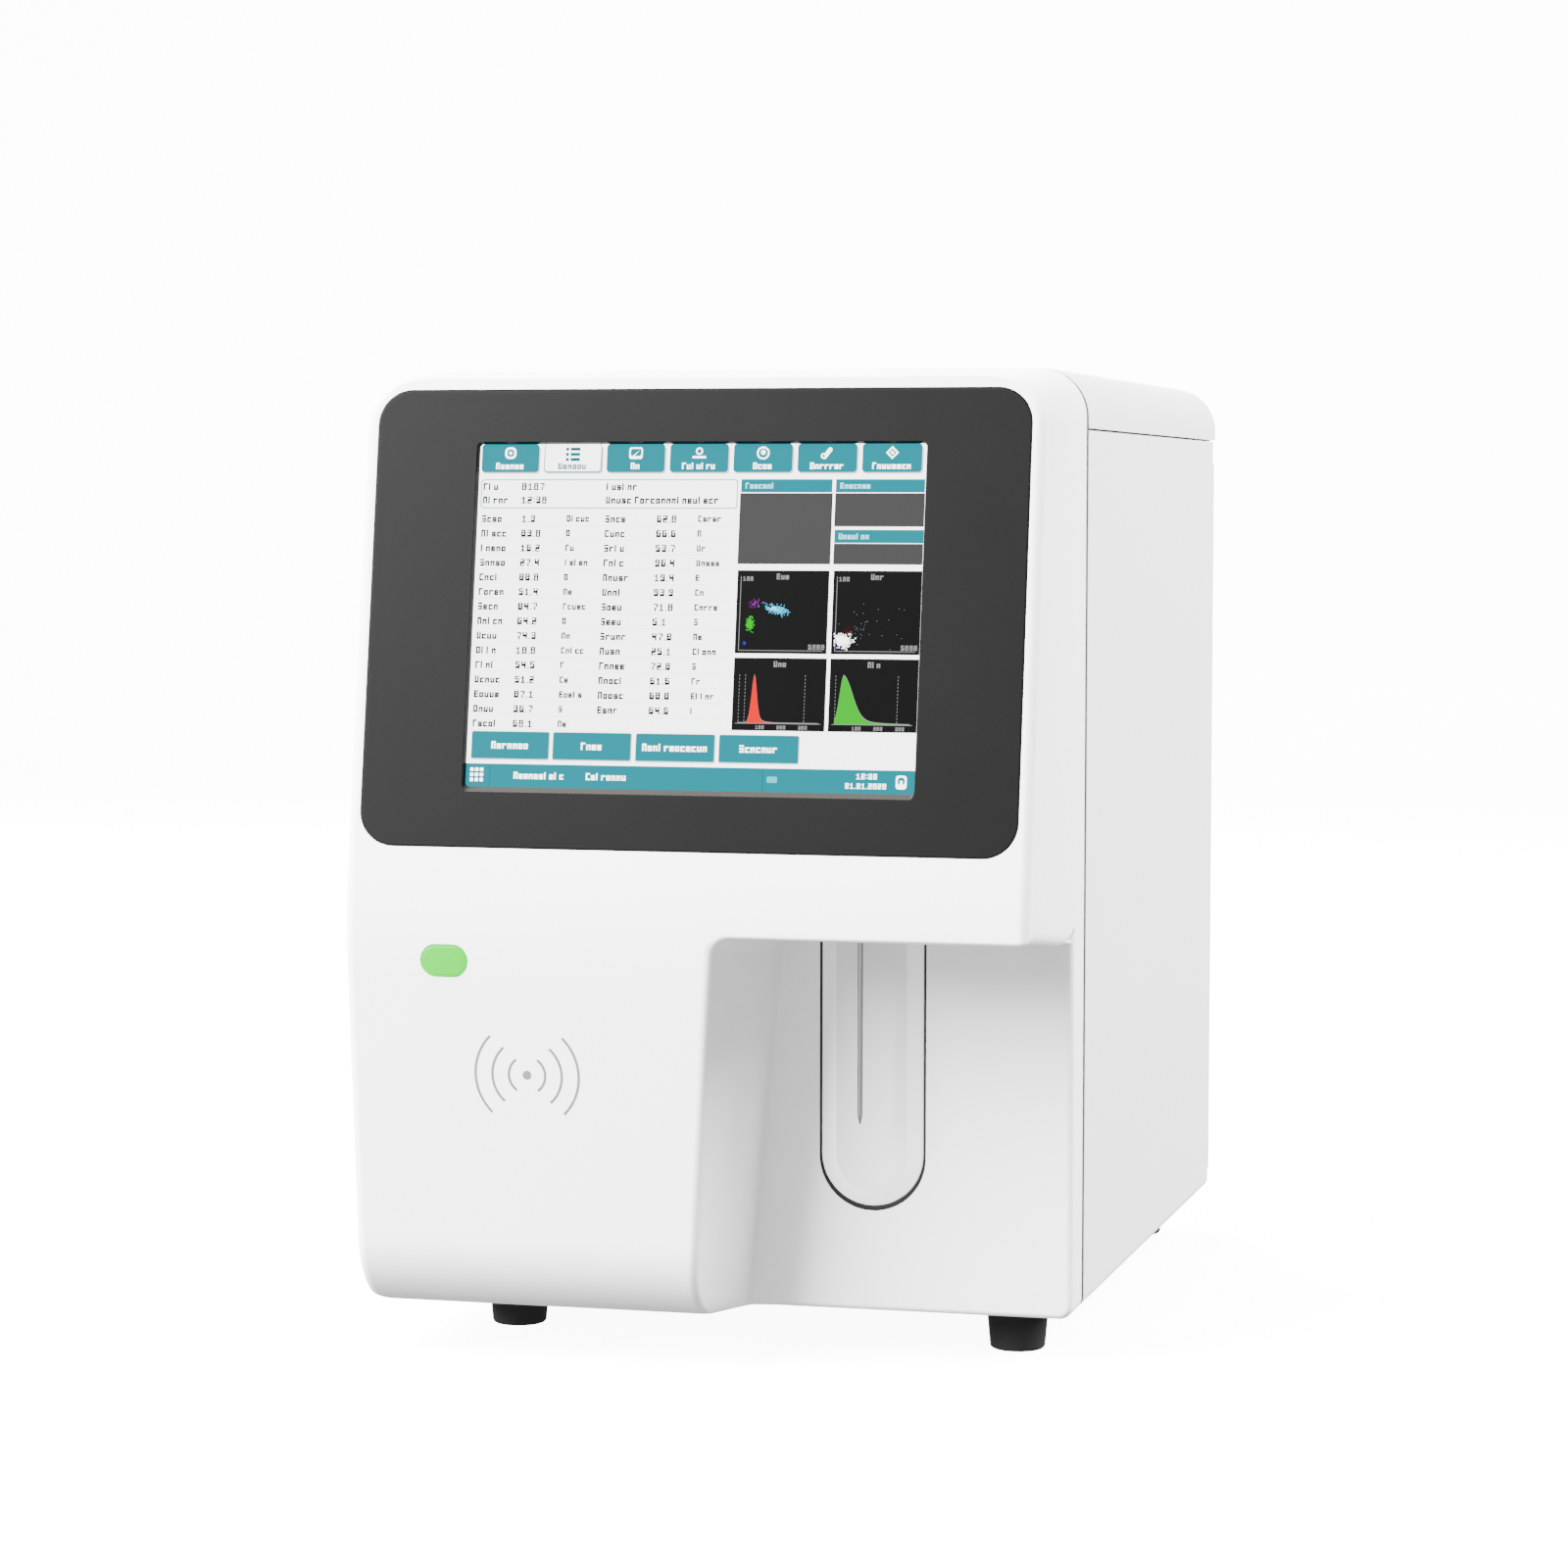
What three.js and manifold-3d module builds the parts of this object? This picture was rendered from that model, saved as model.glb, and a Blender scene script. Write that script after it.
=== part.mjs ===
// Benchtop hematology analyzer, built as separate casings, boards, drives and fluid units.
// Millimetres. +X is right seen from the front, +Y is back, +Z is up. Inside the group, y is
// zero where the front cover meets the main body and z is zero on the body's underside.
import * as THREE from "three";
import { mergeVertices } from "three/addons/utils/BufferGeometryUtils.js";
import Module from "manifold-3d";

const wasm = await Module();
wasm.setup();

// Casing
const bodyWidth = 332.8;
const bodyHeight = 437.8;
const bodyDepth = 376;
const topRadius = 23;
const bottomRadius = 6.5;
const sheet = 2.5;
const grooveWidth = 2;
const seamHeight = 409.5;
const seamGap = 1;
const curlReach = 13.6;
const clearance = 0.3;
const overrun = 30;

// Front cover: side profile
const bellyDepth = 103.5;
const bellyHeight = 178;
const bellyRadius = 225;
const displayLean = THREE.MathUtils.degToRad(8.67);
const lowerLean = THREE.MathUtils.degToRad(5.5);
const toeRadius = 38;
const topSlopeShare = 0.085;
const topSlopeHeight = 380;

// Front cover: plan
const coverWall = 3;
const displayWall = 7;
const displayWallHeight = 203;
const displayWallRise = 3;
const slabDepth = 28;
const coverFlare = 6;
const coverEdge = 5;

// Recess for the sample tube
const recessHeight = 180;
const recessFillet = 8.5;
const recessEdge = 3.5;
const creaseFootX = 13.4;
const creaseRiseShare = 0.0922;
const legFootX = 1.4;
const legRiseShare = 0.0765;
const overhangEdge = 7;

// Display, in the leaning plane of the screen
const bezelLowHeight = 218.4;
const bezelSide = 12.4;
const bezelHeight = 211;
const bezelThickness = 3.5;
const bezelCorner = 16;
const screenSide = 48.4;
const screenHeight = 158.4;
const screenOffset = 0.35;
const screenLowHeight = 27.95;
const screenCorner = 2;
const touchBorder = 5;
const touchThickness = 1.8;
const lcdBorder = 12;
const lcdThickness = 8;
const bracketSheet = 1.5;
const bracketWall = 1.5;
const bracketLip = 13;
const boardThickness = 1.6;
const boardStandoff = 6;
const standoffRadius = 3;
const displayBoardWidth = 150;
const displayBoardHeight = 120;
const displayBoardOffset = 50;
const displayBoardLowHeight = 45;

// Status light and card reader in the lower front
const lensWidth = 22.4;
const lensHeight = 14.6;
const lensSide = 54.4;
const lensCentreHeight = 166.3;
const lensProud = 0.5;
const lensPastWall = 2.5;
const ledBoardWidth = 34;
const ledBoardHeight = 26;
const readerFromLens = 38.2;
const readerDrop = 52;
const readerSide = 60;
const readerBack = 1;
const chipSide = 12;
const chipHeight = 2.4;

// Aspirate key in the recess's back wall
const keyOpeningWidth = 50.7;
const keyFromSide = 94.65;
const keyLowHeight = 47;
const keyTopWall = 4;
const keyTopCorner = 3;
const keySideGap = 1.1;
const keyBottomGap = 2.3;
const keyPadRise = 3;
const keyBevel = 8;
const keyPivotDrop = 10;
const keyPivotBack = 8;
const keyPinRadius = 2;
const keyPinPlay = 0.1;
const keyEarWall = 2.2;
const keyEarWidth = 4;
const keyEarInset = 4;
const keyArmWidth = 3;
const keyArmSpacing = 20;
const keyFootHeight = 26;
const keyFootThickness = 2;
const switchRise = 43;
const switchWidth = 20;
const switchTall = 11;
const switchDepth = 15;
const switchPlungerRadius = 1.6;
const switchPlungerRise = 3.2;

// Sample probe and its lift
const probeFront = 53;
const probeRadius = 1.25;
const probeTipHeight = 91;
const probeTipLength = 6;
const probeTipFlat = 0.35;
const hubRadius = 4;
const hubHeight = 10;
const carriageLowHeight = 206;
const carriageHeight = 24;
const carriageWidth = 29.4;
const carriageFront = 8;
const carriageBackGap = 2.7;
const railWidth = 9;
const railDepth = 6;
const liftWebFront = 24.3;
const liftWebSheet = 2;
const liftLeftReach = 31.75;
const liftRightReach = 50.25;
const liftLowHeight = 200;
const liftTopHeight = 405;
const railEndGap = 4;
const pulleyFromProbe = 26.25;
const pulleyRadius = 6.4;
const pulleyWidth = 6.6;
const pulleyFlangeRadius = 7.9;
const pulleyFlange = 0.9;
const drivePulleyHeight = 384;
const idlerPulleyHeight = 212;
const beltThickness = 1.4;
const beltWidth = 5.8;
const beltStand = 4;
const shaftRadius = 2.5;
const shaftPlay = 0.25;
const shaftDepth = 7;
const motorSide = 35;
const motorDepth = 19.7;
const motorCorner = 4;
const idlerPinRadius = 1.8;
const washWidth = 21;
const washDepth = 18;
const washHeight = 14;
const washBore = 2.2;
const ceilingHoleRadius = 7;

// Chassis
const frameThickness = 3.5;
const frameGap = 0.6;
const frameWindow = 40;
const frameWindowHeight = 300;
const frameWindowX = -40;
const baseFlange = 8;
const rearInset = 1.3;
const innerPanelFromSide = 126.4;
const innerPanelFront = 24;
const innerPanelBack = 352;
const innerPanelHeight = 395;
const innerPanelFlange = 18;

// Service door on the right
const beadRadius = 4.5;
const beadLowHeight = 11.1;
const beadTopHeight = 397;
const doorNotch = 3;
const hingePinRadius = 1.5;
const hingePinPlay = 0.1;
const hingePinLength = 10;
const hingePlate = 2.5;
const hingePlateWidth = 24;
const hingePlateDepth = 17;
const catchWidth = 12;
const catchDepth = 10;
const catchHeight = 30;
const catchCentreHeight = 215;

// Feet
const footHeight = 22.5;
const footTopRadius = 13.6;
const footBottomRadius = 11.6;
const footEdge = 2;
const frontFootY = 16;
const rearFootY = 348;
const footSide = 34.4;
const frontLeftFootSide = 51.4;

// Fluid units on the inner panel
const bathRadius = 15;
const bathWall = 2.5;
const bathHeight = 46;
const bathCone = 12;
const bathDrain = 2;
const bathBack = 8;
const bathStand = 22;
const bathBottomHeight = 250;
const bathFrontY = 60;
const bathSpacing = 46;
const benchFrontY = 160;
const benchLength = 130;
const benchDepth = 62;
const benchHeight = 44;
const benchBottomHeight = 286;
const benchBarrelRadius = 14;
const benchBarrelLength = 36;
const syringeY = 210;
const syringeStand = 26;
const barrelRadius = 8;
const barrelBore = 5.5;
const barrelLength = 62;
const barrelBottomHeight = 190;
const barrelBlock = 24;
const barrelBlockHeight = 16;
const plungerPlay = 0.3;
const plungerStroke = 30;
const plungerEngaged = 2;
const plungerRodRadius = 2.5;
const plungerHeadLength = 8;
const syringeMotorSide = 35;
const syringeMotorHeight = 34;
const syringeMotorTopHeight = 128;
const manifoldFrontY = 46;
const manifoldLength = 136;
const manifoldDepth = 24;
const manifoldHeight = 22;
const manifoldBottomHeight = 180;
const valveCount = 6;
const valveRadius = 8.5;
const valveLength = 30;
const pumpY = 96;
const pumpHeight = 96;
const pumpSide = 56;
const pumpDepth = 46;
const pumpHeadRadius = 24;
const pumpHeadDepth = 16;
const pumpCavityRadius = 20;
const rotorRadius = 15;
const rotorRollers = 3;
const rollerRadius = 4.2;
const rotorThickness = 11;
const rotorShaftRadius = 3;
const rotorShaftDepth = 8;

// Electronics
const mainBoardFrontY = 60;
const mainBoardLength = 210;
const mainBoardHeight = 200;
const mainBoardLowHeight = 130;
const supplyLength = 150;
const supplyWidth = 92;
const supplyHeight = 50;
const supplySheet = 1.5;
const supplyFromSide = 78.4;
const supplyFrontY = 170;
const ventSlotHeight = 3.5;
const ventSlotPitch = 8;

// Rear panel fittings
const fanSide = 80;
const fanDepth = 25;
const fanFromSide = 82.4;
const fanDrop = 89.5;
const fanBore = 37;
const fanHubRadius = 14;
const fanBladeCount = 7;
const fanBladeReach = 20;
const fanBladeThickness = 1.8;
const fanBladeDepth = 17;
const fanSpokeWidth = 5;
const fanSpokeDepth = 4;
const fanPinRadius = 2.5;
const fanPinLength = 6;
const ventColumns = 2;
const ventRows = 9;
const ventSlotWidth = 30;
const ventColumnPitch = 38;
const inletFromSide = 54.4;
const inletHeight = 60;
const inletFlangeWidth = 50;
const inletFlangeHeight = 32;
const inletFlange = 3;
const inletBodyWidth = 30;
const inletBodyHeight = 23;
const inletBodyDepth = 22;
const inletWellWidth = 25;
const inletWellHeight = 17;
const inletWellDepth = 16;
const inletPinWidth = 2;
const inletPinHeight = 4;
const inletPinPitch = 7;
const inletPinLength = 10;
const powerSwitchFromInlet = 50;
const powerSwitchWidth = 22;
const powerSwitchTall = 30;
const powerSwitchFlange = 2;
const powerSwitchDepth = 20;
const rockerWidth = 15;
const rockerTall = 23;
const rockerWellDepth = 13;
const rockerTilt = THREE.MathUtils.degToRad(7);
const rockerThickness = 8;
const rockerRise = 1.5;
const rockerPlay = 1;
const lastPortFromSide = 35.4;
const portPitch = 28;
const portHeight = 120;
const portFlangeRadius = 9;
const portFlange = 3;
const portRadius = 5;
const portReach = 14;
const portBarbRadius = 3.4;
const portBore = 1.8;
const portInside = 12;
const socketFromSide = 66.4;
const socketHeight = 190;
const socketPitch = 22;
const socketWidth = 15;
const socketTall = 7.5;
const socketDepth = 14;
const socketFlangeBorder = 3;
const socketFlange = 1.5;
const networkWidth = 16;
const networkTall = 14;
const networkFromSocket = 52;
const groundFromInlet = 82;
const groundHeight = 60;
const groundRadius = 3;
const groundNutRadius = 6;
const groundNut = 4;
const groundReach = 12;

const arcSteps = 4;
const flareSteps = 3;
const fineSteps = 24;
const smallSteps = 12;
const smallRadius = 9;
const weld = 1e-4;

// Where a board's posts and chips lie, as shares of its sides, and how many chip sides each chip spans
const postShares = [0.1, 0.9];
const chipShares = [[0.3, 0.35], [0.65, 0.3], [0.7, 0.7], [0.3, 0.75]];
const chipCounts = [[2, 2], [1, 1], [2, 1], [1, 2]];

// Finishes
const whiteShell = { color: 0xf1f1f0, roughness: 0.42, metalness: 0 };
const paintedSheet = { color: 0xeaeae9, roughness: 0.5, metalness: 0 };
const darkPlastic = { color: 0x424242, roughness: 0.35, metalness: 0 };
const blackPlastic = { color: 0x1c1c1e, roughness: 0.5, metalness: 0 };
const screenFace = { color: 0x30b0be, roughness: 0.2, metalness: 0 };
const greenLens = { color: 0x96eb8b, roughness: 0.2, metalness: 0 };
const greenBoard = { color: 0x1f6b45, roughness: 0.6, metalness: 0 };
const zincSheet = { color: 0xb9bdc1, roughness: 0.45, metalness: 0.9 };
const steel = { color: 0xa8abae, roughness: 0.25, metalness: 1 };
const brightMetal = { color: 0xc9ccd0, roughness: 0.3, metalness: 0.95 };
const rubber = { color: 0x2e2e2e, roughness: 0.85, metalness: 0 };
const greyPlastic = { color: 0x9a9da0, roughness: 0.55, metalness: 0 };
const clearPlastic = { color: 0xd7e4ea, roughness: 0.15, metalness: 0 };

// Places tied to the casing
const halfWidth = bodyWidth / 2;
const bezelWidth = bodyWidth - 2 * bezelSide;
const screenWidth = bezelWidth - 2 * screenSide;
const lensX = lensSide - halfWidth;
const lensDepth = displayWall + lensPastWall;
const readerX = lensX + readerFromLens;
const readerCentreHeight = lensCentreHeight - readerDrop;
const keyCentreX = halfWidth - keyFromSide;
const keyTopHeight = recessHeight - keyTopWall;
const keyPivotHeight = keyTopHeight - keyPivotDrop;
const switchHeight = keyLowHeight + switchRise;
const probeX = keyCentreX;
const liftLeft = probeX - liftLeftReach;
const liftRight = probeX + liftRightReach;
const pulleyX = probeX + pulleyFromProbe;
const innerPanelX = halfWidth - innerPanelFromSide;
const rightFootX = halfWidth - footSide;
const frontLeftFootX = frontLeftFootSide - halfWidth;
const supplyX = supplyFromSide - halfWidth;
const fanX = fanFromSide - halfWidth;
const fanCentreHeight = seamHeight - fanDrop;
const inletX = inletFromSide - halfWidth;
const powerSwitchX = inletX + powerSwitchFromInlet;
const portX = halfWidth - lastPortFromSide - 2 * portPitch;
const socketX = socketFromSide - halfWidth;
const networkX = socketX + networkFromSocket;
const groundX = inletX + groundFromInlet;
const rearPanelOuter = bodyDepth - rearInset;
const rearPanelInner = rearPanelOuter - sheet;
const frameBack = frameThickness / 2;

// Solids

function solid(shape) {
  if (!shape.isBufferGeometry) return shape;
  const bare = shape.clone();
  bare.deleteAttribute("normal");
  bare.deleteAttribute("uv");
  const merged = mergeVertices(bare, weld);
  return new wasm.Manifold(new wasm.Mesh({
    numProp: 3,
    vertProperties: Float32Array.from(merged.attributes.position.array),
    triVerts: Uint32Array.from(merged.index.array),
  }));
}

function join(...shapes) {
  return shapes.map(solid).reduce((whole, next) => whole.add(next));
}

function cut(base, ...tools) {
  return tools.map(solid).reduce((whole, tool) => whole.subtract(tool), solid(base));
}

function part(name, shape, finish) {
  const result = solid(shape).getMesh();
  const geometry = new THREE.BufferGeometry();
  geometry.setAttribute("position", new THREE.BufferAttribute(result.vertProperties, 3));
  geometry.setIndex(new THREE.BufferAttribute(result.triVerts, 1));
  geometry.computeVertexNormals();
  const mesh = new THREE.Mesh(geometry, new THREE.MeshStandardMaterial(finish));
  mesh.name = name;
  return mesh;
}

function block([x0, x1], [y0, y1], [z0, z1]) {
  const box = new THREE.BoxGeometry(x1 - x0, y1 - y0, z1 - z0);
  return box.translate((x0 + x1) / 2, (y0 + y1) / 2, (z0 + z1) / 2);
}

// The range of a length centred on a place
function about(centre, length) {
  return [centre - length / 2, centre + length / 2];
}

// Facets round a rod: few on a thin one
function facets(radius) {
  return radius > smallRadius ? fineSteps : smallSteps;
}

function rodX(radius, [x0, x1], y, z, steps = facets(radius)) {
  const rod = new THREE.CylinderGeometry(radius, radius, x1 - x0, steps);
  return rod.rotateZ(Math.PI / 2).translate((x0 + x1) / 2, y, z);
}

function rodY(radius, x, [y0, y1], z, steps = facets(radius)) {
  const rod = new THREE.CylinderGeometry(radius, radius, y1 - y0, steps);
  return rod.translate(x, (y0 + y1) / 2, z);
}

function rodZ(radius, x, y, [z0, z1], steps = facets(radius)) {
  const rod = new THREE.CylinderGeometry(radius, radius, z1 - z0, steps);
  return rod.rotateX(Math.PI / 2).translate(x, y, (z0 + z1) / 2);
}

function extrude(shape, depth) {
  return new THREE.ExtrudeGeometry(shape, { depth, bevelEnabled: false, curveSegments: arcSteps });
}

// A shape drawn in x and z, made solid from y0 to y1
function plateY(shape, [y0, y1]) {
  return extrude(shape, y1 - y0).rotateX(Math.PI / 2).translate(0, y1, 0);
}

// A shape drawn in x and y, made solid from z0 to z1
function plateZ(shape, [z0, z1]) {
  return extrude(shape, z1 - z0).translate(0, 0, z0);
}

// A rectangle between two ranges whose corners have their own radii
function roundedShape([x0, x1], [y0, y1], low, high = low) {
  const shape = new THREE.Shape();
  shape.moveTo(x0 + low, y0);
  shape.lineTo(x1 - low, y0);
  shape.absarc(x1 - low, y0 + low, low, -Math.PI / 2, 0);
  shape.lineTo(x1, y1 - high);
  shape.absarc(x1 - high, y1 - high, high, 0, Math.PI / 2);
  shape.lineTo(x0 + high, y1);
  shape.absarc(x0 + high, y1 - high, high, Math.PI / 2, Math.PI);
  shape.lineTo(x0, y0 + low);
  shape.absarc(x0 + low, y0 + low, low, Math.PI, Math.PI * 1.5);
  return shape;
}

// The body's outline in x and z, drawn in from the outside by an inset
function bodyOutline(inset) {
  const low = Math.max(bottomRadius - inset, clearance);
  const across = [inset - halfWidth, halfWidth - inset];
  return roundedShape(across, [inset, bodyHeight - inset], low, topRadius - inset);
}

// A closed solid through rings of equal count, given from the lowest to the highest
function loft(rings) {
  const count = rings[0].length;
  const positions = rings.flat().flatMap((point) => [point.x, point.y, point.z]);
  const index = [];
  for (let ring = 0; ring + 1 < rings.length; ring += 1) {
    for (let i = 0; i < count; i += 1) {
      const a = ring * count + i;
      const b = ring * count + ((i + 1) % count);
      index.push(a, b, b + count, a, b + count, a + count);
    }
  }
  const flat = (ring) => ring.map((point) => new THREE.Vector2(point.x, point.y));
  const last = (rings.length - 1) * count;
  for (const [a, b, c] of THREE.ShapeUtils.triangulateShape(flat(rings[0]), [])) index.push(a, c, b);
  for (const [a, b, c] of THREE.ShapeUtils.triangulateShape(flat(rings.at(-1)), [])) {
    index.push(last + a, last + b, last + c);
  }
  const geometry = new THREE.BufferGeometry();
  geometry.setAttribute("position", new THREE.Float32BufferAttribute(positions, 3));
  geometry.setIndex(index);
  return geometry;
}

// Front cover

const bellyTop = bellyHeight + bellyRadius * Math.sin(displayLean);
const bellyLow = bellyHeight - bellyRadius * Math.sin(lowerLean);
const toeTop = toeRadius * (1 - Math.sin(lowerLean));
const bellyTopY = bellyRadius * (1 - Math.cos(displayLean)) - bellyDepth;
const bellyLowY = bellyRadius * (1 - Math.cos(lowerLean)) - bellyDepth;
const toeTopY = bellyLowY + (bellyLow - toeTop) * Math.tan(lowerLean);
const toeCentreY = toeTopY + toeRadius * Math.cos(lowerLean);

// Depth of the front face at a height: leaning screen plane, belly arc, lower plane, toe arc
function frontY(z) {
  if (z > bellyTop) return bellyTopY + (z - bellyTop) * Math.tan(displayLean);
  if (z > bellyLow) return bellyRadius - bellyDepth - Math.sqrt(bellyRadius ** 2 - (z - bellyHeight) ** 2);
  if (z > toeTop) return toeTopY - (z - toeTop) * Math.tan(lowerLean);
  const below = toeRadius - Math.max(z, 0);
  return toeCentreY - Math.sqrt(toeRadius ** 2 - below ** 2);
}

// Half the cover's width at a height, narrowed where its upper and lower corners are round
function halfAt(z, inset) {
  const upper = z - (bodyHeight - topRadius);
  const lower = bottomRadius - z;
  const radius = upper > 0 ? topRadius : bottomRadius;
  const rise = Math.max(upper, lower);
  if (rise <= 0) return halfWidth - inset;
  return halfWidth - radius + Math.sqrt(Math.max((radius - inset) ** 2 - rise ** 2, 0));
}

// The heights where the cover's rings lie, closest together on its arcs
function coverHeights(inset) {
  const heights = [];
  for (let i = 0; i <= arcSteps; i += 1) {
    const share = i / arcSteps;
    const turn = (Math.PI / 2) * share;
    heights.push(bottomRadius - (bottomRadius - inset) * Math.cos(turn));
    heights.push(bodyHeight - topRadius + (topRadius - inset) * Math.sin(turn));
    heights.push(toeRadius - toeRadius * Math.cos(turn));
    heights.push(bellyLow + (bellyTop - bellyLow) * share);
    heights.push(topSlopeHeight + (bodyHeight - topRadius - topSlopeHeight) * share);
  }
  heights.push(bellyHeight, displayWallHeight, displayWallHeight + displayWallRise);
  const inside = heights.filter((z) => z >= inset && z <= bodyHeight - inset).sort((a, b) => a - b);
  return inside.filter((z, i) => i === 0 || z - inside[i - 1] > clearance);
}

// One ring of the cover: straight by the slab, then flared in to a rounded front edge
function coverRing(z, inset, rearY) {
  const drop = topSlopeShare * Math.max((z - topSlopeHeight) / (bodyHeight - topSlopeHeight), 0);
  const wall = inset > 0 && z > displayWallHeight ? displayWall : inset;
  const front = frontY(z + drop * frontY(z)) + wall;
  const edge = Math.max(coverEdge - inset, clearance);
  const half = halfAt(z, inset);
  const side = [new THREE.Vector2(half, rearY), new THREE.Vector2(half, -slabDepth)];
  for (let i = 1; i < flareSteps; i += 1) {
    const share = i / flareSteps;
    const y = THREE.MathUtils.lerp(-slabDepth, front + edge, share);
    side.push(new THREE.Vector2(half - coverFlare * share ** 2, y));
  }
  for (let i = 0; i <= arcSteps; i += 1) {
    const turn = (Math.PI / 2) * (i / arcSteps);
    const x = half - coverFlare - edge + edge * Math.cos(turn);
    side.push(new THREE.Vector2(x, front + edge - edge * Math.sin(turn)));
  }
  const mirrored = side.map((point) => new THREE.Vector2(-point.x, point.y)).reverse();
  const loop = [...side, ...mirrored].reverse();
  return loop.map((point) => new THREE.Vector3(point.x, point.y, z + drop * point.y));
}

function coverBlank(inset, rearY) {
  return loft(coverHeights(inset).map((z) => coverRing(z, inset, rearY)));
}

// The room of the recess, wider by a grown wall where the cover's inside keeps clear of it
function recessRoom(grown) {
  const steps = coverHeights(0).filter((z) => z < recessHeight - recessFillet - clearance);
  steps.unshift(-overrun);
  steps.push(recessHeight - recessFillet);
  for (let i = 1; i <= arcSteps; i += 1) {
    steps.push(recessHeight - recessFillet + recessFillet * Math.sin((Math.PI / 2) * (i / arcSteps)));
  }
  const reach = bellyDepth + overrun;
  return loft(steps.map((height) => {
    const z = Math.max(height, 0);
    const rise = Math.max(height - recessHeight + recessFillet, 0);
    const fillet = recessFillet - Math.sqrt(recessFillet ** 2 - rise ** 2);
    const back = creaseFootX + creaseRiseShare * z + fillet - grown;
    const front = legFootX + legRiseShare * z + fillet - grown;
    const face = frontY(z);
    const slope = (back - front) / (-slabDepth - face);
    const nearY = face + recessEdge;
    const nearX = front + slope * recessEdge;
    const edge = [];
    for (let i = 1; i <= arcSteps; i += 1) {
      const turn = (Math.PI / 2) * (i / arcSteps);
      const x = nearX - (recessEdge + slope * recessEdge) * (1 - Math.cos(turn));
      edge.push([x, nearY - recessEdge * Math.sin(turn)]);
    }
    const cornerX = edge.at(-1)[0];
    const outline = [
      [back, grown - slabDepth], [nearX, nearY], ...edge, [cornerX, -reach],
      [halfWidth + overrun, -reach], [halfWidth + overrun, grown - slabDepth],
    ];
    const top = height + (height > 0 ? grown : 0);
    return outline.map(([x, y]) => new THREE.Vector3(x, y, top));
  }));
}

// What rounds the long lower edge at the right of the overhang
function overhangRounding() {
  const rings = [];
  const front = -bellyDepth - overrun;
  for (let i = 0; i <= arcSteps; i += 1) {
    const share = i / arcSteps;
    const y = THREE.MathUtils.lerp(front, -slabDepth, share);
    const inward = THREE.MathUtils.clamp((y + slabDepth) / (coverEdge + slabDepth - bellyDepth), 0, 1);
    const side = halfWidth - coverFlare * inward ** 2;
    const low = recessHeight - clearance;
    const high = recessHeight + overhangEdge;
    const ring = [[side - overhangEdge, low], [side + overrun, low], [side + overrun, high]];
    for (let j = 0; j <= arcSteps; j += 1) {
      const turn = (Math.PI / 2) * (j / arcSteps);
      const x = side - overhangEdge + overhangEdge * Math.cos(turn);
      ring.push([x, high - overhangEdge * Math.sin(turn)]);
    }
    rings.push(ring.reverse().map(([x, z]) => new THREE.Vector3(x, -z, y)));
  }
  return loft(rings).rotateX(-Math.PI / 2);
}

const display = new THREE.Group();
display.position.set(0, frontY(bezelLowHeight), bezelLowHeight);
display.rotation.x = -displayLean;
display.updateMatrix();

const screenLeft = screenOffset - screenWidth / 2;
const screenRight = screenOffset + screenWidth / 2;
const screenTop = screenLowHeight + screenHeight;

// Ranges of the screen opening, grown by a border on every side
function screenAcross(border) {
  return [screenLeft - border, screenRight + border];
}

function screenUp(border) {
  return [screenLowHeight - border, screenTop + border];
}

function keyShape(side, low) {
  const half = keyOpeningWidth / 2 - side;
  const top = keyTopHeight - side;
  const centre = keyLowHeight + low + half;
  const corner = Math.max(keyTopCorner - side, clearance);
  const shape = new THREE.Shape();
  shape.moveTo(keyCentreX + half, centre);
  shape.lineTo(keyCentreX + half, top - corner);
  shape.absarc(keyCentreX + half - corner, top - corner, corner, 0, Math.PI / 2);
  shape.lineTo(keyCentreX - half + corner, top);
  shape.absarc(keyCentreX - half + corner, top - corner, corner, Math.PI / 2, Math.PI);
  shape.lineTo(keyCentreX - half, centre);
  shape.absarc(keyCentreX, centre, half, Math.PI, Math.PI * 2);
  return shape;
}

function lensShape(grown) {
  const across = about(lensX, lensWidth + grown * 2);
  return roundedShape(across, about(lensCentreHeight, lensHeight + grown * 2), lensHeight / 2 + grown - weld);
}

function frontCover() {
  const rearY = -grooveWidth / 2;
  const pocketDepth = bezelThickness + clearance;
  const grow = clearance;
  const pocketAcross = [-bezelWidth / 2 - grow, bezelWidth / 2 + grow];
  const pocket = plateY(roundedShape(pocketAcross, [-grow, bezelHeight + grow], bezelCorner + grow),
    [-overrun, pocketDepth]).applyMatrix4(display.matrix);
  const border = lcdBorder + clearance;
  const window = block(screenAcross(border), [-overrun, overrun], screenUp(border));
  const lensHole = plateY(lensShape(clearance), [-bellyDepth - overrun, -bellyDepth + overrun]);
  const keyHole = plateY(keyShape(0, 0), [-slabDepth - overrun, clearance - grooveWidth]);
  const probeHole = rodZ(ceilingHoleRadius, probeX, -probeFront, about(recessHeight, overrun));
  const shell = cut(coverBlank(0, rearY), cut(coverBlank(coverWall, overrun), recessRoom(coverWall)));
  const shaped = cut(shell, recessRoom(0), overhangRounding());
  const holes = [pocket, window.applyMatrix4(display.matrix), lensHole, keyHole, probeHole];
  return part("front_cover", cut(shaped, ...holes), whiteShell);
}

// Display

function screenBezel() {
  const outline = roundedShape([-bezelWidth / 2, bezelWidth / 2], [0, bezelHeight], bezelCorner);
  outline.holes.push(roundedShape(screenAcross(0), screenUp(0), screenCorner));
  return part("screen_bezel", plateY(outline, [0, bezelThickness]), darkPlastic);
}

const touchFront = bezelThickness + clearance;
const lcdFront = touchFront + touchThickness + clearance;
const lcdBack = lcdFront + lcdThickness;
const bracketBack = lcdBack + clearance + bracketSheet;

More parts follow.
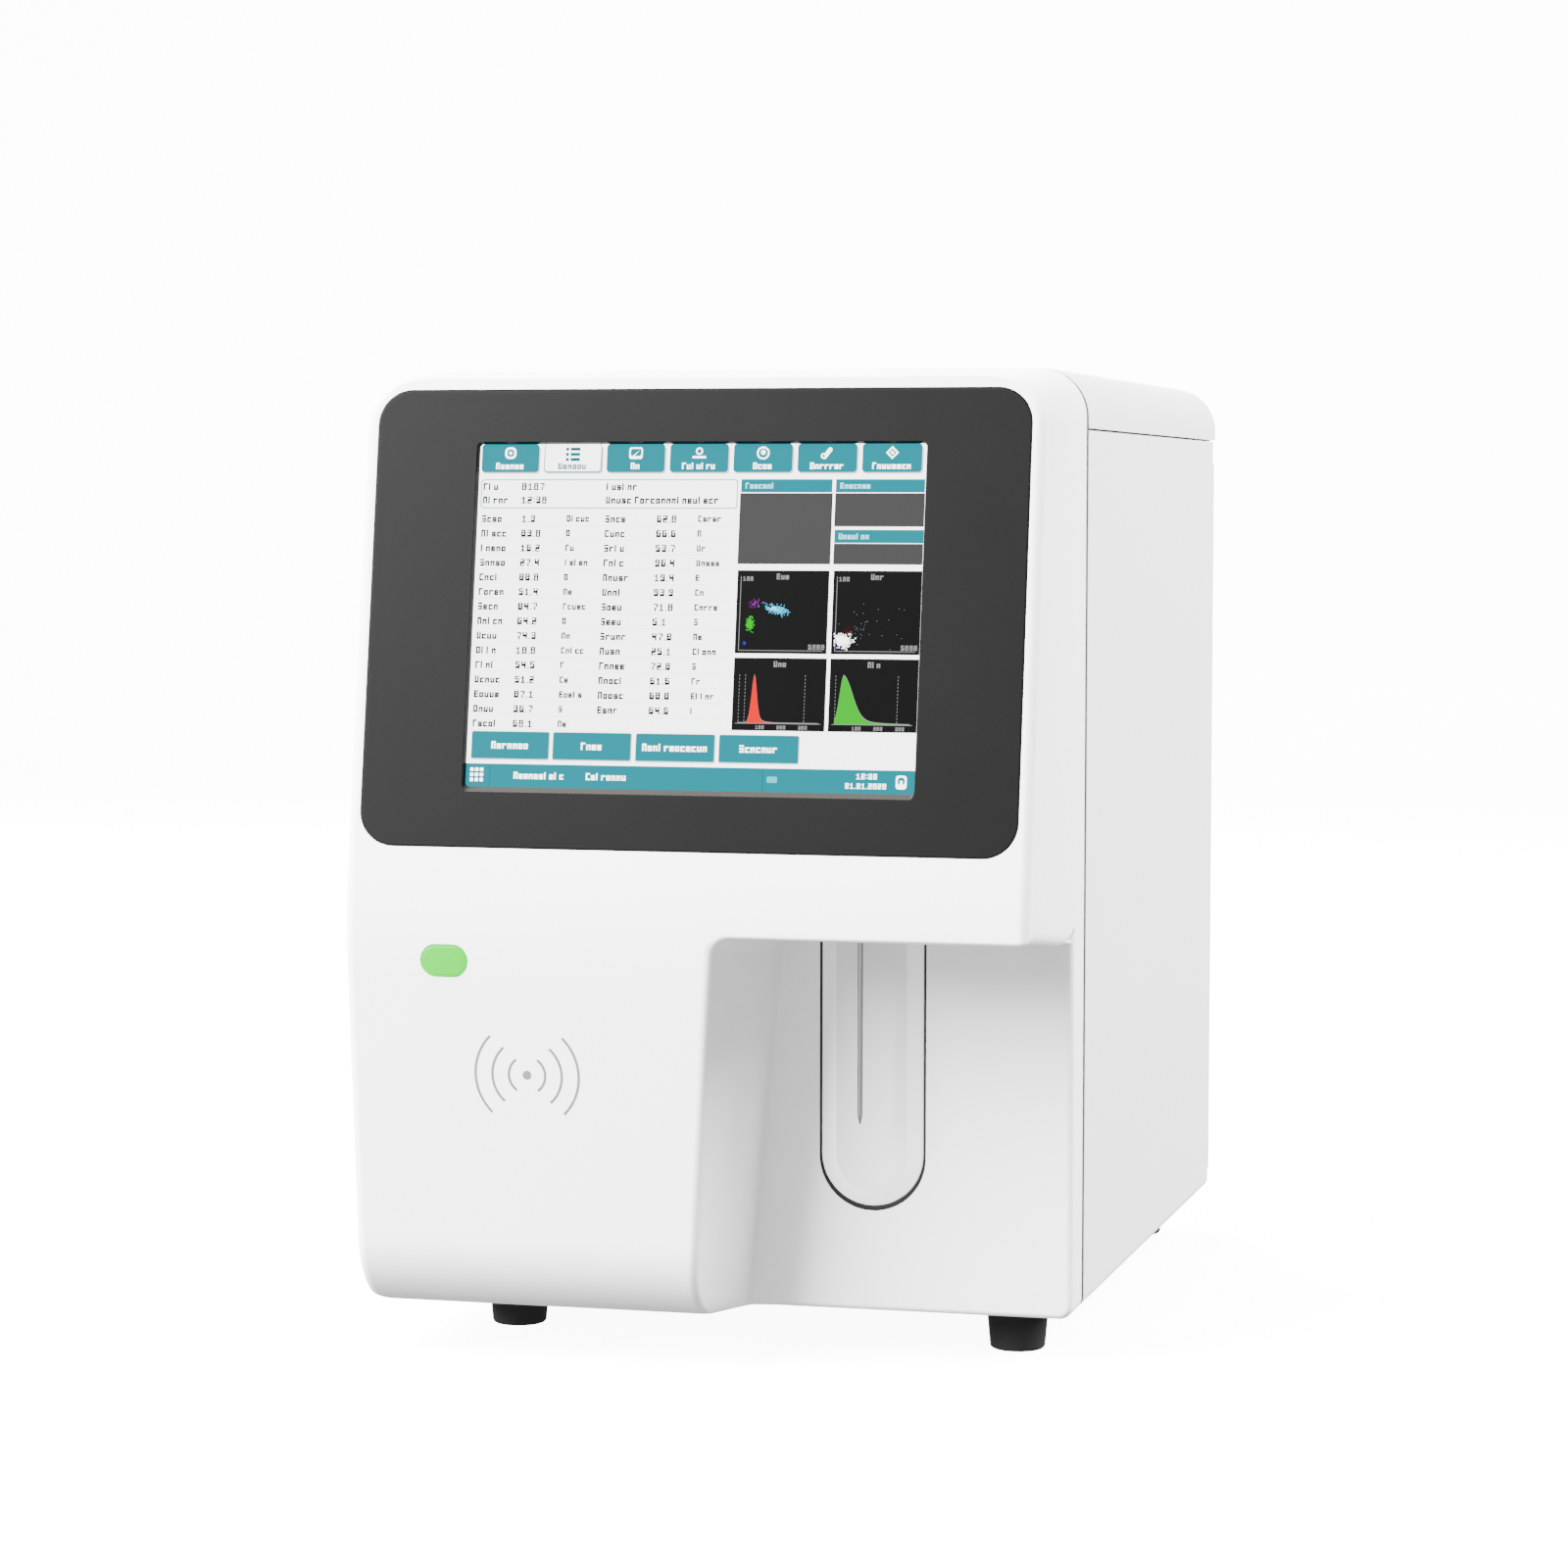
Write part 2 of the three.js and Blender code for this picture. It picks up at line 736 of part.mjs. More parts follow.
function touchPanel() {
  const depth = [touchFront, touchFront + touchThickness];
  return part("touch_panel", block(screenAcross(touchBorder), depth, screenUp(touchBorder)), screenFace);
}

function lcdModule() {
  const body = block(screenAcross(lcdBorder), [lcdFront, lcdBack], screenUp(lcdBorder));
  return part("lcd_module", body, greyPlastic);
}

// A tray round the back of the display with a lip on the cover's inner face
function displayBracket() {
  const inner = lcdBorder + clearance;
  const outer = inner + bracketWall;
  const lip = outer + bracketLip;
  const front = displayWall + clearance;
  return part("display_bracket", cut(
    join(
      block(screenAcross(outer), [front, bracketBack], screenUp(outer)),
      block(screenAcross(lip), [front, front + bracketSheet], screenUp(outer)),
    ),
    block(screenAcross(inner), [front - overrun, bracketBack - bracketSheet], screenUp(inner)),
  ), zincSheet);
}

// A circuit board in x and z, its standoffs towards -y and its parts towards +y
function boardSolid([x0, x1], [z0, z1], backY, stand) {
  const face = backY + stand;
  const rear = face + boardThickness;
  const across = x1 - x0;
  const up = z1 - z0;
  const pieces = [block([x0, x1], [face, rear], [z0, z1])];
  for (const shareX of postShares) {
    for (const shareZ of postShares) {
      const x = x0 + across * shareX;
      const z = z0 + up * shareZ;
      pieces.push(rodY(standoffRadius, x, [backY, face + boardThickness / 2], z, arcSteps * 2));
    }
  }
  chipShares.forEach(([shareX, shareZ], i) => {
    const [wide, tall] = chipCounts[i];
    const x = about(x0 + across * shareX, chipSide * wide);
    const z = about(z0 + up * shareZ, chipSide * tall);
    pieces.push(block(x, [rear - boardThickness / 2, rear + chipHeight], z));
  });
  return join(...pieces);
}

function displayBoard() {
  const across = about(-displayBoardOffset, displayBoardWidth);
  const up = [displayBoardLowHeight, displayBoardLowHeight + displayBoardHeight];
  return part("display_board", boardSolid(across, up, bracketBack + clearance, boardStandoff), greenBoard);
}

// Status light and card reader

const lensFront = frontY(lensCentreHeight) - lensProud;

function statusLens() {
  return part("status_lens", plateY(lensShape(0), [lensFront, lensFront + lensDepth]), greenLens);
}

function statusBoard() {
  const back = lensFront + lensDepth + clearance;
  const across = about(lensX, ledBoardWidth);
  return part("status_led_board", block(across, [back, back + boardThickness],
    about(lensCentreHeight, ledBoardHeight)), greenBoard);
}

function readerBoard() {
  const plate = block(about(0, readerSide), [0, boardThickness], about(0, readerSide));
  const chipRange = [boardThickness / 2, boardThickness + chipHeight];
  const chip = block(about(0, chipSide), chipRange, about(0, chipSide));
  const post = (x, z) => rodY(standoffRadius, x, [-readerBack, boardThickness / 2], z, arcSteps * 2);
  const edge = readerSide / 2 - standoffRadius;
  const mesh = part("reader_board", join(plate, chip, post(edge, edge), post(-edge, edge), post(edge, -edge),
    post(-edge, -edge)), greenBoard);
  const lowY = frontY(readerCentreHeight - readerSide / 2);
  const highY = frontY(readerCentreHeight + readerSide / 2);
  const lean = Math.atan2(lowY - highY, readerSide);
  const depth = coverWall + clearance + readerBack;
  mesh.position.set(readerX, (lowY + highY) / 2 + depth / Math.cos(lean), readerCentreHeight);
  mesh.rotation.x = lean;
  return mesh;
}

// Aspirate key

const keyPivotY = -slabDepth + keyPivotBack;

function keyRing(side, low, y) {
  const points = keyShape(side, low).getPoints(arcSteps * 2);
  points.pop();
  return points.map((point) => new THREE.Vector3(point.x, -point.y, y));
}

// The key plate with its raised pad, bevelled all round, and the two ears of its pivot
function aspirateKey() {
  const back = -slabDepth + coverWall;
  const low = keyBottomGap;
  const inset = keySideGap + keyBevel;
  const padLow = low + keyBevel;
  const pad = loft([
    keyRing(inset, padLow, -slabDepth - keyPadRise).reverse(),
    keyRing(keySideGap, low, -slabDepth).reverse(),
    keyRing(keySideGap, low, back).reverse(),
  ]).rotateX(-Math.PI / 2);
  const outerRadius = keyPinRadius + keyPinPlay + keyEarWall;
  const half = keyOpeningWidth / 2 - keySideGap - keyEarInset;
  const ears = [keyCentreX - half, keyCentreX + half - keyEarWidth].map((x) => join(
    rodX(outerRadius, [x, x + keyEarWidth], keyPivotY, keyPivotHeight),
    block([x, x + keyEarWidth], [back - coverWall / 2, keyPivotY], about(keyPivotHeight, outerRadius * 2)),
  ));
  const bore = rodX(keyPinRadius + keyPinPlay, about(keyCentreX, keyOpeningWidth), keyPivotY, keyPivotHeight);
  return part("aspirate_key", cut(join(pad, ...ears), bore), whiteShell);
}

function keyPin() {
  const length = keyOpeningWidth - 2 * (keySideGap + keyEarInset);
  const pin = rodX(keyPinRadius, about(keyCentreX, length), keyPivotY, keyPivotHeight);
  return part("key_hinge_pin", pin, steel);
}

// A foot on the chassis frame with two arms that hold the pin
function keyBracket() {
  const rear = -frameBack - clearance;
  const arms = [-1, 1].map((way) => {
    const across = about(keyCentreX + way * keyArmSpacing / 2, keyArmWidth);
    const radius = keyPinRadius + keyPinPlay + keyEarWall;
    return join(
      block(across, [keyPivotY, rear - keyFootThickness / 2], about(keyPivotHeight, radius * 2)),
      rodX(radius, across, keyPivotY, keyPivotHeight),
    );
  });
  const foot = block(about(keyCentreX, keyArmSpacing + keyFootHeight), [rear - keyFootThickness, rear],
    about(keyPivotHeight, keyFootHeight));
  const bore = rodX(keyPinRadius + keyPinPlay, about(keyCentreX, keyOpeningWidth), keyPivotY, keyPivotHeight);
  return part("key_bracket", cut(join(foot, ...arms), bore), zincSheet);
}

function keySwitch() {
  const rear = -frameBack - clearance;
  const front = rear - switchDepth;
  return part("key_switch", join(
    block(about(keyCentreX, switchWidth), [front, rear], about(switchHeight, switchTall)),
    rodY(switchPlungerRadius, keyCentreX, [front - switchPlungerRise, rear - switchDepth / 2], switchHeight),
  ), blackPlastic);
}

// Sample probe and its lift

function probeFrame() {
  const web = [-liftWebFront, liftWebSheet - liftWebFront];
  const rear = -frameBack - clearance;
  const up = [liftLowHeight, liftTopHeight];
  const outer = block([liftLeft, liftRight], [web[0], rear], up);
  const inner = block([liftLeft + liftWebSheet, liftRight - liftWebSheet], [web[1], rear + overrun],
    [liftLowHeight - overrun, liftTopHeight + overrun]);
  const shaftHole = rodY(shaftRadius + shaftPlay * 2, pulleyX, [-liftWebFront - overrun, 0],
    drivePulleyHeight);
  return part("probe_frame", cut(outer, inner, shaftHole), zincSheet);
}

function probeRail() {
  const back = -liftWebFront - clearance;
  return part("probe_rail", block(about(probeX, railWidth), [back - railDepth, back],
    [liftLowHeight + railEndGap, liftTopHeight - railEndGap]), steel);
}

const carriageBack = -liftWebFront - carriageBackGap;
const beltLeft = pulleyX - pulleyRadius - clearance - beltThickness;

// The carriage: a block on the rail, a nose that holds the probe and an arm up to the belt
function probeCarriage() {
  const up = [carriageLowHeight, carriageLowHeight + carriageHeight];
  const front = -probeFront - carriageFront;
  const railFront = -liftWebFront - clearance - railDepth;
  const slideFront = railFront - coverWall;
  const nose = block(about(probeX, carriageFront * 2), [front, slideFront], up);
  const slideAcross = [probeX - carriageWidth / 2, beltLeft - clearance];
  const slide = block(slideAcross, [slideFront - weld, carriageBack], up);
  const groove = block(about(probeX, railWidth + clearance * 2), [railFront - clearance, overrun],
    [carriageLowHeight - overrun, carriageLowHeight + carriageHeight + overrun]);
  const boreRange = [carriageLowHeight - overrun, liftTopHeight];
  const bore = rodZ(probeRadius + clearance, probeX, -probeFront, boreRange);
  return part("probe_carriage", cut(join(nose, slide), groove, bore), blackPlastic);
}

function sampleProbe() {
  const top = carriageLowHeight + carriageHeight + clearance;
  const profile = [
    [0, probeTipHeight], [probeTipFlat, probeTipHeight], [probeRadius, probeTipHeight + probeTipLength],
    [probeRadius, top], [hubRadius, top], [hubRadius, top + hubHeight], [0, top + hubHeight],
  ];
  const lathe = new THREE.LatheGeometry(profile.map(([x, y]) => new THREE.Vector2(x, y)), smallSteps);
  return part("sample_probe", lathe.rotateX(Math.PI / 2).translate(probeX, -probeFront, 0), steel);
}

function washBlock() {
  const up = [recessHeight + coverWall + clearance, recessHeight + coverWall + clearance + washHeight];
  return part("wash_block", cut(
    block(about(probeX, washWidth), about(-probeFront, washDepth), up),
    rodZ(washBore, probeX, -probeFront, about(recessHeight, overrun * 2)),
  ), clearPlastic);
}

const beltBack = -liftWebFront - beltStand;

function pulleySolid(height, bore, shaftBack) {
  const front = beltBack - pulleyWidth;
  const flanges = [[front - pulleyFlange, front], [beltBack, beltBack + pulleyFlange]].map((range) => (
    rodY(pulleyFlangeRadius, pulleyX, range, height)));
  const wheel = join(rodY(pulleyRadius, pulleyX, [front - weld, beltBack + weld], height), ...flanges);
  if (bore > 0) return cut(wheel, rodY(bore, pulleyX, about(beltBack, overrun), height));
  return join(wheel, rodY(shaftRadius, pulleyX, [front, shaftBack], height));
}

function liftBelt() {
  const radius = pulleyRadius + clearance;
  const loop = (r) => roundedShape([pulleyX - r, pulleyX + r],
    [idlerPulleyHeight - r, drivePulleyHeight + r], r - weld);
  const outline = loop(radius + beltThickness);
  outline.holes.push(loop(radius));
  const slack = (pulleyWidth - beltWidth) / 2;
  const rear = beltBack - slack;
  return part("lift_belt", plateY(outline, [rear - beltWidth, rear]), rubber);
}

const motorFront = -liftWebFront + liftWebSheet + clearance;

function liftMotor() {
  const up = about(drivePulleyHeight, motorSide);
  const outline = roundedShape(about(pulleyX, motorSide), up, motorCorner);
  const boreRange = [motorFront - overrun, motorFront + shaftDepth + clearance];
  const bore = rodY(shaftRadius + shaftPlay, pulleyX, boreRange, drivePulleyHeight);
  return part("lift_motor", cut(plateY(outline, [motorFront, motorFront + motorDepth]), bore), blackPlastic);
}

function drivePulley() {
  return part("drive_pulley", pulleySolid(drivePulleyHeight, 0, motorFront + shaftDepth), brightMetal);
}

function idlerPulley() {
  return part("idler_pulley", pulleySolid(idlerPulleyHeight, idlerPinRadius + clearance, 0), brightMetal);
}

function idlerPin() {
  const front = beltBack - pulleyWidth - pulleyFlange;
  const rear = -liftWebFront - clearance;
  return part("idler_pin", join(
    rodY(idlerPinRadius, pulleyX, [front, rear], idlerPulleyHeight),
    rodY(pulleyRadius, pulleyX, [-liftWebFront - beltStand / 2, rear], idlerPulleyHeight),
  ), steel);
}

// Chassis and casings

function frontFrame() {
  const outline = bodyOutline(coverWall + frameGap);
  outline.holes.push(roundedShape(about(frameWindowX, frameWindow), about(frameWindowHeight, frameWindow),
    bottomRadius));
  return part("front_frame", plateY(outline, [-frameBack, frameBack]), zincSheet);
}

function basePlate() {
  const edge = halfWidth - curlReach - clearance;
  const front = frameBack + clearance;
  const flangeBack = rearPanelInner - clearance;
  const flange = (x0) => block([x0, x0 + sheet], [front, flangeBack], [sheet / 2, baseFlange]);
  return part("base_plate", join(
    block([-edge, edge], [front, bodyDepth - clearance], [0, sheet]), flange(-edge), flange(edge - sheet),
  ), zincSheet);
}

// A side sheet in x and z on the right: upright, then curled in under the body
function sideSection() {
  const top = seamHeight - seamGap / 2;
  const shape = new THREE.Shape();
  shape.moveTo(halfWidth, top);
  shape.lineTo(halfWidth - sheet, top);
  shape.lineTo(halfWidth - sheet, bottomRadius);
  shape.absarc(halfWidth - bottomRadius, bottomRadius, bottomRadius - sheet, 0, -Math.PI / 2, true);
  shape.lineTo(halfWidth - curlReach, sheet);
  shape.lineTo(halfWidth - curlReach, 0);
  shape.lineTo(halfWidth - bottomRadius, 0);
  shape.absarc(halfWidth - bottomRadius, bottomRadius, bottomRadius, -Math.PI / 2, 0);
  return shape;
}

// Two columns of level slots, centred on a place, as cutters through a sheet
function ventSlots(place, centre, columns, rows, width) {
  const slots = [];
  for (let column = 0; column < columns; column += 1) {
    for (let row = 0; row < rows; row += 1) {
      const across = centre + (column - (columns - 1) / 2) * ventColumnPitch;
      const height = (row - (rows - 1) / 2) * ventSlotPitch;
      slots.push(place(about(across, width), about(height, ventSlotHeight)));
    }
  }
  return slots;
}

function leftPanel() {
  const body = plateY(sideSection(), [grooveWidth / 2, bodyDepth]).rotateZ(Math.PI);
  body.translate(0, bodyDepth + grooveWidth / 2, 0);
  const slots = ventSlots((y, z) => block([-halfWidth - overrun, overrun - halfWidth], y,
    z.map((height) => height + fanCentreHeight)), bodyDepth / 2, ventColumns, ventRows, ventSlotWidth);
  return part("left_side_panel", cut(body, ...slots), paintedSheet);
}

const hingeX = halfWidth - beadRadius;
const hingeY = bodyDepth - beadRadius;

// The service door: the side sheet with a rolled hinge bead up its rear edge
function serviceDoor() {
  const height = [beadLowHeight, beadTopHeight];
  const skin = plateY(sideSection(), [grooveWidth / 2, hingeY - doorNotch]);
  const strip = block([halfWidth - sheet, halfWidth], [hingeY - doorNotch - clearance, hingeY], height);
  const bead = rodZ(beadRadius, hingeX, hingeY, height, fineSteps);
  const bores = [[beadLowHeight - overrun, beadLowHeight + hingePinLength + clearance],
    [beadTopHeight - hingePinLength - clearance, beadTopHeight + overrun]].map((range) => (
    rodZ(hingePinRadius + hingePinPlay, hingeX, hingeY, range)));
  return part("service_door", cut(join(skin, strip, bead), ...bores), paintedSheet);
}

// A hinge plate with its pin, which stands on the low one and hangs from the high one
function doorHinge(name, plateLow, pinRange) {
  const right = halfWidth - sheet - clearance;
  const step = hingeX - beadRadius;
  const rear = rearPanelInner - clearance;
  const shape = new THREE.Shape();
  shape.moveTo(right - hingePlateWidth, rear - hingePlateDepth);
  shape.lineTo(right, rear - hingePlateDepth);
  shape.lineTo(right, hingeY + hingePinRadius * 2);
  shape.lineTo(step, hingeY + hingePinRadius * 2);
  shape.lineTo(step, rear);
  shape.lineTo(right - hingePlateWidth, rear);
  const plate = plateZ(shape, [plateLow, plateLow + hingePlate]);
  return part(name, join(plate, rodZ(hingePinRadius, hingeX, hingeY, pinRange)), zincSheet);
}

function doorHinges() {
  const lowPlate = beadLowHeight - clearance - hingePlate;
  const highPlate = beadTopHeight + clearance;
  return [
    doorHinge("door_hinge_lower", lowPlate, [lowPlate, beadLowHeight + hingePinLength]),
    doorHinge("door_hinge_upper", highPlate, [beadTopHeight - hingePinLength, highPlate + hingePlate]),
  ];
}

function doorCatch() {
  const right = halfWidth - sheet - clearance;
  const front = frameBack + clearance;
  return part("door_catch", block([right - catchWidth, right], [front, front + catchDepth],
    about(catchCentreHeight, catchHeight)), blackPlastic);
}

function topCover() {
  const low = seamHeight + seamGap / 2;
  const inner = topRadius - sheet;
  const centreZ = bodyHeight - topRadius;
  const arcX = halfWidth - topRadius;
  const shape = new THREE.Shape();
  shape.moveTo(halfWidth, low);
  shape.lineTo(halfWidth, centreZ);
  shape.absarc(arcX, centreZ, topRadius, 0, Math.PI / 2);
  shape.lineTo(-arcX, bodyHeight);
  shape.absarc(-arcX, centreZ, topRadius, Math.PI / 2, Math.PI);
  shape.lineTo(-halfWidth, low);
  shape.lineTo(sheet - halfWidth, low);
  shape.lineTo(sheet - halfWidth, centreZ);
  shape.absarc(-arcX, centreZ, inner, Math.PI, Math.PI / 2, true);
  shape.lineTo(arcX, bodyHeight - sheet);
  shape.absarc(arcX, centreZ, inner, Math.PI / 2, 0, true);
  shape.lineTo(halfWidth - sheet, low);
  return part("top_cover", plateY(shape, [grooveWidth / 2, bodyDepth]), paintedSheet);
}

function throughRear(shape) {
  return plateY(shape, [rearPanelInner - overrun, rearPanelOuter + overrun]);
}

function rearPanel() {
  const sheetRange = [rearPanelInner, rearPanelOuter];
  const doorSide = block([hingeX - beadRadius - clearance, halfWidth + overrun],
    [rearPanelInner - overrun, rearPanelOuter + overrun], [-overrun, seamHeight]);
  const slots = ventSlots((x, z) => block(x, [rearPanelInner - overrun, rearPanelOuter + overrun],
    z.map((height) => height + fanCentreHeight)), fanX, ventColumns, ventRows, ventSlotWidth);
  const grown = clearance * 2;
  const square = (x, z, wide, tall) => {
    const across = about(x, wide + grown);
    return throughRear(roundedShape(across, about(z, tall + grown), clearance));
  };
  const sockets = [0, 1].map((i) => square(socketX + i * socketPitch, socketHeight, socketWidth, socketTall));
  const ports = [0, 1, 2].map((i) => rodY(portRadius + clearance, portX + i * portPitch,
    [rearPanelInner - overrun, rearPanelOuter + overrun], portHeight));
  const ground = rodY(groundRadius + clearance, groundX, about(rearPanelOuter, overrun), groundHeight);
  return part("rear_panel", cut(
    plateY(bodyOutline(sheet + clearance), sheetRange), doorSide, ...slots, ...sockets, ...ports, ground,
    square(inletX, inletHeight, inletBodyWidth, inletBodyHeight),
    square(powerSwitchX, inletHeight, powerSwitchWidth - grown * 2, powerSwitchTall - grown * 2),
    square(networkX, socketHeight, networkWidth, networkTall),
  ), paintedSheet);
}

function innerPanel() {
  const low = sheet + clearance;
  const along = [innerPanelFront, innerPanelBack];
  return part("inner_panel", join(
    block([innerPanelX, innerPanelX + sheet], along, [low, innerPanelHeight]),
    block([innerPanelX - innerPanelFlange, innerPanelX + sheet / 2], along, [low, low + sheet]),
  ), zincSheet);
}

function foot(name, x, y) {
  const profile = [
    [0, -footHeight], [footBottomRadius - footEdge, -footHeight], [footBottomRadius, footEdge - footHeight],
    [footTopRadius, -clearance], [0, -clearance],
  ];
  const lathe = new THREE.LatheGeometry(profile.map(([r, z]) => new THREE.Vector2(r, z)), fineSteps);
  return part(name, lathe.rotateX(Math.PI / 2).translate(x, y, 0), rubber);
}

// Fluid units

const wallFace = innerPanelX + sheet + clearance;

// A reaction bath: a cup with a coned floor and a drain, held out from the panel by its back
function bath(name, y) {
  const x = wallFace + bathStand;
  const low = bathBottomHeight;
  const high = low + bathHeight;
  const inner = bathRadius - bathWall;
  const hollow = new THREE.LatheGeometry([
    new THREE.Vector2(0, low - overrun), new THREE.Vector2(bathDrain, low - overrun),
    new THREE.Vector2(bathDrain, low + bathWall), new THREE.Vector2(inner, low + bathWall + bathCone),
    new THREE.Vector2(inner, high + overrun), new THREE.Vector2(0, high + overrun),
  ], fineSteps).rotateX(Math.PI / 2).translate(x, y, 0);
  const back = block([wallFace, x], about(y, bathBack * 2), [low, high]);
  return part(name, cut(join(rodZ(bathRadius, x, y, [low, high]), back), hollow), clearPlastic);
}

function opticalBench() {
  const along = [benchFrontY, benchFrontY + benchLength];
  const up = [benchBottomHeight, benchBottomHeight + benchHeight];
  const middle = benchBottomHeight + benchHeight / 2;
  const barrelX = wallFace + benchDepth / 2;
  return part("optical_bench", join(
    block([wallFace, wallFace + benchDepth], along, up),
    rodY(benchBarrelRadius, barrelX, [along[1] - clearance, along[1] + benchBarrelLength], middle),
    rodX(benchBarrelRadius, [wallFace + benchDepth - clearance, wallFace + benchDepth + benchBarrelRadius],
      benchFrontY + benchLength / 2, middle),
  ), blackPlastic);
}

const syringeX = wallFace + syringeStand;
const plungerHeadBottom = barrelBottomHeight + clearance;
const plungerFoot = syringeMotorTopHeight - plungerStroke - plungerEngaged;

function syringeBarrel() {
  const up = [barrelBottomHeight, barrelBottomHeight + barrelLength];
  const holder = block([wallFace, syringeX + barrelBlock / 2], about(syringeY, barrelBlock),
    [up[1] - barrelBlockHeight, up[1]]);
  const bore = rodZ(barrelBore, syringeX, syringeY, [up[0] - overrun, up[1] - barrelBlockHeight / 2]);
  const barrel = rodZ(barrelRadius, syringeX, syringeY, up);
  return part("syringe_barrel", cut(join(barrel, holder), bore), clearPlastic);
}

// The plunger head in the barrel and the rod that rises out of its linear drive
function syringePlunger() {
  const top = plungerHeadBottom + plungerHeadLength;
  return part("syringe_plunger", join(
    rodZ(barrelBore - plungerPlay, syringeX, syringeY, [plungerHeadBottom, top]),
    rodZ(plungerRodRadius, syringeX, syringeY, [plungerFoot, top - clearance]),
  ), steel);
}

function syringeMotor() {
  const up = [syringeMotorTopHeight - syringeMotorHeight, syringeMotorTopHeight];
  const body = block(about(syringeX, syringeMotorSide), about(syringeY, syringeMotorSide), up);
  const shelf = block([wallFace, syringeX], about(syringeY, barrelBlock), [up[0], up[1]]);
  const bore = rodZ(plungerRodRadius + plungerPlay, syringeX, syringeY,
    [plungerFoot - clearance, syringeMotorTopHeight + overrun]);
  return part("syringe_motor", cut(join(body, shelf), bore), blackPlastic);
}

function valveManifold() {
  const along = [manifoldFrontY, manifoldFrontY + manifoldLength];
  const up = [manifoldBottomHeight, manifoldBottomHeight + manifoldHeight];
  const face = wallFace + manifoldDepth;
  const valves = [];
  for (let i = 0; i < valveCount; i += 1) {
    const y = manifoldFrontY + (manifoldLength / valveCount) * i + manifoldLength / valveCount / 2;
    valves.push(rodX(valveRadius, [face - clearance, face + valveLength], y, (up[0] + up[1]) / 2));
  }
  return part("valve_manifold", join(block([wallFace, face], along, up), ...valves), greyPlastic);
}

const pumpFace = wallFace + pumpDepth;

function wastePump() {
  const body = block([wallFace, pumpFace], about(pumpY, pumpSide), about(pumpHeight, pumpSide));
  const head = rodX(pumpHeadRadius, [pumpFace - clearance, pumpFace + pumpHeadDepth], pumpY, pumpHeight);
  const room = rodX(pumpCavityRadius, [pumpFace, pumpFace + pumpHeadDepth + overrun], pumpY, pumpHeight);
  const boreRange = [pumpFace - rotorShaftDepth - clearance, pumpFace + clearance];
  const bore = rodX(rotorShaftRadius + shaftPlay, boreRange, pumpY, pumpHeight);
  return part("waste_pump", cut(join(body, head), room, bore), blackPlastic);
}

function pumpRotor() {
  const low = pumpFace + clearance;
  const range = [low, low + rotorThickness];
  const reach = pumpCavityRadius - shaftPlay * 2 - rollerRadius;
  const rollers = [];
  for (let i = 0; i < rotorRollers; i += 1) {
    const turn = (Math.PI * 2 * i) / rotorRollers;
    const y = pumpY + reach * Math.cos(turn);
    rollers.push(rodX(rollerRadius, range, y, pumpHeight + reach * Math.sin(turn)));
  }
  const disc = rodX(rotorRadius, range, pumpY, pumpHeight);
  const shaft = rodX(rotorShaftRadius, [pumpFace - rotorShaftDepth, low + clearance], pumpY, pumpHeight);
  return part("pump_rotor", join(disc, shaft, ...rollers), greyPlastic);
}

// Electronics

function mainBoard() {
  const board = boardSolid([0, mainBoardLength], [0, mainBoardHeight], 0, boardStandoff);
  const mesh = part("main_board", board, greenBoard);
  mesh.rotation.z = Math.PI / 2;
  mesh.position.set(innerPanelX - clearance, mainBoardFrontY, mainBoardLowHeight);
  return mesh;
}

function powerSupply() {
  const low = sheet + clearance;
  const across = about(supplyX, supplyWidth);
  const along = [supplyFrontY, supplyFrontY + supplyLength];
  const slots = ventSlots((y, z) => block([across[0] - overrun, across[0] + supplySheet * 2], y,
    z.map((height) => height + low + supplyHeight / 2)), supplyFrontY + supplyLength / 2, ventColumns,
  ventColumns * 2, ventSlotWidth);
  return part("power_supply", cut(block(across, along, [low, low + supplyHeight]), ...slots), zincSheet);
}

// Rear fittings

const fanBack = rearPanelInner - clearance;
const fanFront = fanBack - fanDepth;

// The fan's square frame with spokes behind the blades and a pin for the rotor
function fanHousing() {
  const frame = block(about(fanX, fanSide), [fanFront, fanBack], about(fanCentreHeight, fanSide));
  const bore = rodY(fanBore, fanX, [fanFront - overrun, fanBack + overrun], fanCentreHeight);
  const spokeRange = [fanFront, fanFront + fanSpokeDepth];
  const spokes = [0, Math.PI / 2].map((turn) => {
    const spoke = block(about(0, fanSpokeWidth), spokeRange, about(0, fanSide - clearance));
    return spoke.rotateY(turn).translate(fanX, 0, fanCentreHeight);
  });
  const hub = rodY(fanHubRadius, fanX, spokeRange, fanCentreHeight);
  const pin = rodY(fanPinRadius, fanX, [fanFront, fanFront + fanSpokeDepth + fanPinLength], fanCentreHeight);
  return part("fan_housing", join(cut(frame, bore), ...spokes, hub, pin), blackPlastic);
}

function fanRotor() {
  const low = fanFront + fanSpokeDepth + clearance;
  const hub = rodY(fanHubRadius, 0, [low, low + fanBladeDepth], 0);
  const bore = rodY(fanPinRadius + clearance, 0, [low - overrun, low + fanPinLength], 0);
  const blades = [];
  for (let i = 0; i < fanBladeCount; i += 1) {
    const blade = block([fanHubRadius - fanBladeThickness, fanHubRadius + fanBladeReach],
      about(0, fanBladeThickness), about(0, fanBladeDepth));
    blade.rotateX(Math.PI / 4).translate(0, low + fanBladeDepth / 2, 0);
    blades.push(blade.rotateY((Math.PI * 2 * i) / fanBladeCount));
  }
  const mesh = part("fan_rotor", cut(join(hub, ...blades), bore), blackPlastic);
  mesh.position.set(fanX, 0, fanCentreHeight);
  return mesh;
}

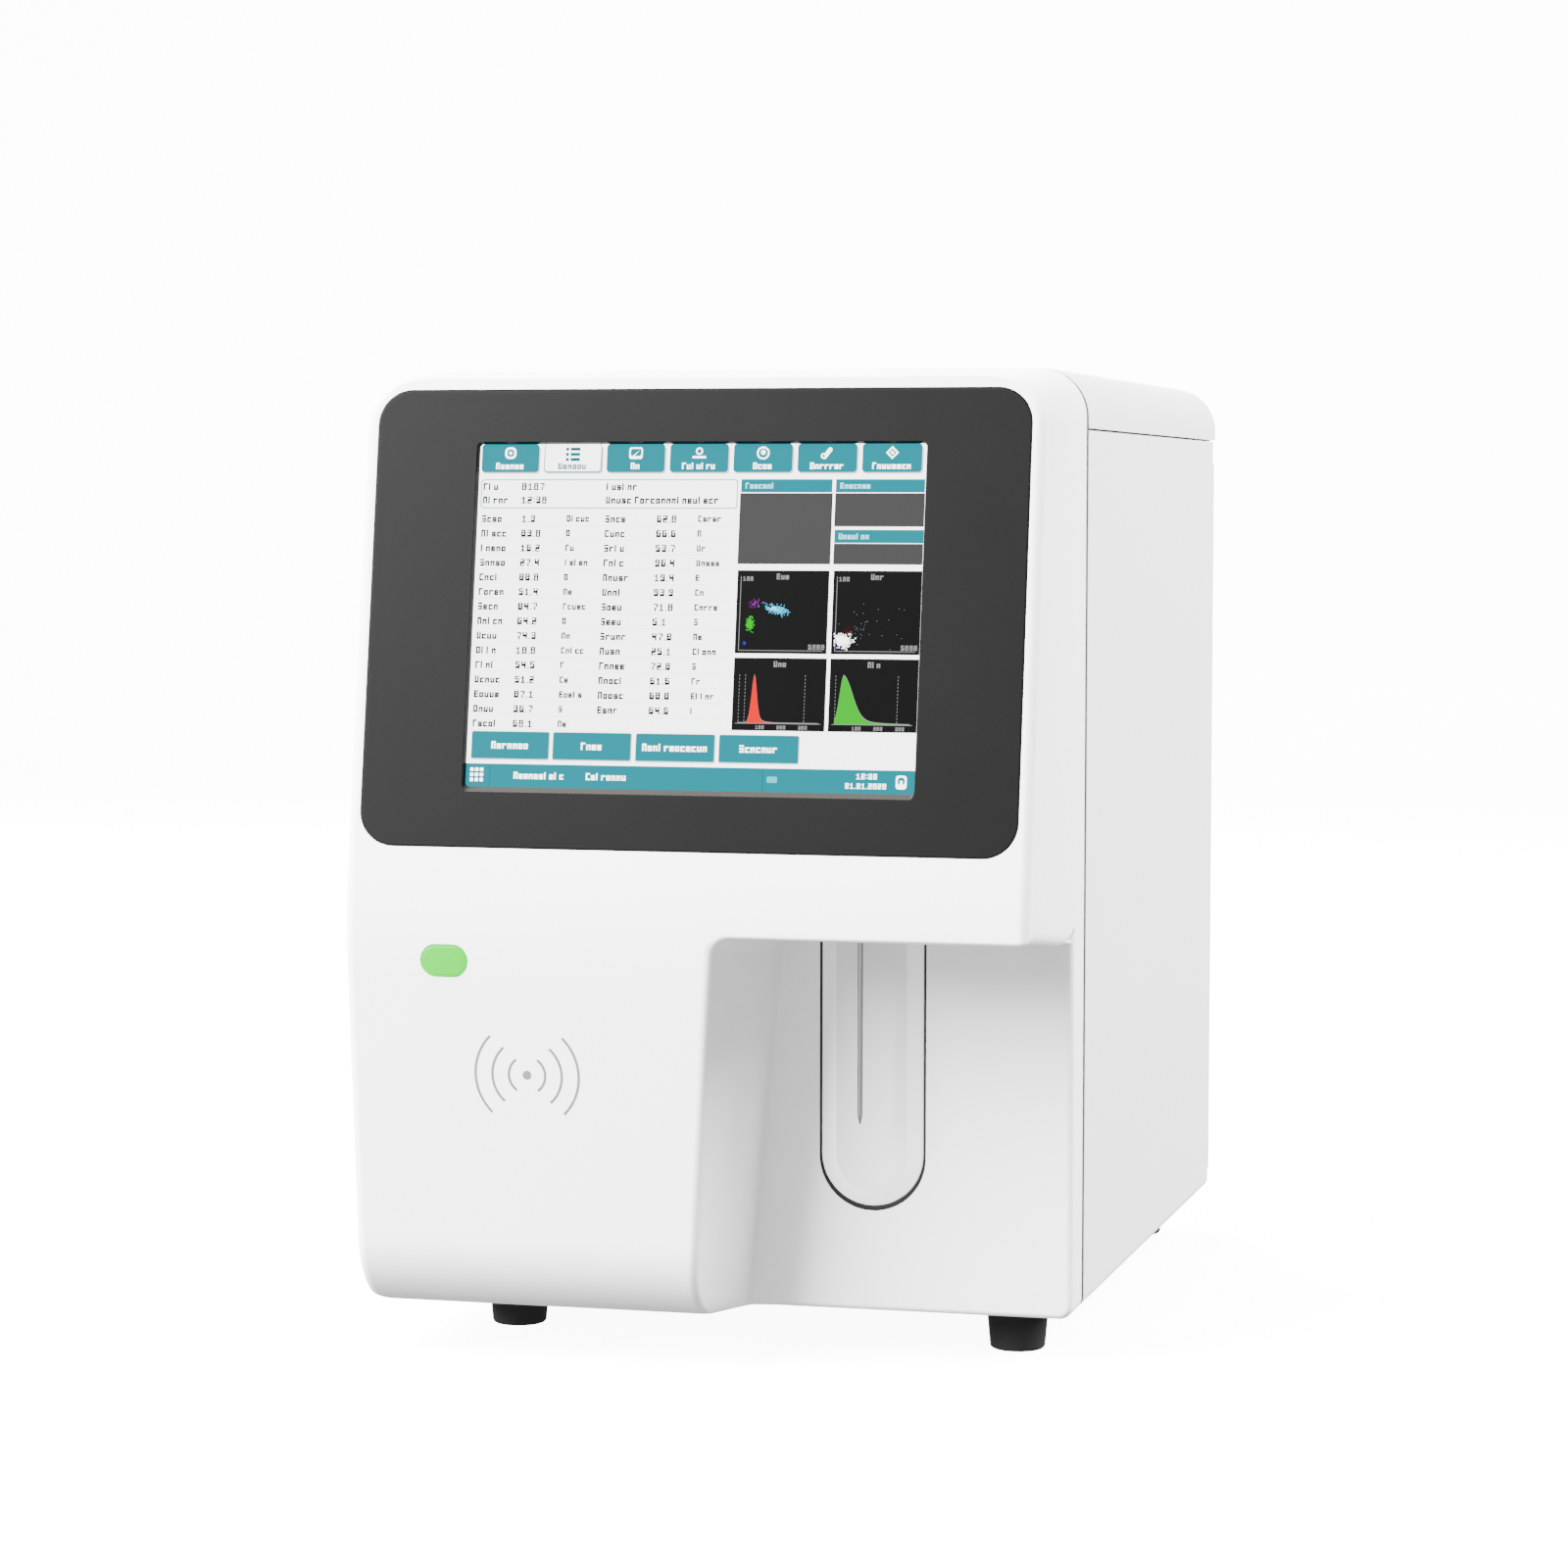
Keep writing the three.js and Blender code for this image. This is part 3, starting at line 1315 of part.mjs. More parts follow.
// The mains inlet: a flange, a well with three blades and a body through the panel
function powerInlet() {
  const front = rearPanelOuter + clearance;
  const rear = front + inletFlange;
  const flange = plateY(roundedShape(about(inletX, inletFlangeWidth), about(inletHeight, inletFlangeHeight),
    bottomRadius), [front, rear]);
  const body = block(about(inletX, inletBodyWidth), [rear - inletBodyDepth, rear - clearance],
    about(inletHeight, inletBodyHeight));
  const well = block(about(inletX, inletWellWidth), [rear - inletWellDepth, rear + overrun],
    about(inletHeight, inletWellHeight));
  const blades = [-1, 0, 1].map((place) => {
    const centre = inletHeight + (place === 0 ? inletPinHeight : -inletPinHeight) / 2;
    return block(about(inletX + place * inletPinPitch, inletPinWidth),
      [rear - inletWellDepth - clearance, rear - inletWellDepth + inletPinLength],
      about(centre, inletPinHeight));
  });
  return part("power_inlet", join(cut(join(flange, body), well), ...blades), blackPlastic);
}

const switchFlangeBack = rearPanelOuter + clearance + powerSwitchFlange;

function powerSwitch() {
  const inner = clearance * 2;
  const front = rearPanelOuter + clearance;
  const flange = block(about(powerSwitchX, powerSwitchWidth), [front, switchFlangeBack],
    about(inletHeight, powerSwitchTall));
  const bodyRange = [switchFlangeBack - powerSwitchDepth, front + clearance];
  const body = block(about(powerSwitchX, powerSwitchWidth - inner * 2), bodyRange,
    about(inletHeight, powerSwitchTall - inner * 2));
  const wellRange = [switchFlangeBack - rockerWellDepth, switchFlangeBack + overrun];
  const well = block(about(powerSwitchX, rockerWidth + clearance * 2), wellRange,
    about(inletHeight, rockerTall + rockerPlay * 2));
  return part("power_switch_housing", cut(join(flange, body), well), blackPlastic);
}

// The rocker rests tilted, its upper end out, and turns on the middle of its block
function powerRocker() {
  const half = rockerTall / 2;
  const shape = new THREE.Shape();
  shape.moveTo(rockerRise * 2 - rockerThickness, -half);
  shape.lineTo(rockerRise, -half);
  shape.lineTo(0, 0);
  shape.lineTo(rockerRise, half);
  shape.lineTo(rockerRise * 2 - rockerThickness, half);
  shape.lineTo(-rockerThickness, 0);
  const slice = extrude(shape, rockerWidth).translate(0, 0, -rockerWidth / 2);
  const upright = new THREE.Matrix4().makeBasis(new THREE.Vector3(0, 1, 0), new THREE.Vector3(0, 0, 1),
    new THREE.Vector3(1, 0, 0));
  const mesh = part("power_rocker", slice.applyMatrix4(upright), blackPlastic);
  mesh.position.set(powerSwitchX, switchFlangeBack, inletHeight);
  mesh.rotation.x = -rockerTilt;
  return mesh;
}

// A hose port: flange on the panel, a barbed nipple behind it and a bore right through
function hosePort(name, x) {
  const front = rearPanelOuter + clearance;
  const tip = front + portFlange + portReach;
  const inside = rearPanelInner - portInside;
  const profile = [
    [portBore, inside], [portRadius, inside], [portRadius, front], [portFlangeRadius, front],
    [portFlangeRadius, front + portFlange], [portRadius, front + portFlange],
    [portRadius, tip - portReach / 2], [portBarbRadius, tip], [portBore, tip], [portBore, inside],
  ];
  const lathe = new THREE.LatheGeometry(profile.map(([r, y]) => new THREE.Vector2(r, y)), smallSteps);
  return part(name, lathe.translate(x, 0, portHeight), greyPlastic);
}

function socket(name, x, wide, tall) {
  const front = rearPanelOuter + clearance;
  const rear = front + socketFlange;
  const border = socketFlangeBorder * 2;
  return part(name, cut(
    join(
      block(about(x, wide + border), [front, rear], about(socketHeight, tall + border)),
      block(about(x, wide), [rear - socketDepth, rear - clearance], about(socketHeight, tall)),
    ),
    block(about(x, wide - socketFlange * 2), [rear - socketDepth + socketFlange, rear + overrun],
      about(socketHeight, tall - socketFlange * 2)),
  ), brightMetal);
}

function groundStud() {
  const front = rearPanelOuter + clearance;
  return part("ground_stud", join(
    rodY(groundRadius, groundX, [rearPanelInner - groundNut, front + groundReach], groundHeight),
    rodY(groundNutRadius, groundX, [front, front + groundNut], groundHeight, arcSteps + 1),
  ), brightMetal);
}

display.add(screenBezel(), touchPanel(), lcdModule(), displayBracket(), displayBoard());

const analyzer = new THREE.Group();
analyzer.add(frontCover(), display);
analyzer.add(statusLens(), statusBoard(), readerBoard());
analyzer.add(aspirateKey(), keyPin(), keyBracket(), keySwitch());
analyzer.add(probeFrame(), probeRail(), probeCarriage(), sampleProbe(), washBlock());
analyzer.add(liftMotor(), drivePulley(), idlerPulley(), idlerPin(), liftBelt());
analyzer.add(frontFrame(), basePlate(), leftPanel(), serviceDoor(), ...doorHinges(), doorCatch());
analyzer.add(topCover(), rearPanel(), innerPanel());
analyzer.add(foot("foot_front_left", frontLeftFootX, frontFootY));
analyzer.add(foot("foot_front_right", rightFootX, frontFootY));
analyzer.add(foot("foot_rear_left", -rightFootX, rearFootY), foot("foot_rear_right", rightFootX, rearFootY));
analyzer.add(bath("wbc_bath", bathFrontY), bath("rbc_bath", bathFrontY + bathSpacing), opticalBench());
analyzer.add(syringeBarrel(), syringePlunger(), syringeMotor(), valveManifold(), wastePump(), pumpRotor());
analyzer.add(mainBoard(), powerSupply(), fanHousing(), fanRotor());
analyzer.add(powerInlet(), powerSwitch(), powerRocker(), groundStud());
["diluent_port", "lyse_port", "waste_port"].forEach((name, i) => {
  analyzer.add(hosePort(name, portX + i * portPitch));
});
analyzer.add(socket("usb_socket_left", socketX, socketWidth, socketTall));
analyzer.add(socket("usb_socket_right", socketX + socketPitch, socketWidth, socketTall));
analyzer.add(socket("network_socket", networkX, networkWidth, networkTall));

// The origin stands under the middle of the whole, on the surface that it rests on
const rearmost = rearPanelOuter + clearance + portFlange + portReach;
analyzer.position.set(0, (bellyDepth - rearmost) / 2, footHeight);

export default analyzer;
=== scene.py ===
"""A benchtop hematology analyzer: its casing, display, needle, chassis and inner units.

Lengths inside the classes are millimetres in the casing's own space: x to the right, y to the
back from the seam between front cover and body, z up from the body's underside. Datum turns
them into the frame's metres.
"""
import logging
import math
from collections.abc import Iterator
from contextlib import contextmanager
from dataclasses import dataclass, field
from enum import Enum

import bmesh
import bpy
import numpy as np
from mathutils import Matrix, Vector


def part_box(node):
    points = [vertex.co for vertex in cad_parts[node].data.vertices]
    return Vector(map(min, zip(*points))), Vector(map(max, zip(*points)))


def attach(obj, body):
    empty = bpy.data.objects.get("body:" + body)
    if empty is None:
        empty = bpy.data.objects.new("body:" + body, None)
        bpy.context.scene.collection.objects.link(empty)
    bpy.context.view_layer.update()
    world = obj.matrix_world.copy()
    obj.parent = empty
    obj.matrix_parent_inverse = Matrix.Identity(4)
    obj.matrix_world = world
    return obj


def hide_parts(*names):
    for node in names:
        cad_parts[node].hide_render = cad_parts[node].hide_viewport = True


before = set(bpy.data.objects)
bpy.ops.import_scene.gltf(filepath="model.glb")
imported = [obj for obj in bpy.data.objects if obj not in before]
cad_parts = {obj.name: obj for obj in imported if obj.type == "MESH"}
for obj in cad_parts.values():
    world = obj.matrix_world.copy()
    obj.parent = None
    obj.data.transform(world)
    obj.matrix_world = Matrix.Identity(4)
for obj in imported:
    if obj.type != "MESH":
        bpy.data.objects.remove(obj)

Array = np.ndarray
Faces = list[list[int]]
Range = tuple[float, float]
Point = tuple[float, float, float]
Box = tuple[float, float, float, float]
Object = bpy.types.Object
Mesh = bpy.types.Mesh
Material = bpy.types.Material
Node = bpy.types.Node
Socket = bpy.types.NodeSocket

MM = 0.001
# Points nearer than this, in metres, become one
MERGE = 2e-6
# The smallest radius or side, in millimetres, that keeps a face from closing up
TINY = 1e-4
# How far a cutter runs past what it cuts
OVERRUN = 30.0
# The usual angle in degrees above which an edge stays sharp
SHARP = 32.0
QUARTER = math.pi / 2
# Sizes that the front cover and the casing share, in millimetres
BODY_WIDTH = 332.8
BODY_HEIGHT = 437.8
TOP_CORNER = 23.0
BOTTOM_CORNER = 6.5
SIDE_SEAM = 409.5
DISPLAY_LEAN = math.radians(8.67)
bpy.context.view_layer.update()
log = logging.getLogger("analyzer")


# Places and shapes

@dataclass(frozen=True)
class Datum:
    """Where the casing's own zero lies in the frame, in metres."""

    seam_y: float
    underside_z: float

    @classmethod
    def from_frame(cls) -> "Datum":
        """Reads the seam from the chassis frame and the underside from the base plate."""
        low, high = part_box("front_frame")
        return cls((low.y + high.y) / 2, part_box("base_plate")[0].z)

    def place(self, points: Array) -> Array:
        """Turns points in casing millimetres into frame metres."""
        return np.asarray(points, float) * MM + np.array([0.0, self.seam_y, self.underside_z])

    def recall(self, points: Array) -> Array:
        """Turns points in frame metres back into casing millimetres."""
        return (points - np.array([0.0, self.seam_y, self.underside_z])) / MM


DATUM = Datum.from_frame()


class Axis(Enum):
    """The direction of a turned piece's axis, as the order of its flat and long coordinates."""

    X = (2, 0, 1)
    Y = (1, 2, 0)
    Z = (0, 1, 2)


@dataclass
class Shape:
    """Points in casing millimetres with the faces between them."""

    points: Array
    faces: Faces

    def joined(self, *others: "Shape") -> "Shape":
        """This shape and others as one, side by side."""
        shapes = [self, *others]
        starts = np.cumsum([0] + [len(shape.points) for shape in shapes])
        faces = [[i + int(start) for i in face]
                 for shape, start in zip(shapes, starts) for face in shape.faces]
        return Shape(np.vstack([shape.points for shape in shapes]), faces)

    def turned_by(self, rotation: Matrix, origin: Point = (0, 0, 0)) -> "Shape":
        """The shape turned about its own zero, then moved to an origin."""
        return Shape(self.points @ np.array(rotation)[:3, :3].T + np.array(origin), self.faces)


def grid_faces(rows: int, columns: int) -> Faces:
    """Quads between neighbouring rows of points whose last column joins the first."""
    row, column = np.meshgrid(np.arange(rows - 1), np.arange(columns), indexing="ij")
    here = row * columns + column
    beside = row * columns + (column + 1) % columns
    return np.stack([here, beside, beside + columns, here + columns], -1).reshape(-1, 4).tolist()


def loft(rings: Array) -> Shape:
    """A closed skin through rings of equal count: ring v at share u, with a flat cap at each end."""
    rings = np.asarray(rings, float)
    rows, count = rings.shape[:2]
    caps = [list(range(count))[::-1], list(range((rows - 1) * count, rows * count))]
    return Shape(rings.reshape(-1, 3), grid_faces(rows, count) + caps)


def tube(rings: Array) -> Shape:
    """A skin closed both ways: as a loft, with the last ring joined to the first."""
    rings = np.asarray(rings, float)
    rows, count = rings.shape[:2]
    faces = np.array(grid_faces(rows + 1, count)) % (rows * count)
    return Shape(rings.reshape(-1, 3), faces.tolist())


def arc(centre: Range, radius: float, start: float, end: float, steps: int) -> Array:
    """Points on a circle between two angles in degrees: centre plus radius at each angle."""
    turn = np.radians(np.linspace(start, end, steps))
    return np.stack([centre[0] + radius * np.cos(turn), centre[1] + radius * np.sin(turn)], -1)


def rounded(across: Range, up: Range, radius: float, steps: int = 9) -> Array:
    """A rectangle with round corners as one loop, anticlockwise from its lower right corner."""
    (left, right), (low, high) = across, up
    r = min(radius, (right - left) / 2 - TINY, (high - low) / 2 - TINY)
    corners = [(right - r, low + r), (right - r, high - r), (left + r, high - r), (left + r, low + r)]
    return np.vstack([arc(centre, r, 90 * i - 90, 90 * i, steps) for i, centre in enumerate(corners)])


def unit(vectors: Array) -> Array:
    """Each vector divided by its length."""
    return vectors / np.maximum(np.linalg.norm(vectors, axis=-1, keepdims=True), 1e-12)


def inset(loop: Array, distance: float) -> Array:
    """An anticlockwise loop with every side moved inwards: each point goes along its mitre.

    Args:
        loop: the points of the loop.
        distance: how far the sides move in, or out where it is negative.

    Returns:
        The moved loop, with as many points.
    """
    before = unit(loop - np.roll(loop, 1, 0))
    after = unit(np.roll(loop, -1, 0) - loop)
    inward = np.stack([-before[:, 1], before[:, 0]], -1)
    mitre = unit(inward + np.stack([-after[:, 1], after[:, 0]], -1))
    lean = np.maximum((mitre * inward).sum(-1, keepdims=True), 0.5)
    return loop + mitre * distance / lean


def standing(loop: Array, y: float | Array) -> Array:
    """A loop drawn in x and z, stood up at a depth y."""
    return np.stack([loop[:, 0], np.broadcast_to(y, len(loop)), loop[:, 1]], -1)


def soft_edge(radius: float, steps: int = 4) -> list[Range]:
    """Inset and depth along a quarter-round edge: radius less its sine and less its cosine."""
    turn = np.linspace(0, QUARTER, steps)
    return list(zip(radius * (1 - np.sin(turn)), radius * (1 - np.cos(turn))))


def plate(loop: Array, front: float, back: float, soft: float = 0.5, steps: int = 4) -> Shape:
    """A plate drawn in x and z, its front and back edges rounded by a soft radius.

    Args:
        loop: the outline, anticlockwise as seen from the front.
        front: the depth of the front face.
        back: the depth of the back face.
        soft: the edges' radius.
        steps: how many outlines go round each edge.

    Returns:
        The closed plate.
    """
    edge = soft_edge(soft, steps)
    rings = [standing(inset(loop, i), front + d) for i, d in edge]
    rings += [standing(inset(loop, i), back - d) for i, d in edge[::-1]]
    return loft(rings)


def holed_plate(outer: Array, inner: Array, front: float, back: float, soft: float = 0.5) -> Shape:
    """A plate in x and z with one opening: a skin closed both ways over its rim and its opening.

    Args:
        outer: the rim's outline.
        inner: the opening's outline, with as many points.
        front: the depth of the front face.
        back: the depth of the back face.
        soft: the edges' radius.

    Returns:
        The closed plate.
    """
    edge = soft_edge(soft)
    rings = [standing(inset(outer, i), back - d) for i, d in edge]
    rings += [standing(inset(outer, i), front + d) for i, d in edge[::-1]]
    rings += [standing(inset(inner, -i), front + d) for i, d in edge]
    rings += [standing(inset(inner, -i), back - d) for i, d in edge[::-1]]
    return tube(rings)


def cuboid(x: Range, y: Range, z: Range, soft: float = 0.4) -> Shape:
    """A block with every edge and corner rounded."""
    return plate(rounded(x, z, soft * 1.01, 3), y[0], y[1], soft, 3)


def about(centre: float, length: float) -> Range:
    """The range of a length centred on a place."""
    return centre - length / 2, centre + length / 2


def turned(profile: list[Range], axis: Axis, centre: Point, steps: int = 48, hollow: bool = False) -> Shape:
    """A surface of revolution: each profile point's radius carried round the axis.

    Args:
        profile: radius and height along the axis; a hollow one is a closed loop.
        axis: the direction of the axis.
        centre: a point on the axis where the height is zero.
        steps: how many facets go round.
        hollow: whether the profile closes on itself.

    Returns:
        The closed shape.
    """
    radius, height = np.array(profile, float).T
    turn = np.linspace(0, 2 * math.pi, steps, endpoint=False)
    across, along = np.maximum(radius, TINY)[:, None], height[:, None]
    flat = [across * np.cos(turn), across * np.sin(turn), np.broadcast_to(along, (len(along), steps))]
    rings = np.stack([flat[i] for i in axis.value], -1) + np.array(centre)
    return tube(rings) if hollow else loft(rings)


def rod(radius: float, span: Range, axis: Axis, centre: Point, soft: float = 0.3, steps: int = 32) -> Shape:
    """A round bar with softly rounded rims.

    Args:
        radius: the bar's radius.
        span: where it starts and ends along the axis, from the centre.
        axis: the direction of the axis.
        centre: a point on the axis.
        soft: the rims' radius.
        steps: how many facets go round.

    Returns:
        The closed bar.
    """
    low, high = span
    edge = soft_edge(soft)
    profile = [(0, low), *[(radius - i, low + d) for i, d in edge]]
    profile += [(radius - i, high - d) for i, d in edge[::-1]] + [(0, high)]
    return turned(profile, axis, centre, steps)


def ring_bar(outer: float, inner: float, span: Range, axis: Axis, centre: Point, soft: float = 0.3) -> Shape:
    """A sleeve: a rectangle with softened outer corners carried round an axis.

    Args:
        outer: the sleeve's outer radius.
        inner: the radius of its bore.
        span: where it starts and ends along the axis, from the centre.
        axis: the direction of the axis.
        centre: a point on the axis.
        soft: the outer corners' radius.

    Returns:
        The closed sleeve.
    """
    low, high = span
    edge = soft_edge(soft)
    profile = [(inner, low), *[(outer - i, low + d) for i, d in edge]]
    profile += [(outer - i, high - d) for i, d in edge[::-1]] + [(inner, high)]
    return turned(profile, axis, centre, 48, True)


def hose(path: Array, radius: float, steps: int = 12) -> Shape:
    """A round hose along a path: circles across the path's own direction, kept from twisting.

    The path is smoothed by a curve through its points whose ends have no pull.

    Args:
        path: the points from one fitting to the next.
        radius: the hose's outer radius.
        steps: how many facets go round.

    Returns:
        The closed hose.
    """
    path = smooth_path(np.asarray(path, float))
    along = unit(np.gradient(path, axis=0))
    up = np.where(np.abs(along[:, 2:]) > 0.9, [[1.0, 0, 0]], [[0, 0, 1.0]])
    side = unit(np.cross(along, up))
    over = np.cross(side, along)
    turn = np.linspace(0, 2 * math.pi, steps, endpoint=False)[None, :, None]
    return loft(path[:, None] + radius * (np.cos(turn) * side[:, None] + np.sin(turn) * over[:, None]))


def smooth_path(path: Array, steps: int = 8) -> Array:
    """A curve through every point of a path: the cubic whose slope at a point joins its neighbours."""
    padded = np.vstack([2 * path[0] - path[1], path, 2 * path[-1] - path[-2]])
    p0, p1, p2, p3 = padded[:-3, None], padded[1:-2, None], padded[2:-1, None], padded[3:, None]
    t = np.linspace(0, 1, steps, endpoint=False)[None, :, None]
    square, cube = p0 - 2.5 * p1 + 2 * p2 - p3 / 2, 1.5 * (p1 - p2) + (p3 - p0) / 2
    curve = p1 + (p2 - p0) * t / 2 + square * t**2 + cube * t**3
    return np.vstack([curve.reshape(-1, 3), path[-1:]])


# Meshes

@contextmanager
def editing(mesh: Mesh) -> Iterator[bmesh.types.BMesh]:
    """Opens a mesh for editing and writes it back at the end."""
    work = bmesh.new()
    work.from_mesh(mesh)
    yield work
    work.to_mesh(mesh)
    work.free()


def shade(mesh: Mesh, smooth: float) -> None:
    """Shades a mesh smooth but for the edges above an angle in degrees."""
    mesh.shade_smooth()
    mesh.set_sharp_from_angle(angle=math.radians(smooth))


def add_object(name: str, data: bpy.types.ID) -> Object:
    """Makes an object of some data in the scene."""
    made = bpy.data.objects.new(name, data)
    bpy.context.scene.collection.objects.link(made)
    return made


def new_mesh(name: str, shape: Shape) -> Mesh:
    """A mesh of a shape, its place in the frame's metres."""
    mesh = bpy.data.meshes.new(name)
    mesh.from_pydata(DATUM.place(shape.points).tolist(), [], shape.faces)
    return mesh


def add_mesh(name: str, shape: Shape, smooth: float = SHARP) -> Object:
    """Makes an object of a closed shape: doubles merged, faces turned out, sharp edges marked.

    Args:
        name: the object's name.
        shape: its shape in casing millimetres.
        smooth: the angle in degrees above which an edge stays sharp.

    Returns:
        The object, at the origin.
    """
    mesh = new_mesh(name, shape)
    with editing(mesh) as work:
        bmesh.ops.remove_doubles(work, verts=work.verts, dist=MERGE)
        bmesh.ops.dissolve_degenerate(work, edges=work.edges, dist=MERGE / 2)
        bmesh.ops.recalc_face_normals(work, faces=work.faces)
    shade(mesh, smooth)
    return add_object(name, mesh)


def carve(piece: Object, cutters: list[Shape | Object], smooth: float = SHARP) -> Object:
    """Cuts closed shapes out of a piece, one after another.

    Args:
        piece: the object that is cut.
        cutters: shapes, or objects made before, which are used up.
        smooth: the angle in degrees above which an edge stays sharp.

    Returns:
        The piece, with the cuts in its mesh.
    """
    tools = [add_mesh(f"{piece.name}_cutter", cutter) if isinstance(cutter, Shape) else cutter
             for cutter in cutters]
    for tool in tools:
        cut = piece.modifiers.new("cut", "BOOLEAN")
        cut.operation = "DIFFERENCE"
        cut.solver = "MANIFOLD"
        cut.object = tool
    apply_modifiers(piece)
    for tool in tools:
        bpy.data.objects.remove(tool)
    shade(piece.data, smooth)
    return piece


def apply_modifiers(piece: Object) -> None:
    """Replaces a piece's mesh by the one that its modifiers give."""
    bpy.context.view_layer.update()
    mesh = bpy.data.meshes.new_from_object(piece.evaluated_get(bpy.context.evaluated_depsgraph_get()))
    old = piece.data
    piece.modifiers.clear()
    piece.data = mesh
    bpy.data.meshes.remove(old)


def soften(piece: Object, width: float, angle: float = 40.0) -> Object:
    """Rounds the sharp edges of a piece and lets its large faces set the shading.

    Args:
        piece: the object that is rounded.
        width: the rounding's width in millimetres.
        angle: the angle in degrees above which an edge is rounded.

    Returns:
        The piece.
    """
    bevel = piece.modifiers.new("soft", "BEVEL")
    bevel.width = width * MM
    bevel.segments = 2
    bevel.limit_method = "ANGLE"
    bevel.angle_limit = math.radians(angle)
    bevel.harden_normals = True
    return piece


def refined(node: str, width: float) -> Object:
    """A merged copy of a chassis node with its flat faces rejoined and its edges rounded.

    Args:
        node: the chassis node's name.
        width: the rounding's width in millimetres.

    Returns:
        The copy as an object of its own.
    """
    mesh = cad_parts[node].data.copy()
    with editing(mesh) as work:
        bmesh.ops.remove_doubles(work, verts=work.verts, dist=MERGE)
        bmesh.ops.dissolve_limit(work, angle_limit=math.radians(1), verts=work.verts, edges=work.edges)
    mesh.materials.clear()
    shade(mesh, SHARP)
    return soften(add_object(f"{node}_finished", mesh), width)


def face_places(mesh: Mesh) -> tuple[Array, Array]:
    """The middle of each face in casing millimetres, and its normal."""
    centre, normal = np.empty((2, len(mesh.polygons) * 3))
    mesh.polygons.foreach_get("center", centre)
    mesh.polygons.foreach_get("normal", normal)
    return DATUM.recall(centre.reshape(-1, 3)), normal.reshape(-1, 3)


def seat(side: Array, above: Array, back: Array, place: Point) -> Matrix:
    """The placing of something that looks away from its back, from its three directions."""
    rows = np.stack([side, above, back], 1).tolist()
    return Matrix([[*row, spot] for row, spot in zip(rows, place)] + [[0, 0, 0, 1]])


# Finishes

def linear(colour: str) -> Box:
    """Turns an sRGB hex colour into the linear one that Blender's sockets take."""
    share = np.array([int(colour[i:i + 2], 16) for i in (1, 3, 5)]) / 255
    red, green, blue = np.where(share <= 0.04045, share / 12.92, ((share + 0.055) / 1.055) ** 2.4)
    return float(red), float(green), float(blue), 1.0


def add_node(material: Material, kind: str, settings: dict, **links: Socket) -> Node:
    """Adds a shader node with its settings and links.

    Args:
        material: the material whose tree takes the node.
        kind: the node's type, without its first word.
        settings: property names or input names with their values.
        links: input names, with spaces as underscores, and the sockets that feed them.

    Returns:
        The new node.
    """
    made = material.node_tree.nodes.new(f"ShaderNode{kind}")
    for name, value in settings.items():
        if isinstance(name, str) and hasattr(made, name):
            setattr(made, name, value)
        else:
            made.inputs[name].default_value = value
    for name, socket in links.items():
        key = int(name[1:]) if name[1:].isdigit() else name.replace("_", " ")
        material.node_tree.links.new(socket, made.inputs[key])
    return made


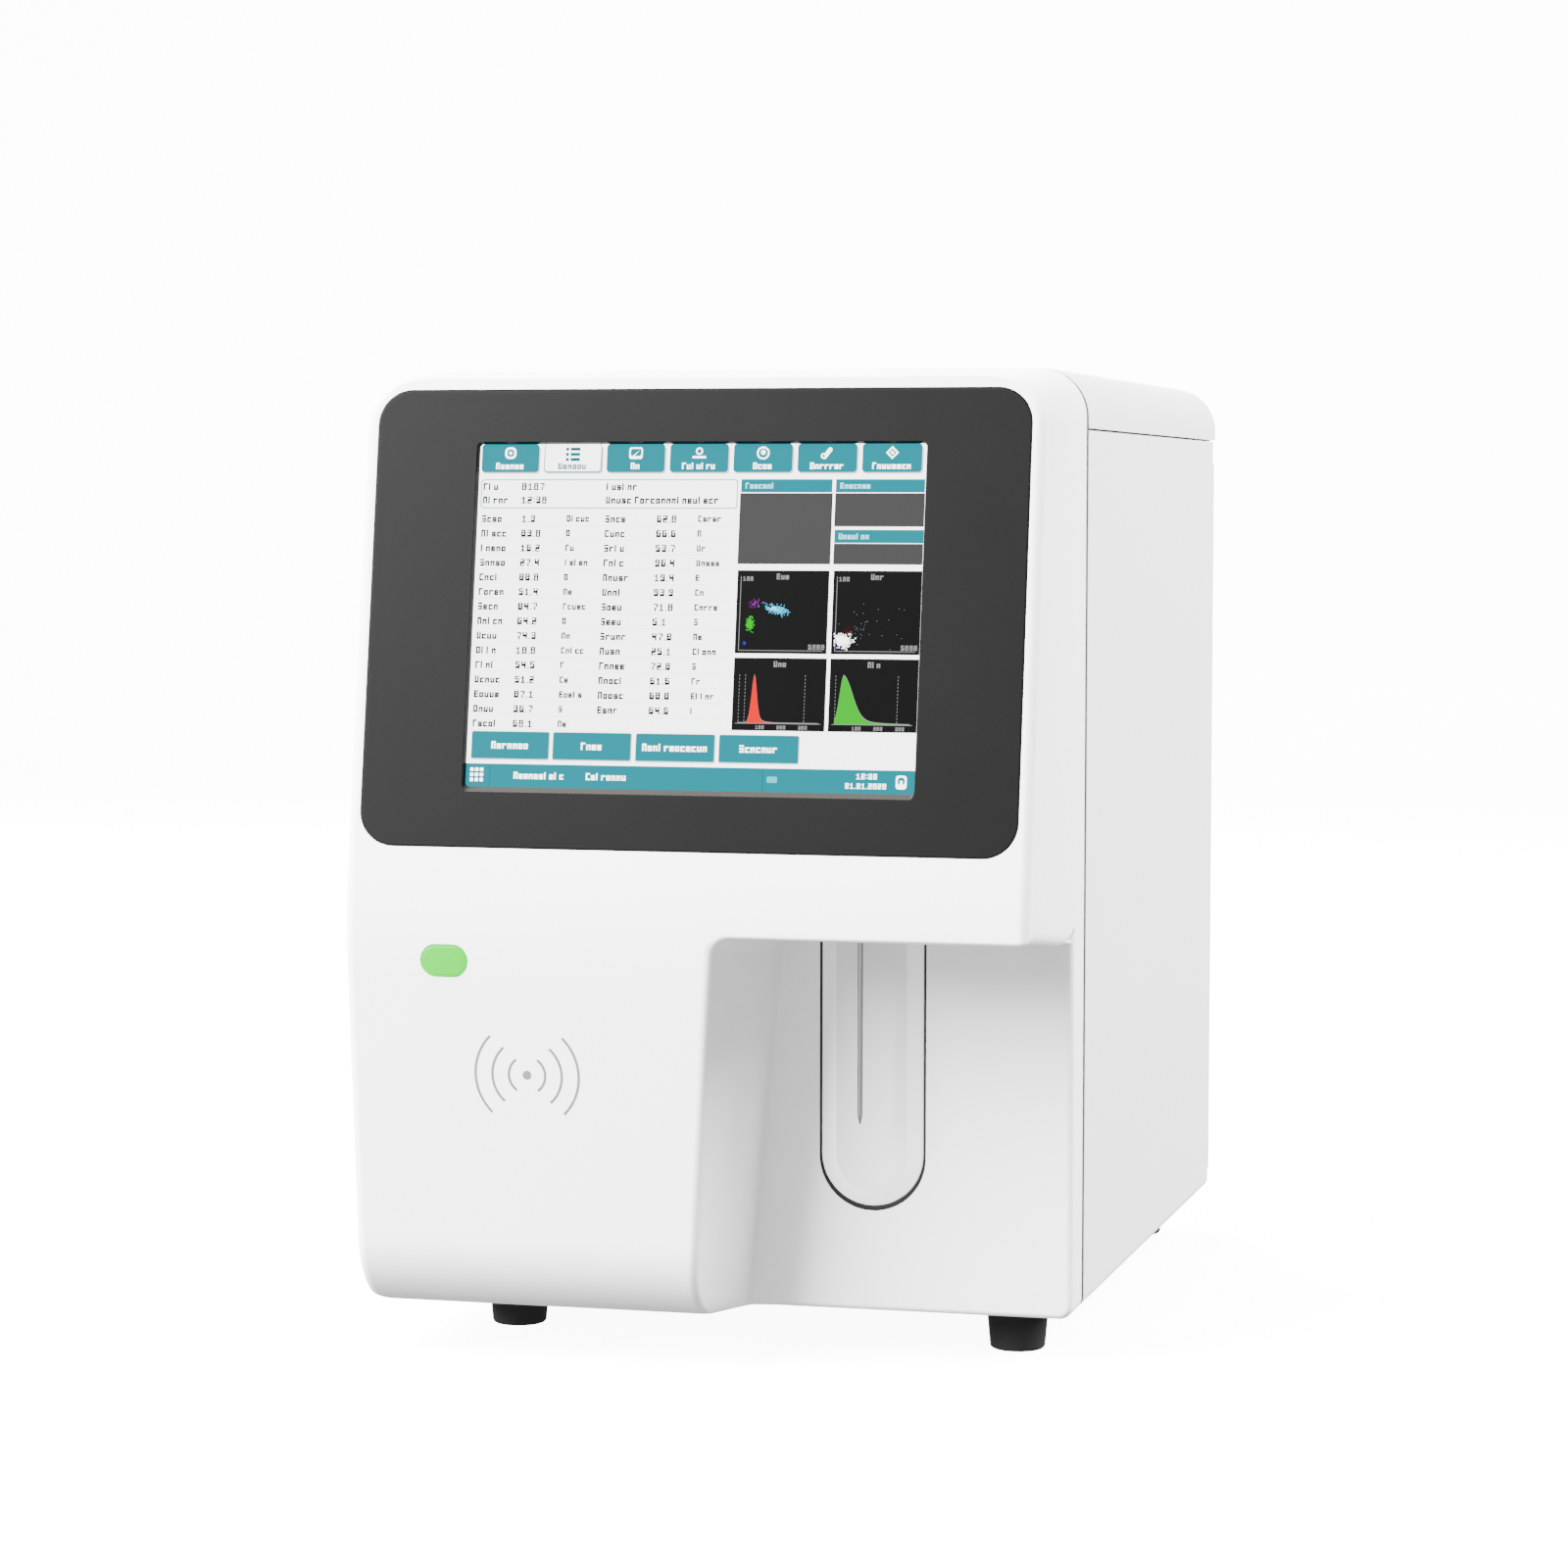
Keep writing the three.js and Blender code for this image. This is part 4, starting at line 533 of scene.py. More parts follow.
@dataclass(frozen=True)
class Finish:
    """A surface with a fine grain, a broad unevenness of gloss and a faint unevenness of tone.

    Fields are the record's slot, an sRGB colour, typical roughness and metalness, the grain's
    pitch and depth in millimetres, and by what share tone and gloss wander over patches of a
    given size.
    """

    name: str
    slot: str
    colour: str
    roughness: float = 0.45
    metallic: float = 0.0
    ior: float = 1.5
    grain: float = 0.6
    relief: float = 0.004
    patch: float = 60.0
    tone: float = 0.02
    gloss: float = 0.06
    stretch: Point = (1.0, 1.0, 1.0)
    extras: dict = field(default_factory=dict)

    def material(self) -> Material:
        """The material, made once and shared by every piece that has the finish."""
        found = bpy.data.materials.get(self.name)
        if found:
            return found
        made = bpy.data.materials.new(self.name)
        made.use_nodes = True
        shader = made.node_tree.nodes["Principled BSDF"]
        shader.inputs["Metallic"].default_value = self.metallic
        if not self.metallic:
            shader.inputs["IOR"].default_value = self.ior
        for name, value in self.extras.items():
            shader.inputs[name].default_value = value
        self.dress(made, shader)
        return made

    def spot(self, made: Material) -> Socket:
        """The place on the surface in millimetres, stretched along the grain's own direction."""
        place = add_node(made, "TexCoord", {})
        scale = tuple(1 / (MM * share) for share in self.stretch)
        return add_node(made, "Mapping", {"Scale": scale}, Vector=place.outputs["Object"]).outputs["Vector"]

    def height(self, made: Material, spot: Socket) -> Socket:
        """The grain's height: noise whose cells are as wide as the grain's pitch."""
        grain = add_node(made, "TexNoise", {"Scale": 1 / self.grain, "Detail": 2.0}, Vector=spot)
        return grain.outputs["Fac"]

    def dress(self, made: Material, shader: Node) -> None:
        """Links the tone, gloss and grain to the shader."""
        spot = self.spot(made)
        broad = add_node(made, "TexNoise", {"Scale": 1 / self.patch, "Detail": 3.0}, Vector=spot)
        self.link_tone(made, shader, broad.outputs["Fac"])
        spread = {"To Min": max(self.roughness - self.gloss, 0.02), "To Max": self.roughness + self.gloss}
        gloss = add_node(made, "MapRange", spread, Value=broad.outputs["Fac"])
        relief = {"Strength": 1.0, "Distance": self.relief * MM}
        bump = add_node(made, "Bump", relief, Height=self.height(made, spot))
        links = made.node_tree.links
        links.new(gloss.outputs["Result"], shader.inputs["Roughness"])
        links.new(bump.outputs["Normal"], shader.inputs["Normal"])

    def link_tone(self, made: Material, shader: Node, share: Socket) -> None:
        """Mixes the colour with a slightly darker one by the share."""
        self.blend(made, shader, [part * (1 - self.tone) for part in linear(self.colour)[:3]], share)

    def blend(self, made: Material, shader: Node, other: list[float], share: Socket) -> None:
        """Links the shader's colour to a mix of another colour and the finish's own."""
        ends = {"data_type": "RGBA", 6: (*other, 1.0), 7: linear(self.colour)}
        tone = add_node(made, "Mix", ends, _0=share)
        made.node_tree.links.new(tone.outputs[2], shader.inputs["Base Color"])


@dataclass(frozen=True)
class SpangledZinc(Finish):
    """Hot-dip zinc on steel sheet: crystals of a few millimetres that catch the light apart."""

    crystal: float = 9.0

    def link_tone(self, made: Material, shader: Node, share: Socket) -> None:
        """Gives each crystal its own grey from a cell pattern."""
        cells = add_node(made, "TexVoronoi", {"Scale": 1 / self.crystal}, Vector=self.spot(made))
        grey = add_node(made, "SeparateColor", {}, Color=cells.outputs["Color"])
        super().link_tone(made, shader, grey.outputs["Red"])


@dataclass(frozen=True)
class Laminate(Finish):
    """A printed board: green lacquer over raised copper tracks on a fine rectangular pitch."""

    track: float = 5.0
    wander: float = 0.35
    edge: float = 0.12

    def height(self, made: Material, spot: Socket) -> Socket:
        """The tracks: the edges of nearly square cells."""
        cells = {"feature": "DISTANCE_TO_EDGE", "distance": "EUCLIDEAN", "Scale": 1 / self.track,
                 "Randomness": self.wander}
        return add_node(made, "TexVoronoi", cells, Vector=spot).outputs["Distance"]

    def link_tone(self, made: Material, shader: Node, share: Socket) -> None:
        """Lightens the lacquer where it runs over copper."""
        edge = add_node(made, "MapRange", {"From Max": self.edge}, Value=self.height(made, self.spot(made)))
        copper = [min(part * 1.9 + 0.01, 1.0) for part in linear(self.colour)[:3]]
        self.blend(made, shader, copper, edge.outputs["Result"])


@dataclass(frozen=True)
class LitPicture(Finish):
    """A lit display: each tile of the picture keeps its own colour and shines with it."""

    layer: str = "picture"
    shine: float = 5.0

    def dress(self, made: Material, shader: Node) -> None:
        """Feeds the tile colour to both the surface and its light."""
        colour = add_node(made, "VertexColor", {"layer_name": self.layer})
        links = made.node_tree.links
        links.new(colour.outputs["Color"], shader.inputs["Emission Color"])
        product = {"data_type": "RGBA", "blend_type": "MULTIPLY", 0: 1.0, 7: linear(self.colour)}
        dim = add_node(made, "Mix", product, _6=colour.outputs["Color"])
        links.new(dim.outputs[2], shader.inputs["Base Color"])
        shader.inputs["Emission Strength"].default_value = self.shine
        shader.inputs["Roughness"].default_value = self.roughness


# Moulded ABS with a fine spark-eroded grain: the even satin white of the front cover
SHELL = Finish("moulded_abs_white", "white_shell", "#E3E3E2", 0.43,
               grain=0.5, relief=0.003, tone=0.012, gloss=0.03)
# The same ABS from another tool, a touch smoother: keeps the key apart from the wall round it
KEY_SHELL = Finish("moulded_abs_key", "white_key", "#D9D9D9", 0.36,
                   grain=0.45, relief=0.002, tone=0.01, gloss=0.03)
# The key's slanting rim: the key's ABS a touch glossier, and coloured far lighter than the pad as a painted
# highlight where light falls on the slopes
KEY_RIM_HIGHLIGHT = Finish("polished_key_rim", "white_key", "#F8F8F8", 0.3,
                 grain=0.45, relief=0.001, tone=0.006, gloss=0.02)
# Powder coat on steel: orange peel of about a millimetre gives the side its soft sheen
PAINT = Finish("powder_coated_steel", "painted_sheet", "#DDDDDC", 0.5,
               grain=1.3, relief=0.01, tone=0.015, gloss=0.04)
# Satin dark ABS of the display's front, with a soft even sheen
DARK_FRONT = Finish("satin_dark_front", "dark_bezel", "#0C0C0C", 0.42, ior=1.12,
                    grain=0.35, relief=0.0015, tone=0.05, gloss=0.05)
# The sloping ledge under the screen: the dark front's own moulding, coloured lighter on its upward faces as a
# painted highlight where light falls from above
LEDGE_HIGHLIGHT = Finish("screen_ledge", "dark_bezel", "#262422", 0.5, ior=1.15, grain=0.35, relief=0.002, tone=0.05)
# Chemically hardened glass over the picture: smooth, with a thin reflection
TOUCH_GLASS = Finish("touch_glass_edge", "touch_screen", "#20282A", 0.12,
                     grain=2.0, relief=0.0005, tone=0.05, gloss=0.02)
# The lit page behind the glass, nearly black where nothing shines
PICTURE = LitPicture("lit_picture", "touch_screen", "#0C0C0C", 0.3, ior=1.2,
                     extras={"Specular IOR Level": 0.1})
# Frosted polycarbonate lit from behind by green diodes: soft glow, no hard highlight
LENS = Finish("frosted_green_lens", "green_lens", "#053F03", 0.42, ior=1.2,
              grain=0.4, relief=0.003, tone=0.04,
              extras={"Emission Color": linear("#10B40E"), "Emission Strength": 4.0,
                      "Subsurface Weight": 0.3, "Subsurface Radius": (0.002, 0.004, 0.002)})
# Pad-printed grey ink: nearly flat on the white shell
INK = Finish("printed_grey_ink", "white_shell", "#5A5A5A", 0.6, grain=0.3, relief=0.001, tone=0.02)
# Zinc-coated steel sheet of brackets and chassis
ZINC = SpangledZinc("zinc_coated_sheet", "zinc_sheet", "#BABEC2", 0.42, 1.0,
                    grain=2.5, relief=0.004, tone=0.28, gloss=0.08)
# Stainless steel ground along its length: fine lines that stretch the highlight
STEEL = Finish("ground_stainless", "bright_steel", "#8F9194", 0.3, 1.0,
               grain=0.25, relief=0.002, tone=0.06, stretch=(1, 1, 24))
# The needle's steel: polished with fine grit, dark where it mirrors the recess
NEEDLE = Finish("polished_needle_steel", "bright_steel", "#8A8C8E", 0.22, 1.0,
                grain=0.2, relief=0.001, tone=0.08, stretch=(1, 1, 30))
# Thin gold plating on spring contacts
GOLD = Finish("gold_plated_contact", "turned_aluminium", "#D2A648", 0.22, 1.0,
              grain=0.5, relief=0.001, tone=0.05)
# White paint pressed into the rocker's marks
MARK = Finish("white_mark_paint", "white_key", "#C9C9C7", 0.55, grain=0.4, relief=0.002, tone=0.02)
# Aluminium turned on a lathe, clear anodised: faint rings, soft shine
ALUMINIUM = Finish("turned_aluminium", "turned_aluminium", "#C9CCD0", 0.3, 1.0,
                   grain=0.3, relief=0.003, tone=0.06, stretch=(12, 1, 12))
# Glass-filled polyamide and ABS of motors, sockets and switches
BLACK = Finish("moulded_black", "black_plastic", "#1D1D1F", 0.48, grain=0.6, relief=0.006, tone=0.12)
# Smooth grey polypropylene of valves and ports
GREY = Finish("moulded_grey", "grey_plastic", "#9A9DA0", 0.5, grain=0.7, relief=0.004, tone=0.05)
# Moulded nitrile rubber, dulled by a dusty bloom: the feet drink the light
RUBBER = Finish("black_nitrile_rubber", "black_rubber", "#1F1F1F", 0.78, ior=1.2,
                grain=0.7, relief=0.012, tone=0.15, patch=9.0)
# Machined and polished acrylic: clear with a faint blue, tool marks just visible
ACRYLIC = Finish("polished_acrylic", "clear_acrylic", "#E4EEF2", 0.09, ior=1.49,
                 grain=1.2, relief=0.002, tone=0.02, gloss=0.04,
                 extras={"Transmission Weight": 0.92})
# Glass-fibre board under green solder lacquer
BOARD = Laminate("green_circuit_board", "circuit_board", "#1B6340", 0.42, grain=1.0, relief=0.035, tone=0.1)
# Milky silicone hose: half clear, softly shiny
SILICONE = Finish("silicone_hose", "clear_acrylic", "#DFE3E4", 0.35, ior=1.41,
                  grain=1.0, relief=0.003, tone=0.04,
                  extras={"Transmission Weight": 0.45})
# A foam strip pressed into the seam, its dark grey a painted shade that stands for the shadow in the groove
# between the two shells
SEAM_SHADE = Finish("grey_foam_gasket", "black_rubber", "#343434", 0.85, grain=0.4, relief=0.01, tone=0.05)
# Studio floor paper, lit from below as well so that it stays near white round the shadow
PAPER = Finish("studio_paper", "", "#F7F7F7", 0.9, grain=3.0, relief=0.0, tone=0.0,
               extras={"Emission Color": linear("#FFFFFF"), "Emission Strength": 10.0})


def present(piece: Object, finish: Finish, *nodes: str, body: str = "chassis", weigh: bool = True,
            slot: str = "") -> Object:
    """Finishes a piece: its material, the body it rides on, and the nodes it stands for.

    Args:
        piece: the object, at the origin with its place in its mesh.
        finish: the finish of its main faces.
        nodes: the chassis nodes that it replaces.
        body: the moving body that carries it.
        weigh: whether large faces set the shading of their corners.
        slot: not used; the record's material slot, where it isn't the finish's own.

    Returns:
        The piece.
    """
    slot = slot or finish.slot
    if not piece.data.materials:
        piece.data.materials.append(finish.material())
    if weigh:
        weighted = piece.modifiers.new("weigh", "WEIGHTED_NORMAL")
        weighted.keep_sharp = True
        weighted.weight = 60
    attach(piece, body)
    if nodes:
        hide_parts(*nodes)
    log.info("%s rides on %s", piece.name, body)
    return piece


def two_finishes(mesh: Mesh, main: Finish, other: Finish, chosen: Array) -> None:
    """Gives a mesh one finish, and the chosen faces another.

    Args:
        mesh: the mesh that takes them.
        main: the finish of most faces.
        other: the finish of the chosen ones.
        chosen: for each face, whether it is chosen.
    """
    for finish in (main, other):
        mesh.materials.append(finish.material())
    mesh.polygons.foreach_set("material_index", chosen.astype(np.int32))


def put(name: str, shape: Shape | list[Shape], finish: Finish, *nodes: str, smooth: float = SHARP,
        **how: str | bool) -> Object:
    """Makes a piece of one shape, or of several side by side, and presents it.

    Args:
        name: the piece's name.
        shape: its shape, or a list of them.
        finish: the finish of its faces.
        nodes: the chassis nodes that it replaces.
        smooth: the angle in degrees above which an edge stays sharp.
        how: what present takes besides, such as the body.

    Returns:
        The piece.
    """
    if isinstance(shape, list):
        shape = shape[0].joined(*shape[1:])
    return present(add_mesh(name, shape, smooth), finish, *nodes, **how)


def dress(node: str, finish: Finish, width: float, body: str = "chassis") -> Object:
    """Puts a softened copy of a chassis node in its place, in a finish of its own."""
    return present(refined(node, width), finish, node, body=body)


# Front cover

@dataclass
class FrontCover:
    """The white moulded front: a leaning display housing over a belly, with a recess at its right."""

    width: float = BODY_WIDTH
    height: float = BODY_HEIGHT
    top_radius: float = TOP_CORNER
    bottom_radius: float = BOTTOM_CORNER
    belly_depth: float = 103.5
    belly_height: float = 178.0
    belly_radius: float = 225.0
    display_lean: float = DISPLAY_LEAN
    lower_lean: float = math.radians(5.5)
    toe_radius: float = 38.0
    slope_share: float = 0.085
    slope_height: float = 380.0
    wall: float = 3.0
    display_wall: float = 7.0
    display_wall_height: float = 203.0
    display_wall_rise: float = 3.0
    slab_depth: float = 28.0
    flare: float = 6.0
    edge: float = 5.0
    rear: float = -1.0
    recess_height: float = 180.0
    recess_fillet: float = 8.5
    leg_edge: float = 3.5
    ceiling_edge: float = 2.0
    crease: float = 1.6
    crease_foot: float = 13.4
    crease_share: float = 0.0922
    leg_foot: float = 1.4
    leg_share: float = 0.0765
    overhang_edge: float = 7.0
    slab_edge: float = 3.0
    probe_hole: float = 7.0
    ceiling_fall: float = 8.1
    curl_start: float = 0.76
    curl_rise: float = 2.7
    tuck: float = 1.4
    tuck_depth: float = 5.0
    clear_of: float = 12.0
    behind_edge: float = 0.3
    corner_blend: float = 1.6
    level_gap: float = 0.12
    seal: Range = (0.25, 3.3)
    steps: int = 14
    room_shares: tuple[float, ...] = (0.3, 0.5, 0.68, 0.76, 0.8, 0.84, 0.88, 0.92, 0.95, 0.975)

    def __post_init__(self) -> None:
        """Works out where the side profile's arcs meet its straight parts."""
        self.half = self.width / 2
        self.belly_top = self.belly_height + self.belly_radius * math.sin(self.display_lean)
        self.belly_low = self.belly_height - self.belly_radius * math.sin(self.lower_lean)
        self.toe_top = self.toe_radius * (1 - math.sin(self.lower_lean))
        self.top_y = self.belly_radius * (1 - math.cos(self.display_lean)) - self.belly_depth
        self.low_y = self.belly_radius * (1 - math.cos(self.lower_lean)) - self.belly_depth
        self.toe_y = self.low_y + (self.belly_low - self.toe_top) * math.tan(self.lower_lean)

    def front(self, z: Array | float) -> Array:
        """Depth of the front face: leaning screen plane, belly arc, lower plane, toe arc."""
        z = np.asarray(z, float)
        belly = np.sqrt(np.maximum(self.belly_radius**2 - (z - self.belly_height) ** 2, 0))
        toe = np.sqrt(np.maximum(self.toe_radius**2 - (self.toe_radius - np.maximum(z, 0)) ** 2, 0))
        screen = self.top_y + (z - self.belly_top) * math.tan(self.display_lean)
        lower = self.toe_y - (z - self.toe_top) * math.tan(self.lower_lean)
        toe_centre = self.toe_y + self.toe_radius * math.cos(self.lower_lean)
        zones = [z > self.belly_top, z > self.belly_low, z > self.toe_top]
        depths = [screen, self.belly_radius - self.belly_depth - belly, lower]
        return np.select(zones, depths, toe_centre - toe)

    def half_at(self, z: Array, wall: float) -> Array:
        """Half the width at a height: a circle's chord where the corners are round.

        Args:
            z: the heights.
            wall: how far inside the outer face it is measured.

        Returns:
            Half the width at each height.
        """
        upper = np.maximum(z - (self.height - self.top_radius), 0)
        lower = np.maximum(self.bottom_radius - z, 0)
        radius = np.where(upper > 0, self.top_radius, self.bottom_radius)
        rise = np.maximum(upper, lower)
        chord = self.half - radius + np.sqrt(np.maximum((radius - wall) ** 2 - rise**2, 0))
        return np.where(rise > 0, chord, self.half - wall)

    def levels(self, wall: float) -> Array:
        """The heights of the rings, closest together on the arcs."""
        share = np.linspace(0, 1, self.steps + 1)
        turn = QUARTER * share
        straight = self.height - self.top_radius - self.slope_height
        rows = np.concatenate([
            self.bottom_radius - (self.bottom_radius - wall) * np.cos(turn),
            self.height - self.top_radius + (self.top_radius - wall) * np.sin(turn),
            self.toe_radius * (1 - np.cos(turn)),
            self.belly_low + (self.belly_top - self.belly_low) * share,
            self.slope_height + straight * share,
            [self.belly_height, self.display_wall_height, self.display_wall_height + self.display_wall_rise],
        ])
        rows = np.sort(rows[(rows >= wall) & (rows <= self.height - wall)])
        return rows[np.concatenate([[True], np.diff(rows) > self.level_gap])]

    def blank(self, wall: float, rear: float) -> Shape:
        """The cover before its cuts, or its inside: one closed ring at each height.

        A ring runs up one side straight by the slab, in along a flare that grows with the square
        of its share, round a quarter circle, and back mirrored. Near the top each ring is sheared
        so that the top face falls towards the front.

        Args:
            wall: how far inside the outer face the skin lies.
            rear: where the rings end at the back.
        """
        z = self.levels(wall)[:, None]
        drop = self.slope_share * np.maximum((z - self.slope_height) / (self.height - self.slope_height), 0)
        thick = np.where((z > self.display_wall_height) & (wall > 0), self.display_wall, wall)
        front = self.front(z + drop * self.front(z)) + thick
        edge = max(self.edge - wall, 0.3)
        half = self.half_at(z, wall)
        share = np.linspace(0, 1, self.steps, endpoint=False)[None]
        turn = np.linspace(0, QUARTER, self.steps)[None]
        flare_y = -self.slab_depth + (front + edge + self.slab_depth) * share
        x = np.hstack([half, half - self.flare * share**2, half - self.flare - edge + edge * np.cos(turn)])
        y = np.hstack([np.full_like(z, rear), flare_y, front + edge - edge * np.sin(turn)])
        x, y = np.hstack([x, -x[:, ::-1]]), np.hstack([y, y[:, ::-1]])
        return loft(np.stack([x, y, z + drop * y], -1))

    def fall(self, share: Array | float) -> Array:
        """How far the overhang's underside has come down at a share of the way back to the slab.

        It falls evenly, and over the last stretch rises again along a quarter of an ellipse.
        """
        share = np.clip(share, 0, 1)
        last = np.maximum(share - self.curl_start, 0) / (1 - self.curl_start)
        rise = self.curl_rise * (1 - np.sqrt(1 - last**2))
        return self.ceiling_fall * np.minimum(share, self.curl_start) - rise

    def room(self, grown: float) -> Shape:
        """The recess as a cutter, drawn as outlines in x and z from the front to the slab.

        Each outline climbs the leg's slanted wall, turns through a fillet into the ceiling and
        closes far outside. Near the front it grows by an edge's rounding, radius less the root of
        radius squared less depth squared, and near the slab it shrinks by the crease's.

        Args:
            grown: how far the outline lies outside the recess, for the cover's inside.
        """
        turn = np.linspace(0, QUARTER, self.steps)
        top = self.recess_height - self.recess_fillet
        climb = np.concatenate([[-OVERRUN], self.levels(0)[self.levels(0) < top - 0.3]])
        rise = np.concatenate([climb, top + self.recess_fillet * np.sin(turn)])
        lean = np.concatenate([np.zeros(len(climb)), turn])
        fillet = np.where(rise > top, self.recess_fillet * (1 - np.cos(lean)), 0)
        z = np.maximum(rise, 0)
        face = self.front(z)
        edge = self.leg_edge + (self.ceiling_edge - self.leg_edge) * lean / QUARTER
        back = grown - self.slab_depth
        rows = [(np.full_like(z, -self.belly_depth - OVERRUN), edge)]
        for share in np.linspace(0, 1, 9):
            depth = edge * share
            rows.append((face + depth, edge - np.sqrt(edge**2 - (edge - depth) ** 2)))
        for share in self.room_shares:
            rows.append((face + (back - self.crease - face) * share, np.zeros_like(z)))
        for share in np.linspace(1, 0, 6):
            near = self.crease * share
            pinch = self.crease - math.sqrt(self.crease**2 - (self.crease - near) ** 2)
            rows.append((np.full_like(z, back - near), np.full_like(z, -pinch)))
        y, swell = (np.array(part) for part in zip(*rows))
        deep = (np.maximum(y, face) + self.slab_depth) / (face + self.slab_depth)
        crease = self.crease_foot + self.crease_share * z
        wall = crease + (self.leg_foot + self.leg_share * z - crease) * deep + fillet
        x = wall - grown - swell * np.cos(lean)
        fallen = rise * (1 - self.fall(1 - deep) / self.recess_height)
        height = np.where(rise > 0, fallen + grown, rise) + swell * np.sin(lean)
        far = np.full((len(y), 1), self.half + OVERRUN)
        low = np.full((len(y), 1), -OVERRUN)
        x = np.hstack([x, far, far])
        height = np.hstack([height, height[:, -1:], low])
        y = np.hstack([y, y[:, -1:], y[:, :1]])
        return loft(np.stack([x, y, height], -1))

    def rounding(self, path: Array, out: Array, into: Array, radius: Array) -> Shape:
        """What rounds an edge: a square corner with a quarter circle left standing, along a path.

        Args:
            path: points along the sharp edge.
            out: at each point, the way out of the side face.
            into: the way from the cut face into the material.
            radius: the edge's radius at each point.
        """
        turn = np.linspace(0, QUARTER, 10)[None]
        r = radius[:, None]
        lift, over = np.full_like(r, -self.behind_edge), np.full_like(r, self.clear_of)
        a = np.hstack([-r, over, over, r * np.cos(turn) - r])
        b = np.hstack([lift, lift, r, r - r * np.sin(turn)])
        return loft(path[:, None] + out[:, None] * a[..., None] + into * b[..., None])

    def overhang_rounding(self) -> Shape:
        """Rounds the overhang's lower edge: along the front, round the corner and back to the slab."""
        front = float(self.front(self.recess_height))
        share = np.linspace(1, 0, self.steps)
        turn = np.linspace(QUARTER, 0, self.steps, endpoint=False)
        inner = self.half - self.flare - self.edge
        reach = self.slab_depth + front + self.edge
        lead = np.linspace(0, inner - 2.0, 8)[4:]
        x = np.concatenate([lead, inner + self.edge * np.cos(turn), self.half - self.flare * share**2])
        y = np.concatenate([np.full(len(lead), front), front + self.edge - self.edge * np.sin(turn),
                            -self.slab_depth + reach * share])
        back = 1 - (y + self.slab_depth) / (front + self.slab_depth)
        path = np.stack([x, y, self.recess_height - self.fall(back)], -1)
        along = unit(np.gradient(path * [1, 1, 0], axis=0))
        out = np.stack([along[:, 1], -along[:, 0], np.zeros(len(x))], -1)
        blend = np.clip((y - front) / (self.edge * self.corner_blend), 0, 1)
        radius = self.ceiling_edge + (self.overhang_edge - self.ceiling_edge) * blend**2 * (3 - 2 * blend)
        return self.rounding(path, out, np.array([0, 0, 1.0]), radius)

    def slab_rounding(self) -> Shape:
        """Rounds the slab's front edge down its right side and along its underside.

        The radius fades over the last stretch before the leg, where the edge runs into the crease.
        """
        r = self.bottom_radius
        halfway, fade_start, fade_end, faded = 60, 12, 1.0, 0.6
        low = arc((self.half - r, r), r, 0, -90, self.steps)
        foot = np.array([[self.crease_foot + fade_start, 0], [self.crease_foot + fade_end, 0]])
        line = np.vstack([[self.half, self.recess_height], [self.half, halfway], low, foot])
        path = standing(line, -self.slab_depth)
        along = unit(np.gradient(path, axis=0))
        out = np.stack([-along[:, 2], np.zeros(len(path)), along[:, 0]], -1)
        radius = np.full(len(path), self.slab_edge)
        radius[-1] = faded
        return self.rounding(path, out, np.array([0, 1.0, 0]), radius)

    def seam_outline(self, inwards: float) -> Array:
        """The body's front outline: round corners, tighter at the bottom than at the top."""
        right, top = self.half - inwards, self.height - inwards
        low_r, top_r = self.bottom_radius - inwards, self.top_radius - inwards
        return np.vstack([
            arc((right - low_r, inwards + low_r), low_r, -90, 0, 10),
            arc((right - top_r, top - top_r), top_r, 0, 90, 18),
            arc((top_r - right, top - top_r), top_r, 90, 180, 18),
            arc((low_r - right, inwards + low_r), low_r, 180, 270, 10)])

    def seam_rounding(self) -> Shape:
        """Draws the cover's rear edge in all round: its inset grows with the square of its share."""
        loop = self.seam_outline(0)
        out = loop - inset(loop, 1.0)
        share = np.linspace(0, 1, 8)
        outside, behind = 9.0, 1.5
        across = np.concatenate([[outside, outside], -self.tuck * share**2, [-self.tuck]])
        depth = np.concatenate([[behind, -self.tuck_depth], -self.tuck_depth * (1 - share), [behind]])
        return tube(np.stack([standing(loop + out * a, self.rear + d) for a, d in zip(across, depth)]))

    def gasket(self) -> None:
        """The strip that fills the seam, a little inside the body's outline, coloured dark grey as painted
        shade of the groove.
        """
        outer, inner = (self.seam_outline(inwards) for inwards in self.seal)
        strip = holed_plate(outer, inner, self.rear + 0.1, -self.rear - 0.1, 0.3)
        put("seam_gasket", strip, SEAM_SHADE, weigh=False)

    def build(self, display: "Display", lens: "StatusLight", key: "AspirateKey", probe: Range) -> None:
        """Cuts the recess, pocket, window and holes, and dresses the cover.

        Args:
            display: what the pocket and the window are cut for.
            lens: the status light, whose hole is cut in the belly.
            key: the press key, whose hole is cut in the slab.
            probe: where the needle passes through the overhang, in x and y.
        """
        inside = carve(add_mesh("front_cover_inside", self.blank(self.wall, OVERRUN)), [self.room(self.wall)])
        cover = carve(add_mesh("front_cover_shell", self.blank(0, self.rear)), [
            inside, self.room(0), self.overhang_rounding(), self.slab_rounding(), self.seam_rounding(),
            display.pocket(), display.window(),
            plate(lens.outline(lens.play), -self.belly_depth - OVERRUN, -self.belly_depth + OVERRUN, 0.1),
            plate(key.outline(0, 0), -self.slab_depth - OVERRUN, self.rear - 0.7, 0.1),
            rod(self.probe_hole, about(self.recess_height, OVERRUN), Axis.Z, (*probe, 0))])
        self.gasket()
        present(cover, SHELL, "front_cover")


# Display

